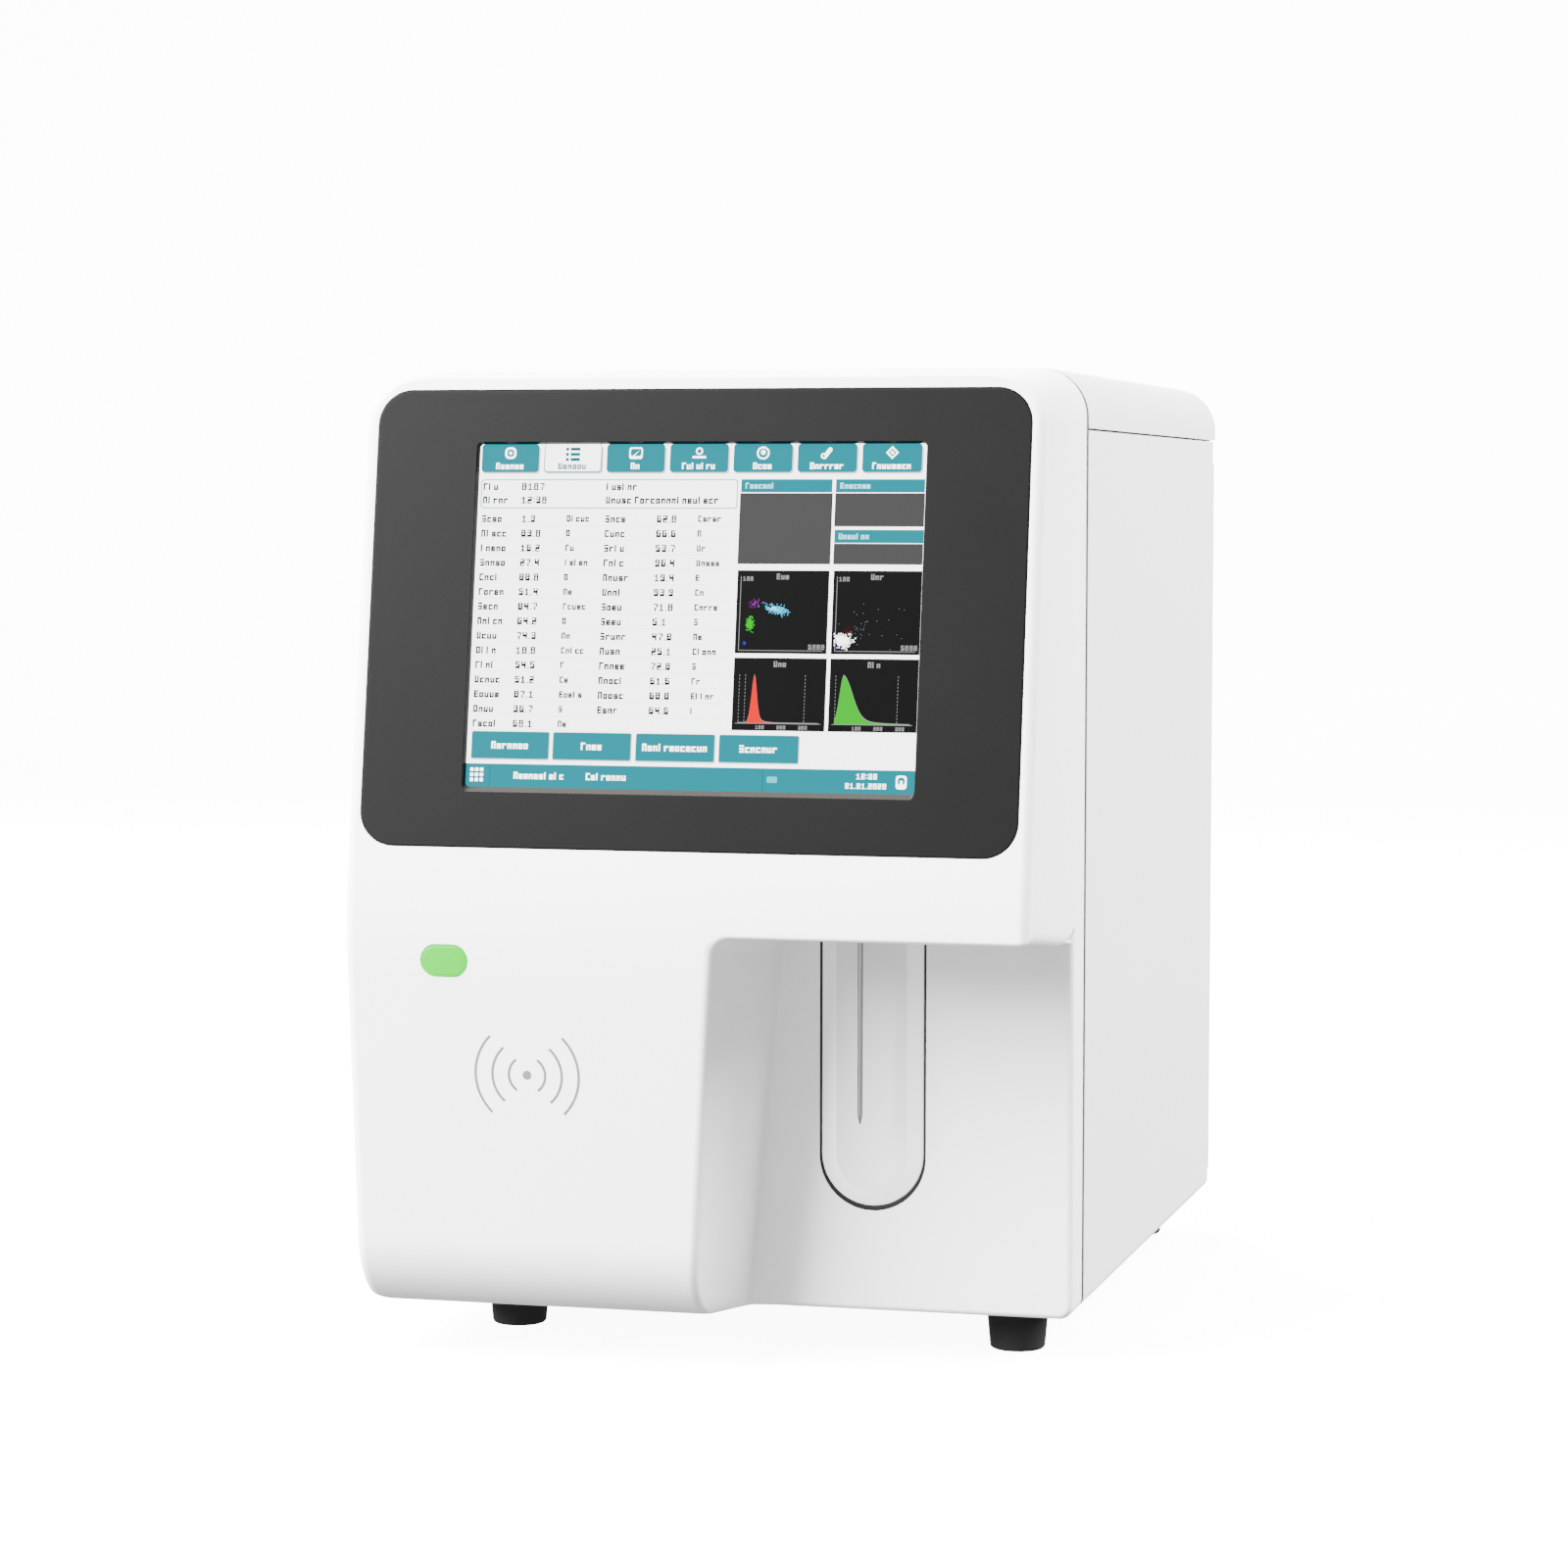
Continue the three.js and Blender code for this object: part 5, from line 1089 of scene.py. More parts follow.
@dataclass
class Display:
    """The dark front with its lit touch screen, on a plane that leans back."""

    origin_y: float
    origin_z: float = 218.4
    lean: float = DISPLAY_LEAN
    width: float = 308.0
    height: float = 211.0
    thickness: float = 3.5
    corner: float = 16.0
    screen_width: float = 211.2
    screen_height: float = 158.4
    screen_offset: float = 0.35
    screen_low: float = 27.95
    screen_corner: float = 2.0
    play: float = 0.3
    rim: float = 0.7
    ledge: float = 2.0
    touch_border: float = 5.0
    touch_thickness: float = 1.8
    lcd_border: float = 12.0
    ledge_rise: float = 0.45
    ledge_reach: float = 3.0
    page_gap: float = 0.12

    def leaned(self, shape: Shape) -> Shape:
        """Leans a shape drawn on the upright plane and moves it to the display's place."""
        return shape.turned_by(Matrix.Rotation(-self.lean, 3, "X"), (0, self.origin_y, self.origin_z))

    def across(self, border: float) -> Range:
        """The screen opening's width, grown by a border on each side."""
        return about(self.screen_offset, self.screen_width + 2 * border)

    def up(self, border: float) -> Range:
        """The screen opening's height, grown by a border on each side."""
        return self.screen_low - border, self.screen_low + self.screen_height + border

    def outline(self, grown: float) -> Array:
        """The dark front's rounded outline, grown by a gap."""
        half = self.width / 2 + grown
        return rounded((-half, half), (-grown, self.height + grown), self.corner + grown, 14)

    def pocket(self) -> Shape:
        """The pocket in the cover that takes the dark front."""
        return self.leaned(plate(self.outline(self.play), -OVERRUN, self.thickness + self.play, 0.1))

    def window(self) -> Shape:
        """The opening behind the dark front through which the display looks."""
        border = self.lcd_border + self.play
        return self.leaned(cuboid(self.across(border), (-OVERRUN, OVERRUN), self.up(border), 0.2))

    def bezel(self) -> Object:
        """The dark front: rounded rim, and an opening whose lower edge slopes down as a ledge."""
        outer = self.outline(0)
        opening = rounded(self.across(0), self.up(0), self.screen_corner, 14)
        mouth = inset(opening, -0.4)
        below = (self.screen_low + self.screen_corner - opening[:, 1]) / self.screen_corner
        mouth[:, 1] -= self.ledge * np.clip(below, 0, 1)
        edge = soft_edge(self.rim, 5)
        rings = [standing(outer, self.thickness)]
        rings += [standing(inset(outer, i), d) for i, d in edge[::-1]]
        rings += [standing(inset(mouth, -0.35), 0), standing(inset(mouth, -0.1), 0.08), standing(mouth, 0.35)]
        rings += [standing(opening, self.thickness - 0.8), standing(opening, self.thickness)]
        return add_mesh("bezel_front", self.leaned(tube(rings)), 30)

    def mark_ledge(self, bezel: Object) -> None:
        """Colours the upward faces of the lower ledge lighter, as a painted highlight."""
        centre, normal = face_places(bezel.data)
        low = self.leaned(Shape(np.array([[0, 0, self.screen_low]]), [])).points[0, 2]
        inner = np.abs(centre[:, 0]) < self.screen_width / 2 + 1
        # Faces that lean upwards near the ledge take the painted highlight
        ledge = inner & (normal[:, 2] > self.ledge_rise) & (np.abs(centre[:, 2] - low) < self.ledge_reach)
        two_finishes(bezel.data, DARK_FRONT, LEDGE_HIGHLIGHT, ledge)

    def build(self) -> None:
        """Makes the dark front, the glass with its picture, and what holds them."""
        bezel = self.bezel()
        self.mark_ledge(bezel)
        present(bezel, DARK_FRONT, "screen_bezel")
        front = self.thickness + self.play
        glass = cuboid(self.across(self.touch_border), (front, front + self.touch_thickness),
                       self.up(self.touch_border), 0.25)
        put("touch_glass", self.leaned(glass), TOUCH_GLASS, "touch_panel")
        picture = ScreenPicture(self.screen_width, self.screen_height)
        present(picture.build(self, front - self.page_gap), PICTURE, weigh=False)
        dress("lcd_module", GREY, 0.5)
        dress("display_bracket", ZINC, 0.3)
        dress("display_board", BOARD, 0.15)


class Ink(Enum):
    """The picture's colours, deep because the lit page shines several times brighter than paper."""

    PAGE = "#FFFFFF"
    TEAL = "#00535C"
    DEEP = "#003E45"
    PALE = "#2F8D97"
    HAZE = "#7FB9C0"
    TEXT = "#050505"
    DARK = "#030303"
    RULE = "#B8BBBC"
    SHADE = "#A0A4A6"
    GHOST = "#5C5D5E"
    PANEL = "#2A2A2A"
    BLACK = "#090909"
    WHITE = "#FFFFFF"
    CYAN = "#0095B2"
    MAGENTA = "#640070"
    GREEN = "#007A02"
    BLUE = "#0C0C98"
    RED = "#A40000"
    MAROON = "#2E0202"


@dataclass
class ScreenPicture:
    """A generic result page: tabs, a table of plain numbers, plots, buttons and a status bar.

    Places are millimetres from the screen's upper left corner, down as positive, each tile as
    (left, top, right, bottom).
    """

    width: float
    height: float
    layer: float = 0.012
    tab_count: int = 7
    tab_pitch: float = 30.05
    tab_width: float = 27.6
    tab_height: float = 13.0
    info: Box = (1.1, 16.2, 123.7, 29.8)
    table_top: float = 31.3
    row_pitch: float = 6.75
    row_count: int = 15
    columns: tuple[float, ...] = (2.2, 21.5, 43.0, 61.5, 86.0, 105.5)
    table_right: float = 122.0
    text_height: float = 3.3
    letter_pitch: float = 0.76
    names: tuple[int, ...] = (6, 6, 2, 7, 4, 7, 8)
    heads: tuple[Box, ...] = (
        (125.2, 16.2, 167.8, 22.2), (169.4, 16.2, 210.6, 22.2), (169.6, 39.2, 210.8, 45.2))
    panels: tuple[Box, ...] = (
        (125.2, 22.9, 167.8, 54.6), (169.6, 22.9, 210.4, 37.4), (169.8, 45.8, 210.4, 54.6))
    scatters: tuple[Box, ...] = ((125.2, 57.8, 168.0, 95.6), (170.0, 57.8, 210.8, 95.6))
    curves: tuple[Box, ...] = ((125.2, 97.6, 168.4, 130.6), (170.0, 97.6, 210.8, 130.6))
    clouds: tuple[tuple, ...] = (
        (0, (19.0, 18.0), (2.7, 1.0), 0.22, 230, Ink.CYAN, 0.4),
        (0, (17.4, 17.2), (0.8, 0.5), 0.2, 12, Ink.WHITE, 0.32),
        (0, (8.6, 15.2), (1.4, 0.9), -0.5, 50, Ink.MAGENTA, 0.32),
        (0, (6.6, 24.4), (0.8, 1.5), 0.1, 150, Ink.GREEN, 0.5),
        (0, (4.4, 33.2), (0.3, 0.4), 0, 16, Ink.BLUE, 0.32),
        (1, (5.2, 31.6), (2.0, 1.3), 0.2, 260, Ink.WHITE, 0.5),
        (1, (7.4, 27.0), (1.3, 0.7), -0.8, 46, Ink.MAROON, 0.32),
        (1, (10.0, 29.0), (4.0, 1.6), -0.8, 36, Ink.GHOST, 0.24),
        (1, (24.0, 22.0), (9.0, 6.0), 0, 22, Ink.GHOST, 0.28),
        (1, (2.8, 34.8), (0.4, 0.3), 0, 14, Ink.BLUE, 0.32))
    button_top: float = 132.8
    button_height: float = 12.4
    buttons: tuple[float, ...] = (2.2, 41.2, 80.6, 119.8)
    button_width: float = 37.0
    bar_top: float = 147.6
    letters: tuple[str, ...] = ("lrt", "l", "lrtb", "ltb", "lt", "tmbh", "ltmb", "lrb", "lrt")
    glyphs: tuple[str, ...] = (
        "757557", "262227", "717747", "717177", "557711", "747177", "747577", "711222", "757577", "757177")

    def __post_init__(self) -> None:
        """Starts with no tiles."""
        self.corners: list[Array] = []
        self.inks: list[Ink] = []
        self.depths: list[int] = []
        self.chance = np.random.default_rng(7)

    def tile(self, box: Box, ink: Ink, depth: int) -> None:
        """Adds a rectangle of one colour, higher depths lying nearer the eye."""
        left, top, right, bottom = box
        self.shape(np.array([[left, bottom], [right, bottom], [right, top], [left, top]]), ink, depth)

    def shape(self, corners: Array, ink: Ink, depth: int) -> None:
        """Adds a flat shape of one colour."""
        self.corners.append(corners)
        self.inks.append(ink)
        self.depths.append(depth)

    def card(self, box: Box, radius: float, ink: Ink, depth: int) -> None:
        """Adds a rectangle with round corners."""
        left, top, right, bottom = box
        loop = rounded((left, right), (-bottom, -top), radius, 5)
        self.shape(loop * [1, -1], ink, depth)

    def word(self, left: float, top: float, letters: int, ink: Ink, height: float, depth: int) -> None:
        """Adds a run of letter-like strokes that spell nothing, the first tall and most others low.

        Each letter is some of six strokes in its box: left, right, top, middle, bottom and a half right.

        Args:
            left: where the first letter starts.
            top: the upper edge of a tall letter.
            letters: how many letters are drawn.
            ink: their colour.
            height: the height of a tall letter.
            depth: how near the eye they lie.
        """
        step, stem = height * self.letter_pitch, height * 0.23
        for i in range(letters):
            x, wide = left + i * step, step * 0.8
            strokes = self.letters[int(self.chance.integers(0, len(self.letters)))]
            upper = top if i == 0 or strokes == "l" else top + height * 0.27
            middle, low = (upper + top + height - stem) / 2, top + height
            boxes = {"l": (x, upper, x + stem, low), "r": (x + wide - stem, upper, x + wide, low),
                     "t": (x, upper, x + wide, upper + stem), "m": (x, middle, x + wide, middle + stem),
                     "b": (x, low - stem, x + wide, low), "h": (x + wide - stem, middle, x + wide, low)}
            for stroke in strokes:
                self.tile(boxes[stroke], ink, depth)

    def centred(self, middle: float, top: float, letters: int, ink: Ink, height: float, depth: int) -> None:
        """Adds a word whose middle lies at a place."""
        self.word(middle - letters * height * self.letter_pitch / 2, top, letters, ink, height, depth)

    def number(self, left: float, top: float, value: str, ink: Ink, height: float, depth: int) -> None:
        """Adds plain digits drawn on a grid of three by six dots, rows read as binary numbers.

        Args:
            left: where the first digit starts.
            top: the digits' upper edge.
            value: digits, with points and colons between them.
            ink: their colour.
            height: the digits' height.
            depth: how near the eye they lie.
        """
        dot, wide = height / 6, height / 4.6
        x = left
        for sign in value:
            if sign in ".:":
                spots = [(0, 5)] if sign == "." else [(0, 1), (0, 4)]
                x_step = wide * 1.8
            else:
                rows = self.glyphs[int(sign)]
                spots = [(c, r) for r, bits in enumerate(rows) for c in range(3) if int(bits) >> (2 - c) & 1]
                x_step = wide * 4.0
            for c, r in spots:
                self.tile((x + c * wide, top + r * dot, x + (c + 1) * wide, top + (r + 1) * dot), ink, depth)
            x += x_step

    def cloud(self, box: Box, centre: Range, spread: Range, turn: float, count: int, ink: Ink,
              size: float) -> None:
        """Adds dots scattered round a centre, along a turned ellipse.

        Args:
            box: the plot, outside of which no dot falls.
            centre: the middle of the dots, from the plot's upper left corner.
            spread: the typical distance along and across the ellipse.
            turn: the ellipse's angle.
            count: how many dots are drawn.
            ink: their colour.
            size: the width of a dot.
        """
        along, aside = self.chance.normal(size=(2, count)) * np.array(spread)[:, None]
        x = box[0] + centre[0] + along * math.cos(turn) - aside * math.sin(turn)
        y = box[1] + centre[1] + along * math.sin(turn) + aside * math.cos(turn)
        keep = (x > box[0] + 1) & (x < box[2] - 1) & (y > box[1] + 1) & (y < box[3] - 1)
        for px, py in zip(x[keep], y[keep]):
            self.tile((px - size / 2, py - size / 2, px + size / 2, py + size / 2), ink, 3)

    def tabs(self) -> None:
        """The row of tabs along the top, the second one chosen, each with a small sign."""
        for i in range(self.tab_count):
            left = 0.9 + i * self.tab_pitch
            chosen = i == 1
            face, ink = (Ink.WHITE, Ink.DEEP) if chosen else (Ink.TEAL, Ink.WHITE)
            box = (left, -0.1, left + self.tab_width, self.tab_height)
            self.card((box[0] + 0.6, 1.0, box[2] + 0.7, box[3] + 0.7), 1.6, Ink.SHADE, 1)
            self.card(box, 1.6, Ink.TEAL if chosen else face, 2)
            if chosen:
                self.card((box[0] + 0.45, -0.1, box[2] - 0.45, box[3] - 0.45), 1.4, face, 3)
            self.sign(i, (box[0] + box[2]) / 2, 4.3, ink, face)
            self.centred((box[0] + box[2]) / 2, 8.6, self.names[i], ink, 3.0, 4)

    def sign(self, kind: int, x: float, y: float, ink: Ink, face: Ink) -> None:
        """One small generic sign: a drop, a list, a gauge, a hand, a ring, a tube or a diamond.

        Args:
            kind: the tab's place in the row, counted from zero.
            x: the sign's middle across.
            y: its middle down.
            ink: its colour.
            face: the colour of its gaps.
        """
        disc = arc((0, 0), 1, 0, 360, 20)[:-1]
        if kind == 1:
            for row in range(3):
                self.tile((x - 3.4, y - 2.7 + row * 2.4, x - 2.0, y - 1.3 + row * 2.4), ink, 4)
                self.tile((x - 1.2, y - 2.7 + row * 2.4, x + 3.4, y - 1.3 + row * 2.4), ink, 4)
        elif kind == 2:
            self.card((x - 3.2, y - 2.8, x + 3.2, y + 2.6), 1.1, ink, 4)
            self.card((x - 2.5, y - 2.1, x + 2.5, y + 1.2), 0.8, face, 5)
            self.shape(np.array([[x - 1.4, y + 1.0], [x - 0.9, y + 1.3], [x + 1.8, y - 1.4]]), ink, 6)
        elif kind == 3:
            self.shape(disc * 1.7 + [x, y - 1.0], ink, 4)
            self.shape(disc * 1.0 + [x, y - 1.0], face, 5)
            self.tile((x - 3.2, y + 1.2, x + 3.2, y + 2.3), ink, 4)
        elif kind == 4:
            self.shape(disc * 3.0 + [x, y - 0.1], ink, 4)
            self.shape(disc * 2.2 + [x, y - 0.1], face, 5)
            self.shape(disc * 1.2 + [x, y - 0.4], ink, 6)
        elif kind == 5:
            tube_shape = rounded((-1.0, 1.0), (-3.2, 3.0), 1.0, 5) @ np.array([[0.8, -0.6], [0.6, 0.8]])
            self.shape(tube_shape * [1, -1] + [x, y], ink, 4)
            self.shape(disc * 1.3 + [x - 1.8, y + 1.3], ink, 4)
            self.shape(disc * 0.6 + [x - 1.8, y + 1.3], face, 5)
        else:
            square = np.array([[0, 3.0], [3.0, 0], [0, -3.0], [-3.0, 0]])
            turned_square = square if kind == 6 else rounded((-2.7, 2.7), (-2.7, 2.7), 2.0, 5)
            self.shape(turned_square + [x, y - 0.2], ink, 4)
            self.shape(turned_square * 0.62 + [x, y - 0.2], face, 5)
            self.shape(disc * 0.8 + [x, y - 0.2], ink, 6)

    def results(self) -> None:
        """The sample's box and the table of plain numbers under it."""
        self.card(self.info, 1.6, Ink.PALE, 1)
        left, top, right, bottom = self.info
        self.card((left + 0.5, top + 0.5, right - 0.5, bottom - 0.5), 1.3, Ink.PAGE, 2)
        for row in range(2):
            y = top + 1.8 + row * 6.2
            self.word(left + 1.2, y, 3 + row * 2, Ink.TEXT, self.text_height, 3)
            self.number(left + 19.8, y, ("0107", "12:30")[row], Ink.TEXT, self.text_height, 3)
            self.word(left + 60.3, y, 6 - row, Ink.TEXT, self.text_height, 3)
            if row:
                self.word(left + 74.0, y, 16, Ink.TEXT, self.text_height, 3)
        values = self.chance.integers(10, 999, (self.row_count, 2))
        for row in range(self.row_count):
            y = self.table_top + row * self.row_pitch + 1.6
            self.tile((1.0, y + 4.6, self.table_right, y + 4.72), Ink.RULE, 1)
            for side in range(2):
                if side and row == self.row_count - 1:
                    continue
                start, figure, unit_at = self.columns[side * 3:side * 3 + 3]
                self.word(start, y, 4 + int(self.chance.integers(0, 2)), Ink.TEXT, self.text_height, 2)
                value = str(values[row, side])
                self.number(figure, y, f"{value[:-1]}.{value[-1]}", Ink.DARK, self.text_height, 2)
                self.word(unit_at, y, (5, 1, 2)[row % 3], Ink.TEXT, self.text_height * 0.9, 2)

    def plots(self) -> None:
        """The empty panels, the two scatter plots and the two curves."""
        for head, panel in zip(self.heads, self.panels):
            self.tile(head, Ink.TEAL, 1)
            self.word(head[0] + 2.0, head[1] + 1.6, 7, Ink.HAZE, 2.7, 2)
            self.tile((panel[0] - 0.3, panel[1] - 0.3, panel[2] + 0.3, panel[3] + 0.3), Ink.BLACK, 1)
            self.tile(panel, Ink.PANEL, 2)
        for box in (*self.scatters, *self.curves):
            self.tile(box, Ink.BLACK, 1)
            middle = (box[0] + box[2]) / 2
            self.centred(middle, box[1] + 1.4, 3, Ink.GHOST, 2.7, 2)
        for box in self.scatters:
            self.tile((box[0] + 1.6, box[1] + 2.6, box[0] + 1.9, box[3] - 1.2), Ink.GHOST, 2)
            self.tile((box[0] + 1.6, box[3] - 1.5, box[2] - 2.0, box[3] - 1.2), Ink.GHOST, 2)
            self.number(box[2] - 8.6, box[3] - 4.2, "5000", Ink.GHOST, 2.3, 2)
            self.number(box[0] + 2.6, box[1] + 2.8, "100", Ink.GHOST, 2.0, 2)
        for plot, *cloud in self.clouds:
            self.cloud(self.scatters[plot], *cloud)
        self.curve(self.curves[0], Ink.RED, 0.2, 0.038, 0.05)
        self.curve(self.curves[1], Ink.GREEN, 0.12, 0.06, 0.17)

    def curve(self, box: Box, ink: Ink, peak: float, rise: float, fall: float) -> None:
        """A filled curve: a bell before its peak, and after it a bell with a longer tail.

        Args:
            box: the plot that holds it.
            ink: its colour.
            peak: where the peak lies, as a share of the width.
            rise: the bell's width before the peak, as such a share.
            fall: the bell's width after it.
        """
        left, right = box[0] + 2.0, box[2] - 2.0
        base, top = box[3] - 3.4, box[1] + 7.6
        share = np.linspace(0.02, 0.97, 60)
        away = (share - peak) / np.where(share < peak, rise, fall)
        bell = np.exp(-away**2)
        tail = np.where(share < peak, bell, 0.82 * bell + 0.18 * np.exp(-np.abs(away) / 1.4))
        line = np.stack([left + (right - left) * share, base - (base - top) * tail], -1)
        rim = line - np.stack([np.zeros(60), 0.35 + 0 * share], -1)
        self.strips(line, np.full(60, base), ink, 3)
        self.strips(rim, line[:, 1], Ink.GHOST, 2)
        self.tile((left - 0.4, base, right, base + 0.28), Ink.GHOST, 4)
        for spot in (0.02, 0.09 if ink is Ink.RED else 0.02, 0.8):
            x = left + (right - left) * spot
            for dash in range(14):
                y = top + dash * (base - top) / 14
                self.tile((x, y, x + 0.22, y + 0.9), Ink.GHOST, 2)
        for i in range(3):
            self.number(left + 9 + i * 10, base + 1.0, str(100 * (i + 1)), Ink.GHOST, 1.7, 2)

    def strips(self, line: Array, base: Array, ink: Ink, depth: int) -> None:
        """Fills between a line and its base with one upright strip for each step."""
        for a, b, low_a, low_b in zip(line[:-1], line[1:], base[:-1], base[1:]):
            self.shape(np.array([[a[0], low_a], [b[0], low_b], b, a]), ink, depth)

    def controls(self) -> None:
        """The four buttons and the status bar with its grid sign, clock and lock."""
        for i, left in enumerate(self.buttons):
            top = self.button_top
            box = (left, top, left + self.button_width, top + self.button_height)
            self.card((box[0] - 0.2, top - 0.2, box[2] + 0.5, box[3] + 0.6), 0.9, Ink.SHADE, 1)
            self.card(box, 0.8, Ink.TEAL, 2)
            letters = (7, 4, 12, 7)[i]
            self.centred(left + self.button_width / 2, top + 4.5, letters, Ink.WHITE, 3.4, 3)
        self.tile((0, self.bar_top, self.width, self.height), Ink.TEAL, 2)
        for x in (11.4, 140.6):
            self.tile((x, self.bar_top + 0.6, x + 0.22, self.height - 0.3), Ink.DEEP, 3)
        for row in range(3):
            for column in range(3):
                x, y = 2.0 + column * 2.35, self.bar_top + 1.9 + row * 2.35
                self.card((x, y, x + 1.7, y + 1.7), 0.4, Ink.WHITE, 3)
        self.word(23.0, self.bar_top + 3.6, 10, Ink.WHITE, 3.2, 3)
        self.word(57.5, self.bar_top + 3.6, 8, Ink.WHITE, 3.2, 3)
        self.card((142.6, self.bar_top + 3.7, 147.4, self.bar_top + 6.5), 0.5, Ink.PALE, 3)
        self.number(184.0, self.bar_top + 1.6, "12:30", Ink.WHITE, 2.6, 3)
        self.number(179.0, self.bar_top + 6.0, "01.01.2020", Ink.WHITE, 2.5, 3)
        lock = (202.2, self.bar_top + 2.2, 207.2, self.bar_top + 8.4)
        self.card(lock, 1.3, Ink.WHITE, 3)
        self.card((lock[0] + 0.9, lock[1] + 0.9, lock[2] - 0.9, lock[3] - 2.0), 1.2, Ink.TEAL, 4)
        self.card((lock[0] + 1.9, lock[1] + 2.2, lock[2] - 1.9, lock[3] - 1.0), 0.5, Ink.WHITE, 5)

    def build(self, display: Display, y: float) -> Object:
        """Lays every tile on the glass and stores its colour with it.

        Args:
            display: the display that holds the screen.
            y: the depth of the page behind the dark front's face.

        Returns:
            The page as one object, each tile lying above the ones that it covers.
        """
        self.card((0, 0, self.width, self.height), 1.2, Ink.PAGE, 0)
        self.tabs()
        self.results()
        self.plots()
        self.controls()
        counts = [len(corners) for corners in self.corners]
        flat = np.vstack(self.corners)
        flat[:, 0] = np.clip(flat[:, 0], 0, self.width)
        flat[:, 1] = np.clip(flat[:, 1], 0, self.height)
        depth = np.repeat(self.depths, counts)
        left, top = display.across(0)[0], display.up(0)[1]
        points = np.stack([left + flat[:, 0], y - depth * self.layer, top - flat[:, 1]], -1)
        starts = np.concatenate([[0], np.cumsum(counts)[:-1]])
        faces = [list(range(start, start + count)) for start, count in zip(starts, counts)]
        mesh = new_mesh("picture", display.leaned(Shape(points, faces)))
        with editing(mesh) as work:
            work.normal_update()
            bmesh.ops.reverse_faces(work, faces=[face for face in work.faces if face.normal.y > 0])
        colours = np.repeat([linear(ink.value) for ink in self.inks], counts, axis=0)
        layer = mesh.color_attributes.new(PICTURE.layer, "FLOAT_COLOR", "POINT")
        layer.data.foreach_set("color", colours.ravel())
        return add_object("screen_picture", mesh)


# Status light and aspirate key

@dataclass
class StatusLight:
    """The lit lens in the belly's left side with the small board behind it."""

    front: float
    centre_x: float = -112.0
    centre_z: float = 166.3
    width: float = 22.4
    height: float = 14.6
    depth: float = 9.5
    play: float = 0.3
    edge: float = 1.6
    proud: float = 0.5

    def outline(self, grown: float) -> Array:
        """The lens's outline, round at both ends, grown by a gap."""
        across = about(self.centre_x, self.width + 2 * grown)
        up = about(self.centre_z, self.height + 2 * grown)
        return rounded(across, up, self.height / 2 + grown, 20)

    def build(self) -> None:
        """Makes the lens with its rounded rim, and dresses the boards behind it."""
        loop = self.outline(0)
        face = self.front - self.proud
        rim = soft_edge(self.edge, 7)
        rings = [standing(inset(loop, i), face + d) for i, d in rim]
        rings.append(standing(loop, face + self.depth))
        put("status_lens_dome", loft(rings), LENS, "status_lens", smooth=50, weigh=False)
        for node in ("status_led_board", "reader_board"):
            dress(node, BOARD, 0.15)


@dataclass
class ContactSymbol:
    """The printed sign on the leg that shows where a card is read: a dot between rising arcs."""

    cover: FrontCover
    centre: Range = (-73.8, 114.3)
    dot: float = 2.15
    line: float = 1.25
    arcs: tuple[Range, ...] = ((8.7, 55.0), (16.6, 49.0), (24.7, 46.0))
    proud: float = 0.04

    def build(self) -> None:
        """Lays the printed lines on the front face."""
        shapes = [self.printed(arc((0, 0), self.dot, 0, 350, 28), [list(range(28))])]
        steps = 40
        quads = [[i, i + 1, 2 * steps - 2 - i, 2 * steps - 1 - i] for i in range(steps - 1)]
        for radius, half in self.arcs:
            for side in (0, 180):
                outer = arc((0, 0), radius + self.line / 2, side - half, side + half, steps)
                inner = arc((0, 0), radius - self.line / 2, side + half, side - half, steps)
                shapes.append(self.printed(np.vstack([outer, inner]), quads))
        piece = add_object("contact_symbol", new_mesh("contact_symbol", shapes[0].joined(*shapes[1:])))
        present(piece, INK, weigh=False)

    def printed(self, loop: Array, faces: Faces) -> Shape:
        """A flat figure laid on the front face."""
        spots = loop + np.array(self.centre)
        return Shape(standing(spots, self.cover.front(spots[:, 1]) - self.proud), faces)


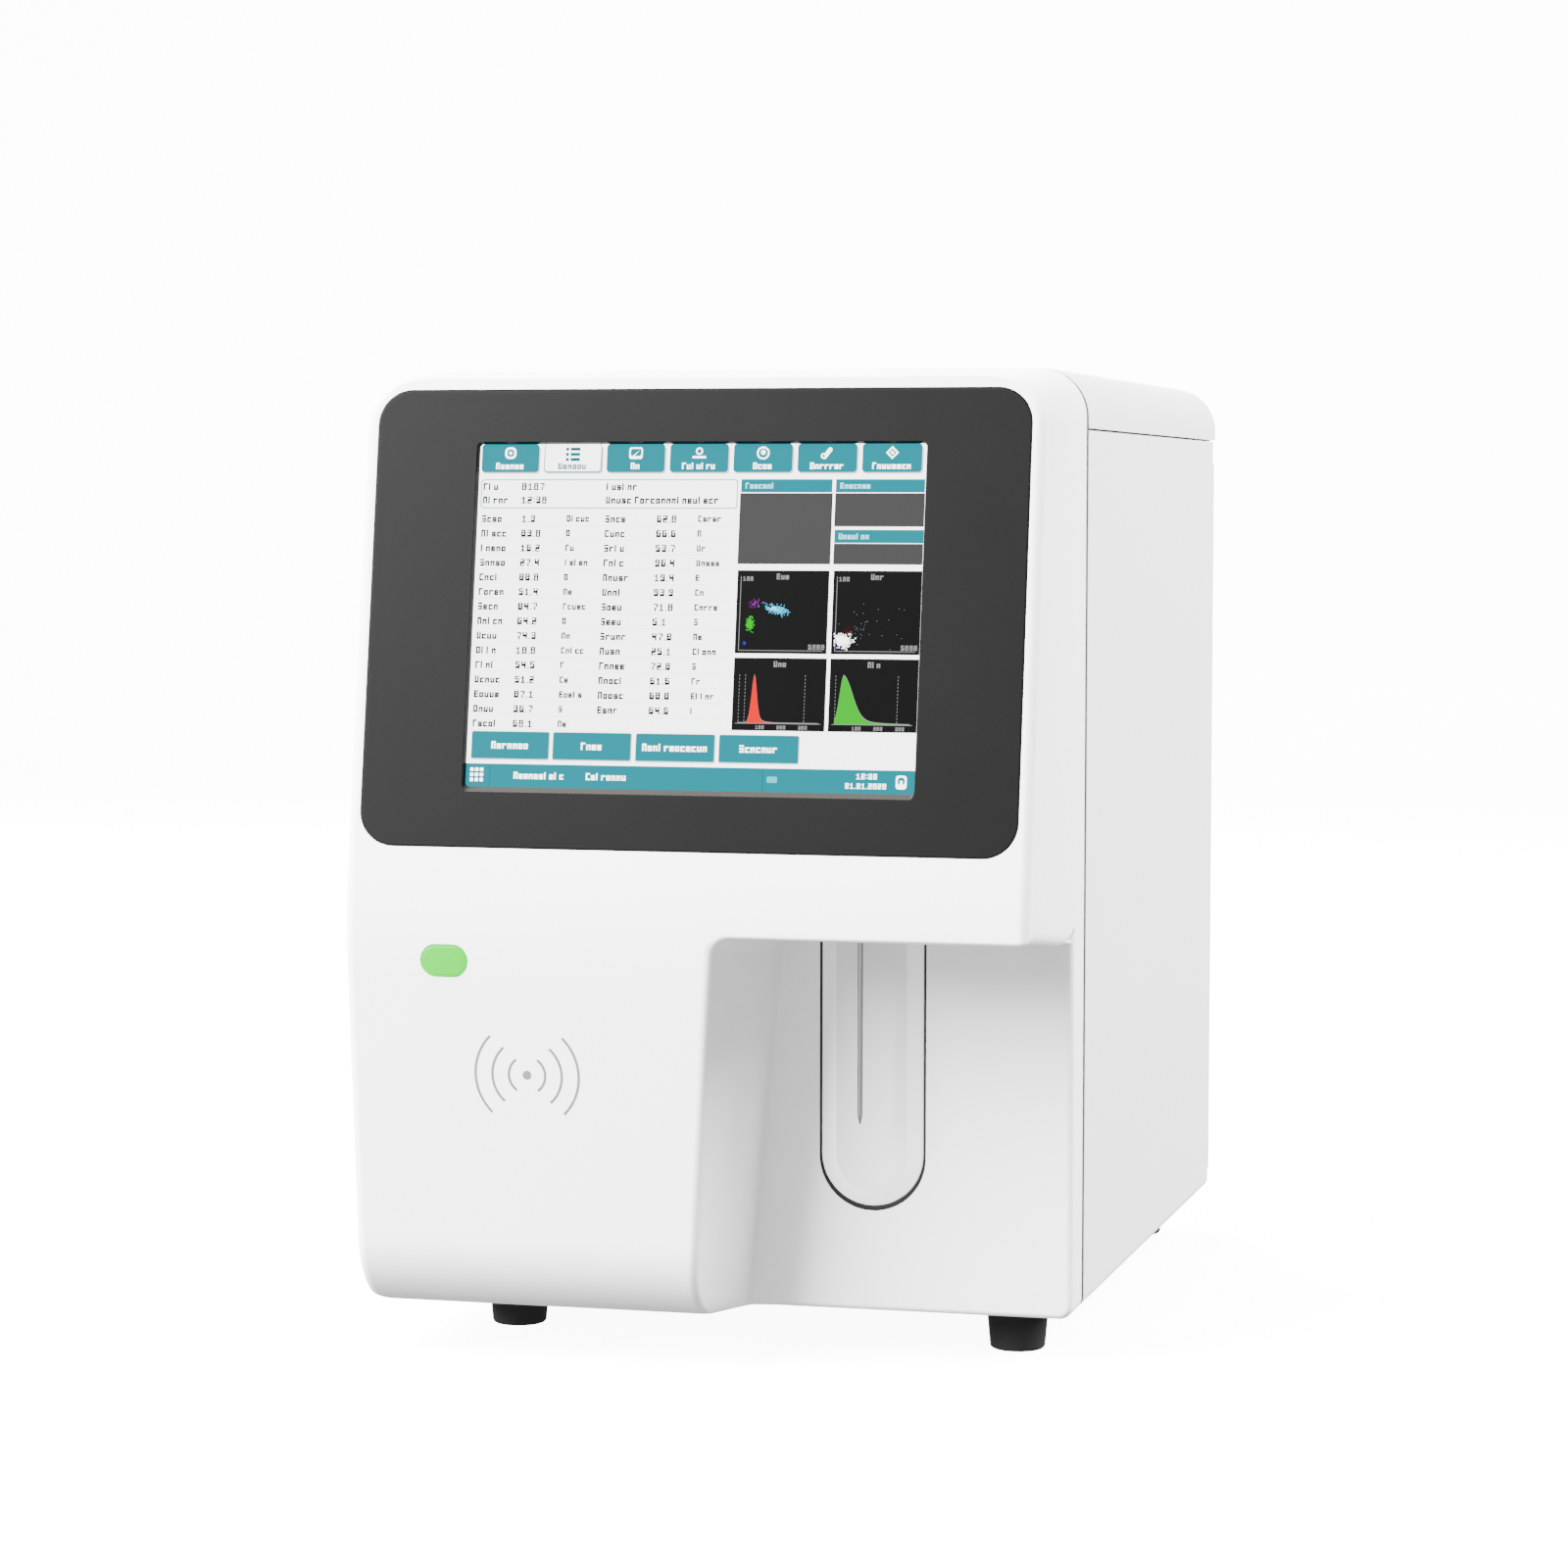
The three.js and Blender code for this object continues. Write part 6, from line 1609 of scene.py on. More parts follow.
@dataclass
class AspirateKey:
    """The long key in the recess's back wall, hinged at its top, with what carries it."""

    centre_x: float = 71.75
    half: float = 25.35
    low: float = 47.0
    top: float = 176.0
    top_corner: float = 3.0
    side_gap: float = 1.1
    bottom_gap: float = 2.3
    face: float = -28.0
    plate_depth: float = 3.0
    pad_rise: float = 3.0
    bevel: float = 8.0
    pivot: Range = (-20.0, 166.0)
    pin_radius: float = 2.0
    pin_play: float = 0.1
    ear_wall: float = 2.2
    ear_width: float = 4.0
    ear_inset: float = 4.0
    seal_play: float = 0.3
    seal_depth: Range = (0.3, 2.8)
    slanting: Range = (0.85, 0.97)

    def outline(self, side: float, low: float) -> Array:
        """The key's outline: square-shouldered at the top, a half circle at the bottom."""
        half = self.half - side
        corner = max(self.top_corner - side, 0.3)
        top = self.top - min(side, self.side_gap + 0.4) - corner
        return np.vstack([
            arc((self.centre_x, self.low + low + half), half, 180, 360, 48),
            arc((self.centre_x + half - corner, top), corner, 0, 90, 8),
            arc((self.centre_x - half + corner, top), corner, 90, 180, 8)])

    def pad(self) -> Shape:
        """The key's plate and raised pad: its bevel starts and ends in a small rounding."""
        rise, wide = self.pad_rise, self.bevel
        profile = [(0, self.plate_depth), (0, 0.4), (0.12, 0.12), (0.4, -0.06), (wide * 0.12, -rise * 0.12),
                   (wide * 0.85, -rise * 0.85), (wide * 0.94, -rise * 0.95), (wide * 1.06, -rise * 0.992),
                   (wide * 1.2, -rise)]
        side, low = self.side_gap, self.bottom_gap
        return loft([standing(self.outline(side + i, low + i), self.face + d) for i, d in profile])

    def ears(self) -> list[Shape]:
        """The two eyes that turn on the pin, each with its neck from the plate."""
        outer = self.pin_radius + self.pin_play + self.ear_wall
        reach = self.half - self.side_gap - self.ear_inset
        y, z = self.pivot
        shapes = []
        for left in (self.centre_x - reach, self.centre_x + reach - self.ear_width):
            span = (left, left + self.ear_width)
            shapes.append(ring_bar(outer, self.pin_radius + self.pin_play, span, Axis.X, (0, y, z)))
            neck = (self.face + self.plate_depth - 1, y - self.pin_radius - 0.6)
            shapes.append(cuboid(span, neck, about(z, 2 * outer), 0.3))
        return shapes

    def build(self) -> None:
        """Makes the key and dresses its pin, bracket and switch."""
        key = add_mesh("aspirate_key_moulding", self.pad().joined(*self.ears()), 20)
        centre, normal = face_places(key.data)
        steep, flat = self.slanting
        # The slanting rim faces, picked by which way they face, take a painted highlight
        rim = (-normal[:, 1] > steep) & (-normal[:, 1] < flat) & (centre[:, 1] < self.face)
        two_finishes(key.data, KEY_SHELL, KEY_RIM_HIGHLIGHT, rim)
        present(key, KEY_SHELL, "aspirate_key", body="aspirate_key")
        reach = self.half - self.side_gap - self.ear_inset
        pin = rod(self.pin_radius, about(self.centre_x, 2 * reach), Axis.X, (0, *self.pivot), 0.4)
        put("key_pin", pin, STEEL, "key_hinge_pin")
        inner = self.outline(self.side_gap - self.seal_play, self.bottom_gap - self.seal_play)
        front, back = self.seal_depth
        seal = holed_plate(self.outline(-0.1, -0.1), inner, self.face + front, self.face + back, 0.1)
        put("key_gap_seal", seal, RUBBER, weigh=False)
        dress("key_bracket", ZINC, 0.4)
        dress("key_switch", BLACK, 0.5)


# Casing

@dataclass
class Casing:
    """The painted sheets round the body: top cover, side panel, service door and rear panel."""

    width: float = BODY_WIDTH
    height: float = BODY_HEIGHT
    depth: float = 376.0
    top_radius: float = TOP_CORNER
    bottom_radius: float = BOTTOM_CORNER
    sheet: float = 2.5
    groove: float = 2.0
    seam: float = SIDE_SEAM
    seam_gap: float = 1.0
    curl: float = 13.6
    soft: float = 0.6
    bead_radius: float = 4.5
    bead: Range = (11.1, 397.0)
    bead_bore: float = 1.6
    notch: float = 3.0
    sharp: float = 35.0
    slot: Range = (30.0, 3.5)
    slot_pitch: Range = (38.0, 8.0)
    slot_rows: int = 9
    vent_z: float = 320.0

    def __post_init__(self) -> None:
        """Works out the places that follow from the sheets' sizes."""
        self.half = self.width / 2
        self.front = self.groove / 2
        self.hinge = (self.half - self.bead_radius, self.depth - self.bead_radius)

    def top_section(self) -> Array:
        """The top cover's bent section: up one side, round both corners and back inside."""
        low = self.seam + self.seam_gap / 2
        x, z, inner = self.half - self.top_radius, self.height - self.top_radius, self.top_radius - self.sheet
        return np.vstack([
            [[self.half, low]],
            arc((x, z), self.top_radius, 0, 90, 20),
            arc((-x, z), self.top_radius, 90, 180, 20),
            [[-self.half, low], [self.sheet - self.half, low]],
            arc((-x, z), inner, 180, 90, 20),
            arc((x, z), inner, 90, 0, 20),
            [[self.half - self.sheet, low]]])

    def side_section(self) -> Array:
        """The right side's bent section: upright, then curled in under the body."""
        top, r = self.seam - self.seam_gap / 2, self.bottom_radius
        inner = self.half - self.sheet
        return np.vstack([
            [[self.half, top], [inner, top]], arc((self.half - r, r), r - self.sheet, 0, -90, 10),
            [[self.half - self.curl, self.sheet], [self.half - self.curl, 0]],
            arc((self.half - r, r), r, -90, 0, 12)])

    def slots(self, origin: Point, turn: float) -> list[Shape]:
        """Two columns of level slots with round ends, drawn facing the back and then turned.

        Args:
            origin: the middle of the two columns.
            turn: the angle that turns them to their panel.

        Returns:
            One cutter for each slot.
        """
        (wide, tall), (column_pitch, row_pitch) = self.slot, self.slot_pitch
        cutters = []
        for column in (-0.5, 0.5):
            for row in range(self.slot_rows):
                z = (row - (self.slot_rows - 1) / 2) * row_pitch
                loop = rounded(about(column * column_pitch, wide), about(z, tall), tall / 2, 7)
                cutters.append(plate(loop, -8, 8, 0.1).turned_by(Matrix.Rotation(turn, 3, "Z"), origin))
        return cutters

    def bent(self, section: Array, depth: float) -> Shape:
        """A sheet bent to a section that runs back from the groove."""
        return plate(section, self.front, depth, self.soft)

    def left_panel(self) -> None:
        """The left side with its two columns of vents."""
        loop = (self.side_section() * [-1, 1])[::-1]
        piece = add_mesh("left_side_sheet", self.bent(loop, self.depth), self.sharp)
        carve(piece, self.slots((-self.half, self.depth / 2, self.vent_z), QUARTER), self.sharp)
        present(piece, PAINT, "left_side_panel")

    def door(self) -> None:
        """The service door: the bent sheet, a strip to the bead, and the rolled bead with its bore."""
        x, y = self.hinge
        skin = self.bent(self.side_section(), y - self.notch)
        strip = cuboid((self.half - self.sheet, self.half), (y - self.notch - 0.8, y - 1), self.bead, 0.4)
        bead = ring_bar(self.bead_radius, self.bead_bore, self.bead, Axis.Z, (x, y, 0), 0.5)
        put("service_door_sheet", [skin, strip, bead], PAINT, "service_door", smooth=self.sharp,
            body="service_door")

    def build(self) -> None:
        """Makes the sheets of the casing."""
        top = self.bent(self.top_section(), self.depth)
        put("top_cover_sheet", top, PAINT, "top_cover", smooth=self.sharp)
        self.left_panel()
        self.door()
        dress("rear_panel", PAINT, 0.3)


@dataclass
class Foot:
    """A tapered rubber foot with a rounded lower edge and a screw hollow underneath."""

    name: str
    x: float
    y: float
    top_radius: float
    height: float = 22.5
    taper: float = 1.9
    edge: float = 2.0
    gap: float = 0.3
    hollow: Range = (4.0, 6.0)

    def build(self) -> None:
        """Turns the foot's profile about its own axis."""
        low = -self.height
        radius, deep = self.hollow
        turn = np.linspace(-QUARTER, 0, 7)
        inside = self.top_radius - self.taper - self.edge
        rim = [(inside + self.edge * math.cos(t), low + self.edge + self.edge * math.sin(t)) for t in turn]
        profile = [(0, low + deep), (radius - 0.5, low + deep), (radius, low + deep - 0.5),
                   (radius, low + 0.4), (radius + 0.4, low), *rim]
        profile += [(self.top_radius - 0.25, -self.gap - 1.6), (self.top_radius, -self.gap - 1.0),
                    (self.top_radius, -self.gap), (0, -self.gap)]
        shape = turned(profile, Axis.Z, (self.x, self.y, 0), 56)
        put(f"{self.name}_rubber", shape, RUBBER, self.name, smooth=40)


FEET = (Foot("foot_front_left", -115, 16, 15.0), Foot("foot_front_right", 132, 16, 15.0),
        Foot("foot_rear_left", -132, 348, 13.6), Foot("foot_rear_right", 132, 348, 13.6))


# Chassis

def screw(radius: float, height: float, axis: Axis, centre: Point) -> Shape:
    """A domed screw head with a six-lobed socket.

    The head is a profile carried round the axis: its radius and height are shares of the head's,
    and the third number says by what share the socket swells with the cosine of six turns.

    Args:
        radius: the head's radius.
        height: how far it stands out.
        axis: the direction of the axis.
        centre: the middle of its seat.

    Returns:
        The closed head.
    """
    turn = np.linspace(0, 2 * math.pi, 36, endpoint=False)
    profile = np.array([(1, 0, 0), (1, 0.35, 0), (0.88, 0.72, 0), (0.66, 0.96, 0), (0.52, 1, 0),
                        (0.4, 1, 0.16), (0.4, 0.4, 0.16), (0.02, 0.4, 0)])
    reach = radius * profile[:, :1] * (1 + profile[:, 2:] * np.cos(6 * turn))
    along = np.broadcast_to(profile[:, 1:2] * height, reach.shape)
    flat = [reach * np.cos(turn), reach * np.sin(turn), along]
    return loft(np.stack([flat[i] for i in axis.value], -1) + np.array(centre))


@dataclass
class Chassis:
    """The zinc-coated sheets that carry everything, the door's hinges and the small closing pieces."""

    screw_radius: float = 3.1
    screw_height: float = 1.1
    rear_face: float = 374.7
    rear_columns: Range = (-153.0, 149.0)
    rear_rows: tuple[float, ...] = (16.0, 140.0, 268.0, 396.0)
    rear_top: tuple[float, ...] = (-100.0, 0.0, 100.0)
    rear_top_z: float = 425.0
    corner_levels: tuple[Range, ...] = ((2.9, 8.0), (400.2, 409.0))
    corner_web: tuple[Range, Range] = ((150.0, 163.4), (363.0, 365.4))
    corner_flange: tuple[Range, Range] = ((150.0, 155.9), (364.8, 371.9))
    stop_across: Range = (163.0, 166.3)
    stop_y: float = 306.0
    stop_size: Range = (1.8, 0.9)

    def corners(self) -> None:
        """Closes the rear right corner over and under the door's bead with bent strips."""
        for name, level in zip(("lower", "upper"), self.corner_levels):
            legs = [cuboid(*leg, level, 0.3) for leg in (self.corner_web, self.corner_flange)]
            put(f"corner_strip_{name}", legs, PAINT)

    def screws(self) -> None:
        """The screws round the rear panel and the door's small stop in the upper seam."""
        spots = [(x, z) for x in self.rear_columns for z in self.rear_rows]
        spots += [(x, self.rear_top_z) for x in self.rear_top]
        heads = [screw(self.screw_radius, self.screw_height, Axis.Y, (x, self.rear_face, z))
                 for x, z in spots]
        put("rear_panel_screws", heads, STEEL, smooth=28, weigh=False)
        long, high = self.stop_size
        stop = cuboid(self.stop_across, about(self.stop_y, long), about(SIDE_SEAM, high), 0.15)
        put("seam_stop", stop, BLACK)

    def build(self) -> None:
        """Dresses the sheets and adds the corner strips and screws."""
        for node in ("front_frame", "base_plate", "inner_panel", "door_hinge_lower", "door_hinge_upper"):
            dress(node, ZINC, 0.3)
        dress("door_catch", BLACK, 0.6)
        self.corners()
        self.screws()


@dataclass
class ProbeLift:
    """The needle with the rail, carriage, belt and motor that raise it."""

    needle: Range = (71.75, -53.0)
    tip: float = 91.0
    hub: Range = (230.3, 240.3)
    radius: float = 1.25
    hub_radius: float = 4.0
    pulley_x: float = 98.0
    pulley_y: float = -31.2
    pulleys: tuple[tuple[str, float], ...] = (("drive_pulley", 384.0), ("idler_pulley", 212.0))
    teeth: int = 20
    tooth_radius: float = 6.25
    tooth_depth: float = 0.45
    tooth_width: float = 6.0

    def sample_probe(self) -> None:
        """The needle: ground to a point at the bottom, crimped into a round hub at the top."""
        (x, y), r = self.needle, self.radius
        low, high = self.hub
        share = np.linspace(0, 1, 7)
        point = [(0.35 + (r - 0.35) * math.sin(QUARTER * s), self.tip + 6.0 * s) for s in share]
        shaft = turned([(0, self.tip), *point, (r, low + 1), (0, low + 1)], Axis.Z, (x, y, 0), 32)
        wide = self.hub_radius
        hub = [(0, low), (3.2, low), (wide, low + 0.8), (wide, high - 4.5), (3.4, high - 4.0),
               (2.2, high - 3.6), (2.2, high - 2.4), (2.6, high - 2.2), (1.7, high), (0, high)]
        shapes = [shaft, turned(hub, Axis.Z, (x, y, 0), 32)]
        put("sample_needle", shapes, NEEDLE, "sample_probe", smooth=40, body="probe_lift", weigh=False)

    def toothed(self, name: str, z: float) -> None:
        """Puts teeth between a pulley's flanges: the radius swells with the cosine of the tooth count."""
        turn = np.linspace(0, 2 * math.pi, self.teeth * 8, endpoint=False)
        wave = self.tooth_radius - self.tooth_depth * (0.5 + 0.5 * np.tanh(4 * np.cos(self.teeth * turn)))
        loop = np.stack([self.pulley_x + wave * np.cos(turn), z + wave * np.sin(turn)], -1)
        rings = [standing(loop, y) for y in about(self.pulley_y, self.tooth_width)]
        dress(name, ALUMINIUM, 0.2, name)
        put(f"{name}_teeth", loft(rings), ALUMINIUM, smooth=50, body=name, weigh=False)

    def build(self) -> None:
        """Makes the needle and dresses what moves and holds it."""
        self.sample_probe()
        for name, z in self.pulleys:
            self.toothed(name, z)
        dress("probe_frame", ZINC, 0.3)
        dress("probe_rail", STEEL, 0.5)
        dress("probe_carriage", BLACK, 0.6, "probe_lift")
        dress("wash_block", ACRYLIC, 0.5)
        dress("lift_motor", BLACK, 0.5)
        dress("idler_pin", STEEL, 0.2)
        dress("lift_belt", RUBBER, 0.2)


# Fluids and electronics behind the service door

# Each hose's radius and the points of its path, listed from fitting to fitting
HOSES: dict[str, tuple[float, list[Point]]] = {
    "bath_drain_hose_front": (1.9, [
        (64.8, 60, 243), (64.8, 60, 234), (62, 60, 222), (57, 60, 211), (56, 60, 201.5)]),
    "bath_drain_hose_rear": (1.9, [
        (64.8, 106, 243), (64.8, 106, 234), (62, 106, 222), (57, 106, 211), (56, 106, 201.5)]),
    "syringe_hose": (1.9, [
        (68.8, 210, 251.5), (68.8, 210, 260), (66, 203, 270), (61, 190, 272), (57, 178, 262), (56, 171, 242),
        (56, 170, 220), (56, 170, 201.5)]),
    "diluent_hose": (2.8, [
        (75, 362, 120), (75, 348, 120), (69, 318, 130), (56, 280, 154), (47.5, 245, 176), (46.8, 215, 187),
        (48, 196, 190.5), (51, 181, 191)]),
    "lyse_hose": (2.8, [
        (103, 362, 120), (103, 347, 120), (95, 318, 132), (72, 288, 164), (53, 260, 196), (47.3, 232, 214),
        (47, 205, 222), (48.5, 184, 220), (51, 172, 212), (52, 168, 201.5)]),
    "pump_inlet_hose": (2.6, [
        (56, 68, 181), (57, 67, 170), (66, 60, 152), (82, 52, 132), (93, 51, 114), (97, 56, 101),
        (97, 65, 96), (97, 73, 96)]),
    "waste_hose": (2.8, [
        (97, 119, 96), (97, 130, 94), (99, 148, 78), (103, 172, 44), (108, 200, 16), (114, 232, 6.2),
        (120, 268, 6.2), (126, 305, 18), (130, 334, 56), (131, 348, 92), (131, 353, 110), (131, 357, 119),
        (131, 362, 120)]),
    "bath_feed_hose_front": (1.6, [
        (58.8, 55, 307), (58.8, 55, 318), (54, 62, 330), (49, 80, 334), (47, 104, 326), (46.5, 120, 300),
        (46.5, 128, 262), (48, 130, 228), (50, 130, 201.5)]),
    "bath_feed_hose_rear": (1.6, [
        (58.8, 101, 307), (58.8, 101, 316), (55, 108, 326), (49, 122, 324), (46.5, 136, 300),
        (46.5, 142, 262), (48, 143, 228), (50, 143, 201.5)])}


@dataclass
class Fluidics:
    """Baths, counting bench, syringe, valves and pump on the inner panel, and the hoses between them."""

    face: float = 42.8
    baths: tuple[tuple[str, float], ...] = (("wbc_bath", 60.0), ("rbc_bath", 106.0))
    bath_x: float = 64.8
    bath_levels: Range = (250.0, 296.0)
    bath_radius: float = 15.0
    stubs: tuple[Range, ...] = ((-6.0, -5.0), (6.0, -5.0), (0.0, 7.0))
    syringe: Range = (68.8, 210.0)
    bore: float = 5.5
    play: float = 0.3
    head: Range = (190.3, 198.3)
    rod_radius: float = 2.5
    rod_foot: float = 96.0
    valves: tuple[float, ...] = (57.33, 80.0, 102.67, 125.33, 148.0, 170.67)
    valve_z: float = 191.0
    valve_span: Range = (66.8, 96.8)
    valve_radius: float = 8.5
    pump: Range = (96.0, 96.0)
    pump_face: float = 88.8
    rotor_radius: float = 15.0
    rotor_depth: float = 11.0
    rotor_cut: float = 2.2
    roller_radius: float = 4.2
    roller_reach: float = 15.2
    rollers: int = 3
    bench_barrel: Point = (73.8, 308.0, 326.0)
    bench_cap: Range = (225.0, 118.8)
    bench_ring: Range = (14.6, 9.0)
    bench_lid: float = 104.8
    bench_screw_rows: Range = (166.0, 284.0)
    bench_screw_levels: Range = (291.5, 324.5)

    def bath_fittings(self) -> None:
        """The screwed cap with its inlet stubs over each bath and the drain under it."""
        low, high = self.bath_levels
        for name, y in self.baths:
            dress(name, ACRYLIC, 0.5)
            r = self.bath_radius + 0.6
            cap = [(0, high + 0.1), (r - 0.6, high + 0.1), (r, high + 0.7), (r, high + 5.4),
                   (r - 0.8, high + 6.2), (0, high + 6.2)]
            stub = [(0, high + 6), (2.6, high + 6), (2.6, high + 8), (1.7, high + 8.4), (1.9, high + 11),
                    (1.2, high + 13), (0, high + 13)]
            shapes = [turned(cap, Axis.Z, (self.bath_x, y, 0), 56)]
            shapes += [turned(stub, Axis.Z, (self.bath_x + dx, y + dy, 0), 20) for dx, dy in self.stubs]
            put(f"{name}_cap", shapes, BLACK)
            drain = [(0, low - 9), (1.6, low - 9), (2.2, low - 6.4), (1.8, low - 6.2), (1.8, low - 4),
                     (4.2, low - 4), (4.2, low + 0.2), (0, low + 0.2)]
            put(f"{name}_drain", turned(drain, Axis.Z, (self.bath_x, y, 0), 24), GREY)

    def syringe_drive(self) -> None:
        """The clear barrel, the plunger with its sealing rings and the motor under it."""
        dress("syringe_barrel", ACRYLIC, 0.5)
        dress("syringe_motor", BLACK, 0.6)
        (x, y), (low, high) = self.syringe, self.head
        r = self.bore - self.play
        groove = [(r - 0.5 if i % 2 else r, low + 0.6 + 1.1 * i + d) for i in range(1, 6) for d in (0.1, 1.0)]
        head = [(0, low), (r - 0.5, low), (r, low + 0.5), *groove,
                (r, high - 0.6), (r - 0.6, high), (0, high)]
        shaft = rod(self.rod_radius, (self.rod_foot + 2.3, low + 0.5), Axis.Z, (x, y, 0), 0.4)
        shapes = [turned(head, Axis.Z, (x, y, 0), 40), shaft]
        put("plunger_rod_and_head", shapes, STEEL, "syringe_plunger", body="syringe_plunger")

    def manifold(self) -> None:
        """The valve block with a coil case and a nut on each valve."""
        dress("valve_manifold", GREY, 0.6)
        (low, high), r = self.valve_span, self.valve_radius
        nut = [(0, high - 0.2), (4.6, high - 0.2), (5.0, high + 0.3), (5.0, high + 2.6), (4.6, high + 3),
               (0, high + 3)]
        places = [(0, y, self.valve_z) for y in self.valves]
        cases = [ring_bar(r + 0.7, r - 0.4, (low + 5, high - 7), Axis.X, place, 0.5) for place in places]
        nuts = [turned(nut, Axis.X, place, 6) for place in places]
        put("valve_coil_cases", cases, BLACK)
        put("valve_nuts", nuts, STEEL)

    def peristaltic(self) -> None:
        """The pump and its rotor: a disc cut back between three rollers on pins."""
        dress("waste_pump", BLACK, 0.7)
        y, z = self.pump
        low = self.pump_face + 0.3
        high = low + self.rotor_depth
        turn = np.linspace(0, 2 * math.pi, 96, endpoint=False)
        wave = self.rotor_radius - self.rotor_cut * (0.5 - 0.5 * np.cos(self.rollers * turn)) ** 2
        loop = np.stack([y + wave * np.cos(turn), z + wave * np.sin(turn)], -1)
        flange = ((0, 0.4), (0.4, 0), (2.4, 0), (2.8, 0.4), (2.8, 4.0))
        levels = [(low + rise, i) for rise, i in flange] + [(high - rise, i) for rise, i in flange[::-1]]
        rings = [np.stack([np.full(len(loop), x), *inset(loop, i).T], -1) for x, i in levels]
        shaft = rod(3.0, (self.pump_face - 8, low + 1), Axis.X, (0, y, z), 0.3)
        nut = turned([(0, high), (3.4, high), (3.4, high + 0.2), (0, high + 0.2)], Axis.X, (0, y, z), 6)
        put("pump_spider", [loft(rings), shaft, nut], GREY, "pump_rotor", body="pump_rotor")
        reach = self.roller_reach
        places = [(0, y + reach * math.cos(t), z + reach * math.sin(t))
                  for t in np.linspace(0, 2 * math.pi, self.rollers, endpoint=False)]
        span = (low + 0.2, high - 0.2)
        rollers = [rod(self.roller_radius, span, Axis.X, place, 0.5, 28) for place in places]
        put("pump_rollers", rollers, SILICONE, body="pump_rotor", slot="grey_plastic")

    def bench(self) -> None:
        """The counting bench with the ring that holds its lens and the screws of its lid."""
        dress("optical_bench", BLACK, 0.8)
        (x, z, end), (y, face) = self.bench_barrel, self.bench_cap
        outer, inner = self.bench_ring
        ring = ring_bar(outer, inner, (end - 5, end + 0.6), Axis.Y, (x, 0, z), 0.5)
        cap = ring_bar(outer, inner - 1, (face - 5.3, face + 0.4), Axis.X, (0, y, z), 0.5)
        put("bench_lens_rings", [ring, cap], ALUMINIUM)
        heads = [screw(2.8, 1.4, Axis.X, (self.bench_lid, row, level))
                 for row in self.bench_screw_rows for level in self.bench_screw_levels]
        put("bench_screws", heads, STEEL, smooth=28, weigh=False)

    def hoses(self) -> None:
        """The hoses: each a circle carried along a smooth path from one fitting to the next."""
        for name, (radius, path) in HOSES.items():
            put(name, hose(path, radius), SILICONE, smooth=60, weigh=False)

    def build(self) -> None:
        """Makes and dresses the fluid units."""
        self.bath_fittings()
        self.syringe_drive()
        self.manifold()
        self.peristaltic()
        self.bench()
        self.hoses()


@dataclass
class Electronics:
    """The main board on the far side of the inner panel and the power supply.

    A chip or socket is its middle across and up the board, its width, its height and how far it
    stands out. A can is its middle alone.
    """

    board_face: float = 29.7
    board_y: float = 60.0
    board_z: float = 130.0
    chips: tuple[tuple[float, ...], ...] = (
        (60, 120, 26, 26, 2.2), (110, 128, 20, 14, 1.8), (24, 60, 14, 10, 1.6), (60, 62, 18, 12, 1.8),
        (98, 70, 12, 12, 1.6), (150, 60, 22, 16, 2.0), (170, 120, 30, 8, 9.0), (20, 150, 34, 8, 9.0),
        (90, 184, 60, 8, 9.0), (30, 14, 40, 8, 9.0), (120, 14, 50, 8, 9.0), (186, 24, 10, 22, 12.0))
    cans: tuple[Range, ...] = ((150, 96), (166, 92), (186, 66), (186, 86), (30, 106), (40, 96))
    can: Range = (5.0, 12.0)

    def build(self) -> None:
        """Places the chips, sockets and capacitors on the board's outer face."""
        dress("main_board", BOARD, 0.15)
        dress("power_supply", ZINC, 0.4)
        blocks = [cuboid((self.board_face - tall, self.board_face + 0.1), about(self.board_y + y, wide),
                         about(self.board_z + z, high), 0.3) for y, z, wide, high, tall in self.chips]
        put("board_chips_and_sockets", blocks, BLACK)
        radius, tall = self.can
        cans = [rod(radius, (self.board_face - tall, self.board_face + 0.1), Axis.X,
                    (0, self.board_y + y, self.board_z + z), 0.6, 28) for y, z in self.cans]
        put("board_capacitors", cans, ALUMINIUM)


# Rear fittings

class PortColour(Enum):
    """The collar colour that tells the hose ports apart."""

    DILUENT = ("diluent_port", 75.0, "#0A3C8C")
    LYSE = ("lyse_port", 103.0, "#0C6A2A")
    WASTE = ("waste_port", 131.0, "#A37605")


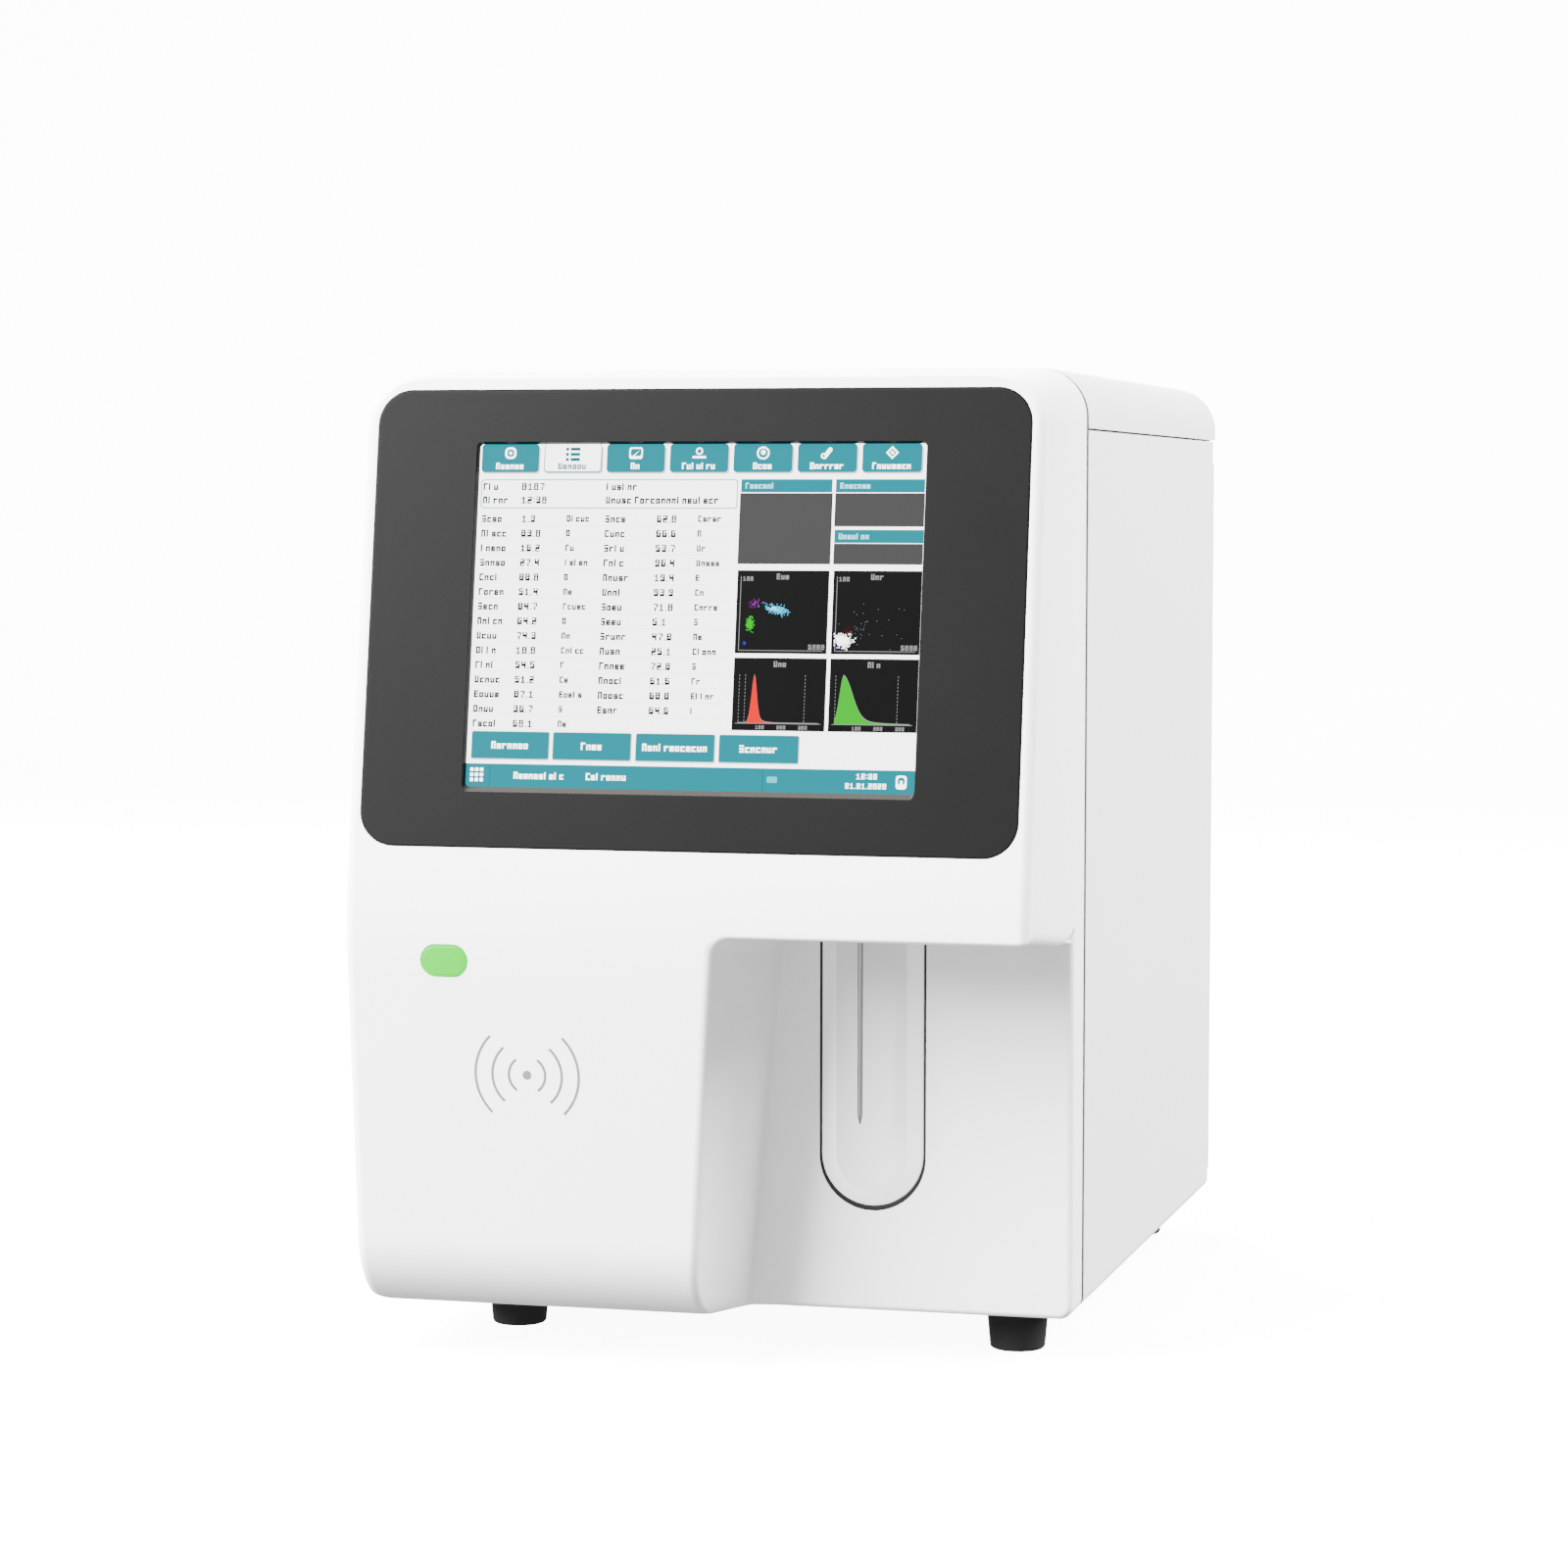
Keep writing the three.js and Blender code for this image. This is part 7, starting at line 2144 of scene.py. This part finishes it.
@dataclass
class RearFittings:
    """Fan, mains inlet and switch, hose ports, data sockets and earth stud in the rear panel."""

    face: float = 375.0
    inlet: Range = (-112.0, 60.0)
    inlet_face: float = 378.0
    rocker: Point = (-62.0, 377.0, 60.0)
    tilt: float = math.radians(7)
    port_z: float = 120.0
    fan: Range = (-84.0, 320.0)
    fan_span: Range = (351.2, 368.2)
    fan_hub: float = 14.0
    fan_tip: float = 33.9
    fan_blades: int = 7
    blade_half: float = 0.65
    blade_bow: float = 1.4
    blade_sweep: float = 0.33
    inlet_pin_places: tuple[Range, ...] = ((-7.0, -2.0), (0.0, 2.0), (7.0, -2.0))
    inlet_screws: Range = (-20.0, 20.0)
    rocker_rise: float = math.atan2(1.5, 11.5)
    mark_reach: float = 6.2
    mark_depth: Range = (-0.1, 0.06)
    usb: tuple[float, ...] = (-100.0, -78.0)
    usb_contacts: tuple[float, ...] = (-3.6, -1.1, 1.1, 3.6)
    network: float = -48.0
    network_contacts: int = 8
    network_pitch: float = 1.02
    socket_z: float = 190.0
    socket_back: float = 364.0
    stud: Range = (-30.0, 60.0)

    def fan_rotor(self) -> None:
        """The fan's hub and swept blades.

        At share u from hub to tip a blade's section is a thin ellipse with a bow, its chord turned
        from 52 to 34 degrees to the plane of rotation and swept back with the share.
        """
        (x, z), (low, high) = self.fan, self.fan_span
        u = np.linspace(0, 1, 12)[:, None]
        round_share = np.linspace(0, 2 * math.pi, 20, endpoint=False)[None]
        reach = self.fan_hub - 0.8 + (self.fan_tip - self.fan_hub + 0.8) * u
        chord, lean = 16.5 + 5.5 * u, np.radians(52 - 18 * u)
        s = np.cos(round_share)
        n = self.blade_half * np.sin(round_share) + self.blade_bow * (1 - s**2)
        tangent = chord / 2 * s * np.cos(lean) - n * np.sin(lean)
        axial = chord / 2 * s * np.sin(lean) + n * np.cos(lean)
        axial = (low + high) / 2 + np.clip(axial, (low - high) / 2, (high - low) / 2)
        shapes = []
        for i in range(self.fan_blades):
            angle = tangent / reach - self.blade_sweep * u + 2 * math.pi * i / self.fan_blades
            rings = np.stack([x + reach * np.cos(angle), axial, z + reach * np.sin(angle)], -1)
            shapes.append(loft(rings))
        r = self.fan_hub
        hub = [(0, low + 6), (2.8, low + 6), (2.8, low), (r - 0.5, low), (r, low + 0.6), (r, high - 2.4),
               (r - 0.7, high - 0.7), (r - 2.4, high), (0, high)]
        shapes.insert(0, turned(hub, Axis.Y, (x, 0, z), 56))
        put("fan_hub_and_blades", shapes, BLACK, "fan_rotor", smooth=40, body="fan_rotor")
        dress("fan_housing", BLACK, 0.6)

    def mains(self) -> None:
        """The mains inlet with its three blades and screws, and the switch with its rocker."""
        (x, z), face = self.inlet, self.inlet_face
        dress("power_inlet", BLACK, 0.5)
        pins = [cuboid(about(x + dx, 2.3), (face - 16.1, face - 5.8), about(z + dz, 4.3), 0.4)
                for dx, dz in self.inlet_pin_places]
        put("inlet_pins", pins, STEEL)
        heads = [screw(3.0, 1.3, Axis.Y, (x + dx, face, z)) for dx in self.inlet_screws]
        put("inlet_screws", heads, STEEL, smooth=28, weigh=False)
        dress("power_switch_housing", BLACK, 0.5)
        dress("power_rocker", BLACK, 0.5, "power_rocker")
        self.rocker_marks()

    def rocker_marks(self) -> None:
        """The bar and ring pressed into the rocker's two halves, on their slopes."""
        x, y, z = self.rocker
        slope, (back, front) = self.rocker_rise, self.mark_depth
        bar = plate(rounded((-0.45, 0.45), (-2.4, 2.4), 0.3, 4), back, front, 0.02)
        ring = holed_plate(*[rounded((-r, r), (-r, r), r, 10) for r in (2.4, 1.6)], back, front, 0.02)
        lift = self.mark_reach * math.tan(slope) + 0.02
        for name, side, mark in (("on_bar", 1, bar), ("off_ring", -1, ring)):
            reach = side * self.mark_reach
            spot = (x, y + lift * math.cos(self.tilt) + reach * math.sin(self.tilt),
                    z - lift * math.sin(self.tilt) + reach * math.cos(self.tilt))
            turn = Matrix.Rotation(-(self.tilt + side * slope), 3, "X")
            put(f"rocker_{name}", mark.turned_by(turn, spot), MARK, body="power_rocker", weigh=False)

    def ports(self) -> None:
        """The barbed hose ports with their coloured collars: each a closed profile carried round."""
        f = self.face
        profile = [(1.8, f - 14.8), (4.4, f - 14.8), (5, f - 14.2), (5, f - 2.9), (5, f), (8.6, f),
                   (9, f + 0.4), (9, f + 2.6), (8.6, f + 3), (5, f + 3), (5, f + 4.6), (3.7, f + 4.8),
                   (3.7, f + 6), (5, f + 6.3), (3.8, f + 9.6), (4.7, f + 9.8), (3.6, f + 13.2),
                   (4.2, f + 13.4), (3.3, f + 17), (1.8, f + 17)]
        for port in PortColour:
            node, x, colour = port.value
            shape = turned(profile, Axis.Y, (x, 0, self.port_z), 40, True)
            put(f"{node}_nipple", shape, GREY, node, smooth=35, weigh=False)
            collar = ring_bar(7.4, 4.6, (f + 2.8, f + 4.4), Axis.Y, (x, 0, self.port_z), 0.3)
            name = f"dyed_nylon_{port.name.lower()}"
            put(f"{node}_collar", collar, Finish(name, "grey_plastic", colour, 0.4, relief=0.003, tone=0.05))

    def sockets(self) -> None:
        """The data sockets: drawn metal shells, black tongues and gold-plated contacts."""
        z, back, contacts = self.socket_z, self.socket_back, []
        for node, x in zip(("usb_socket_left", "usb_socket_right"), self.usb):
            dress(node, ALUMINIUM, 0.3)
            tongue = cuboid(about(x, 11.2), (back - 0.1, back + 11.2), (z + 0.2, z + 2.0), 0.25)
            put(f"{node}_tongue", tongue, BLACK)
            contacts += [cuboid(about(x + dx, 1.1), (back + 0.4, back + 10.2), (z + 0.02, z + 0.3), 0.05)
                         for dx in self.usb_contacts]
        dress("network_socket", ALUMINIUM, 0.3)
        x, count = self.network, self.network_contacts
        lining = holed_plate(rounded(about(x, 13.1), about(z, 11.1), 0.4, 4),
                             rounded(about(x, 11.4), about(z + 0.6, 7.6), 0.5, 4), back, back + 11.6, 0.2)
        put("network_socket_lining", lining, BLACK)
        for i in range(count):
            place = x + (i - (count - 1) / 2) * self.network_pitch
            contacts.append(cuboid(about(place, 0.5), (back + 0.6, back + 10.8), (z + 3.5, z + 4.5), 0.05))
        put("socket_contacts", contacts, GOLD)

    def earth(self) -> None:
        """The threaded earth stud: a zigzag profile carried round, with a washer and a six-sided nut."""
        (x, z), f = self.stud, self.face
        thread = [(3.0 if i % 2 else 2.6, f - 8 + 0.5 * i) for i in range(39)]
        stud = turned([(0, f - 8.2), *thread, (2.2, f + 11.9), (0, f + 11.9)], Axis.Y, (x, 0, z), 32)
        washer = ring_bar(6.2, 2.8, (f, f + 0.8), Axis.Y, (x, 0, z), 0.2)
        flats = [(2.8, f + 0.9), (5.2, f + 0.9), (5.7, f + 1.3), (5.7, f + 3.6), (5.2, f + 4), (2.8, f + 4)]
        nut = turned(flats, Axis.Y, (x, 0, z), 6, True)
        put("earth_stud_and_nut", [stud, washer, nut], STEEL, "ground_stud", smooth=25)

    def build(self) -> None:
        """Makes and dresses everything in the rear panel."""
        self.fan_rotor()
        self.mains()
        self.ports()
        self.sockets()
        self.earth()


# Studio

@dataclass
class Studio:
    """The camera that matches the photograph, its even light and the pale floor."""

    place: Point = (0.52973, -2.09372, 0.39663)
    azimuth: float = math.radians(14.608)
    pitch: float = math.radians(3.719)
    roll: float = math.radians(0.092)
    lens: float = 98.33
    middle: Point = (0.0, 0.0, 0.23)
    floor_half: float = 7.0
    floor_front: float = -6.0
    bend_y: float = 3.6
    bend_radius: float = 1.6
    backdrop_height: float = 6.0

    def camera(self) -> None:
        """Sets the camera: ahead from azimuth and pitch, its sides turned by the roll."""
        ahead = np.array([-math.sin(self.azimuth) * math.cos(self.pitch),
                          math.cos(self.azimuth) * math.cos(self.pitch), -math.sin(self.pitch)])
        right = np.array([math.cos(self.azimuth), math.sin(self.azimuth), 0.0])
        above = np.cross(right, ahead)
        rolled = math.cos(self.roll) * right + math.sin(self.roll) * above
        lifted = math.cos(self.roll) * above - math.sin(self.roll) * right
        data = bpy.data.cameras.new("photo_camera")
        data.lens = self.lens
        data.sensor_width = 36.0
        data.clip_end = 50.0
        made = add_object("photo_camera", data)
        made.matrix_world = seat(rolled, lifted, -ahead, self.place)
        bpy.context.scene.camera = made

    def area(self, name: str, place: Point, target: Point, size: Range, power: float) -> None:
        """Adds a soft rectangular light that looks at a target.

        Args:
            name: the light's name.
            place: where it hangs, in the frame's metres.
            target: the point that it faces.
            size: its width and height in metres.
            power: its power in watts.
        """
        data = bpy.data.lights.new(name, "AREA")
        data.shape = "RECTANGLE"
        data.size, data.size_y = size
        data.energy = power
        back = unit(np.array(place) - np.array(target))
        side = unit(np.cross([0, 0, 1.0], back))
        add_object(name, data).matrix_world = seat(side, np.cross(back, side), back, place)

    def floor(self) -> None:
        """A floor that turns up into a backdrop far behind, drawn as one swept line."""
        bend = arc((self.bend_y, self.bend_radius), self.bend_radius, -90, 0, 24)
        top = (self.bend_y + self.bend_radius, self.backdrop_height)
        line = np.vstack([(self.floor_front, 0.0), bend, top])
        rows = np.stack([np.stack([np.full(len(line), x), line[:, 0], line[:, 1]], -1)
                         for x in (-self.floor_half, self.floor_half)])
        count = len(line)
        faces = [[i, count + i, count + i + 1, i + 1] for i in range(count - 1)]
        mesh = bpy.data.meshes.new("paper_sweep")
        mesh.from_pydata(rows.reshape(-1, 3).tolist(), [], faces)
        mesh.shade_smooth()
        mesh.materials.append(PAPER.material())
        made = add_object("paper_sweep", mesh)
        made.visible_diffuse = False
        made.visible_glossy = False

    def world(self) -> None:
        """An even white surrounding."""
        made = bpy.data.worlds.new("studio_white")
        made.use_nodes = True
        sky = made.node_tree.nodes["Background"]
        sky.inputs["Color"].default_value = (1.0, 1.0, 1.0, 1.0)
        sky.inputs["Strength"].default_value = 0.9
        bpy.context.scene.world = made

    def lights(self) -> None:
        """A broad key from the upper left, a low one for the toe, one at the right and one at the back."""
        self.area("soft_key", (-2.2, -1.8, 2.3), self.middle, (3.2, 3.2), 2000.0)
        self.area("soft_toe", (-0.1, -1.0, 0.03), (0.0, -0.25, 0.25), (1.6, 0.5), 3.5)
        self.area("soft_side", (2.4, 0.6, 1.8), self.middle, (1.6, 1.6), 470.0)
        self.area("soft_back", (-0.9, 2.2, 2.6), self.middle, (1.6, 1.6), 330.0)

    def build(self) -> None:
        """Makes the whole studio."""
        self.world()
        self.lights()
        self.floor()


def main() -> None:
    """Builds the analyzer from front to back and the studio round it."""
    logging.basicConfig(level=logging.INFO, format="%(message)s")
    studio = Studio()
    studio.camera()
    cover = FrontCover()
    display = Display(origin_y=float(cover.front(Display.origin_z)))
    lens = StatusLight(front=float(cover.front(StatusLight.centre_z)))
    key = AspirateKey()
    lift = ProbeLift()
    cover.build(display, lens, key, lift.needle)
    inside = (Chassis(), lift, Fluidics(), Electronics(), RearFittings())
    for part in (display, lens, ContactSymbol(cover), key, Casing(), *FEET, *inside, studio):
        part.build()
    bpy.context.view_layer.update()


if __name__ == "__main__":
    main()
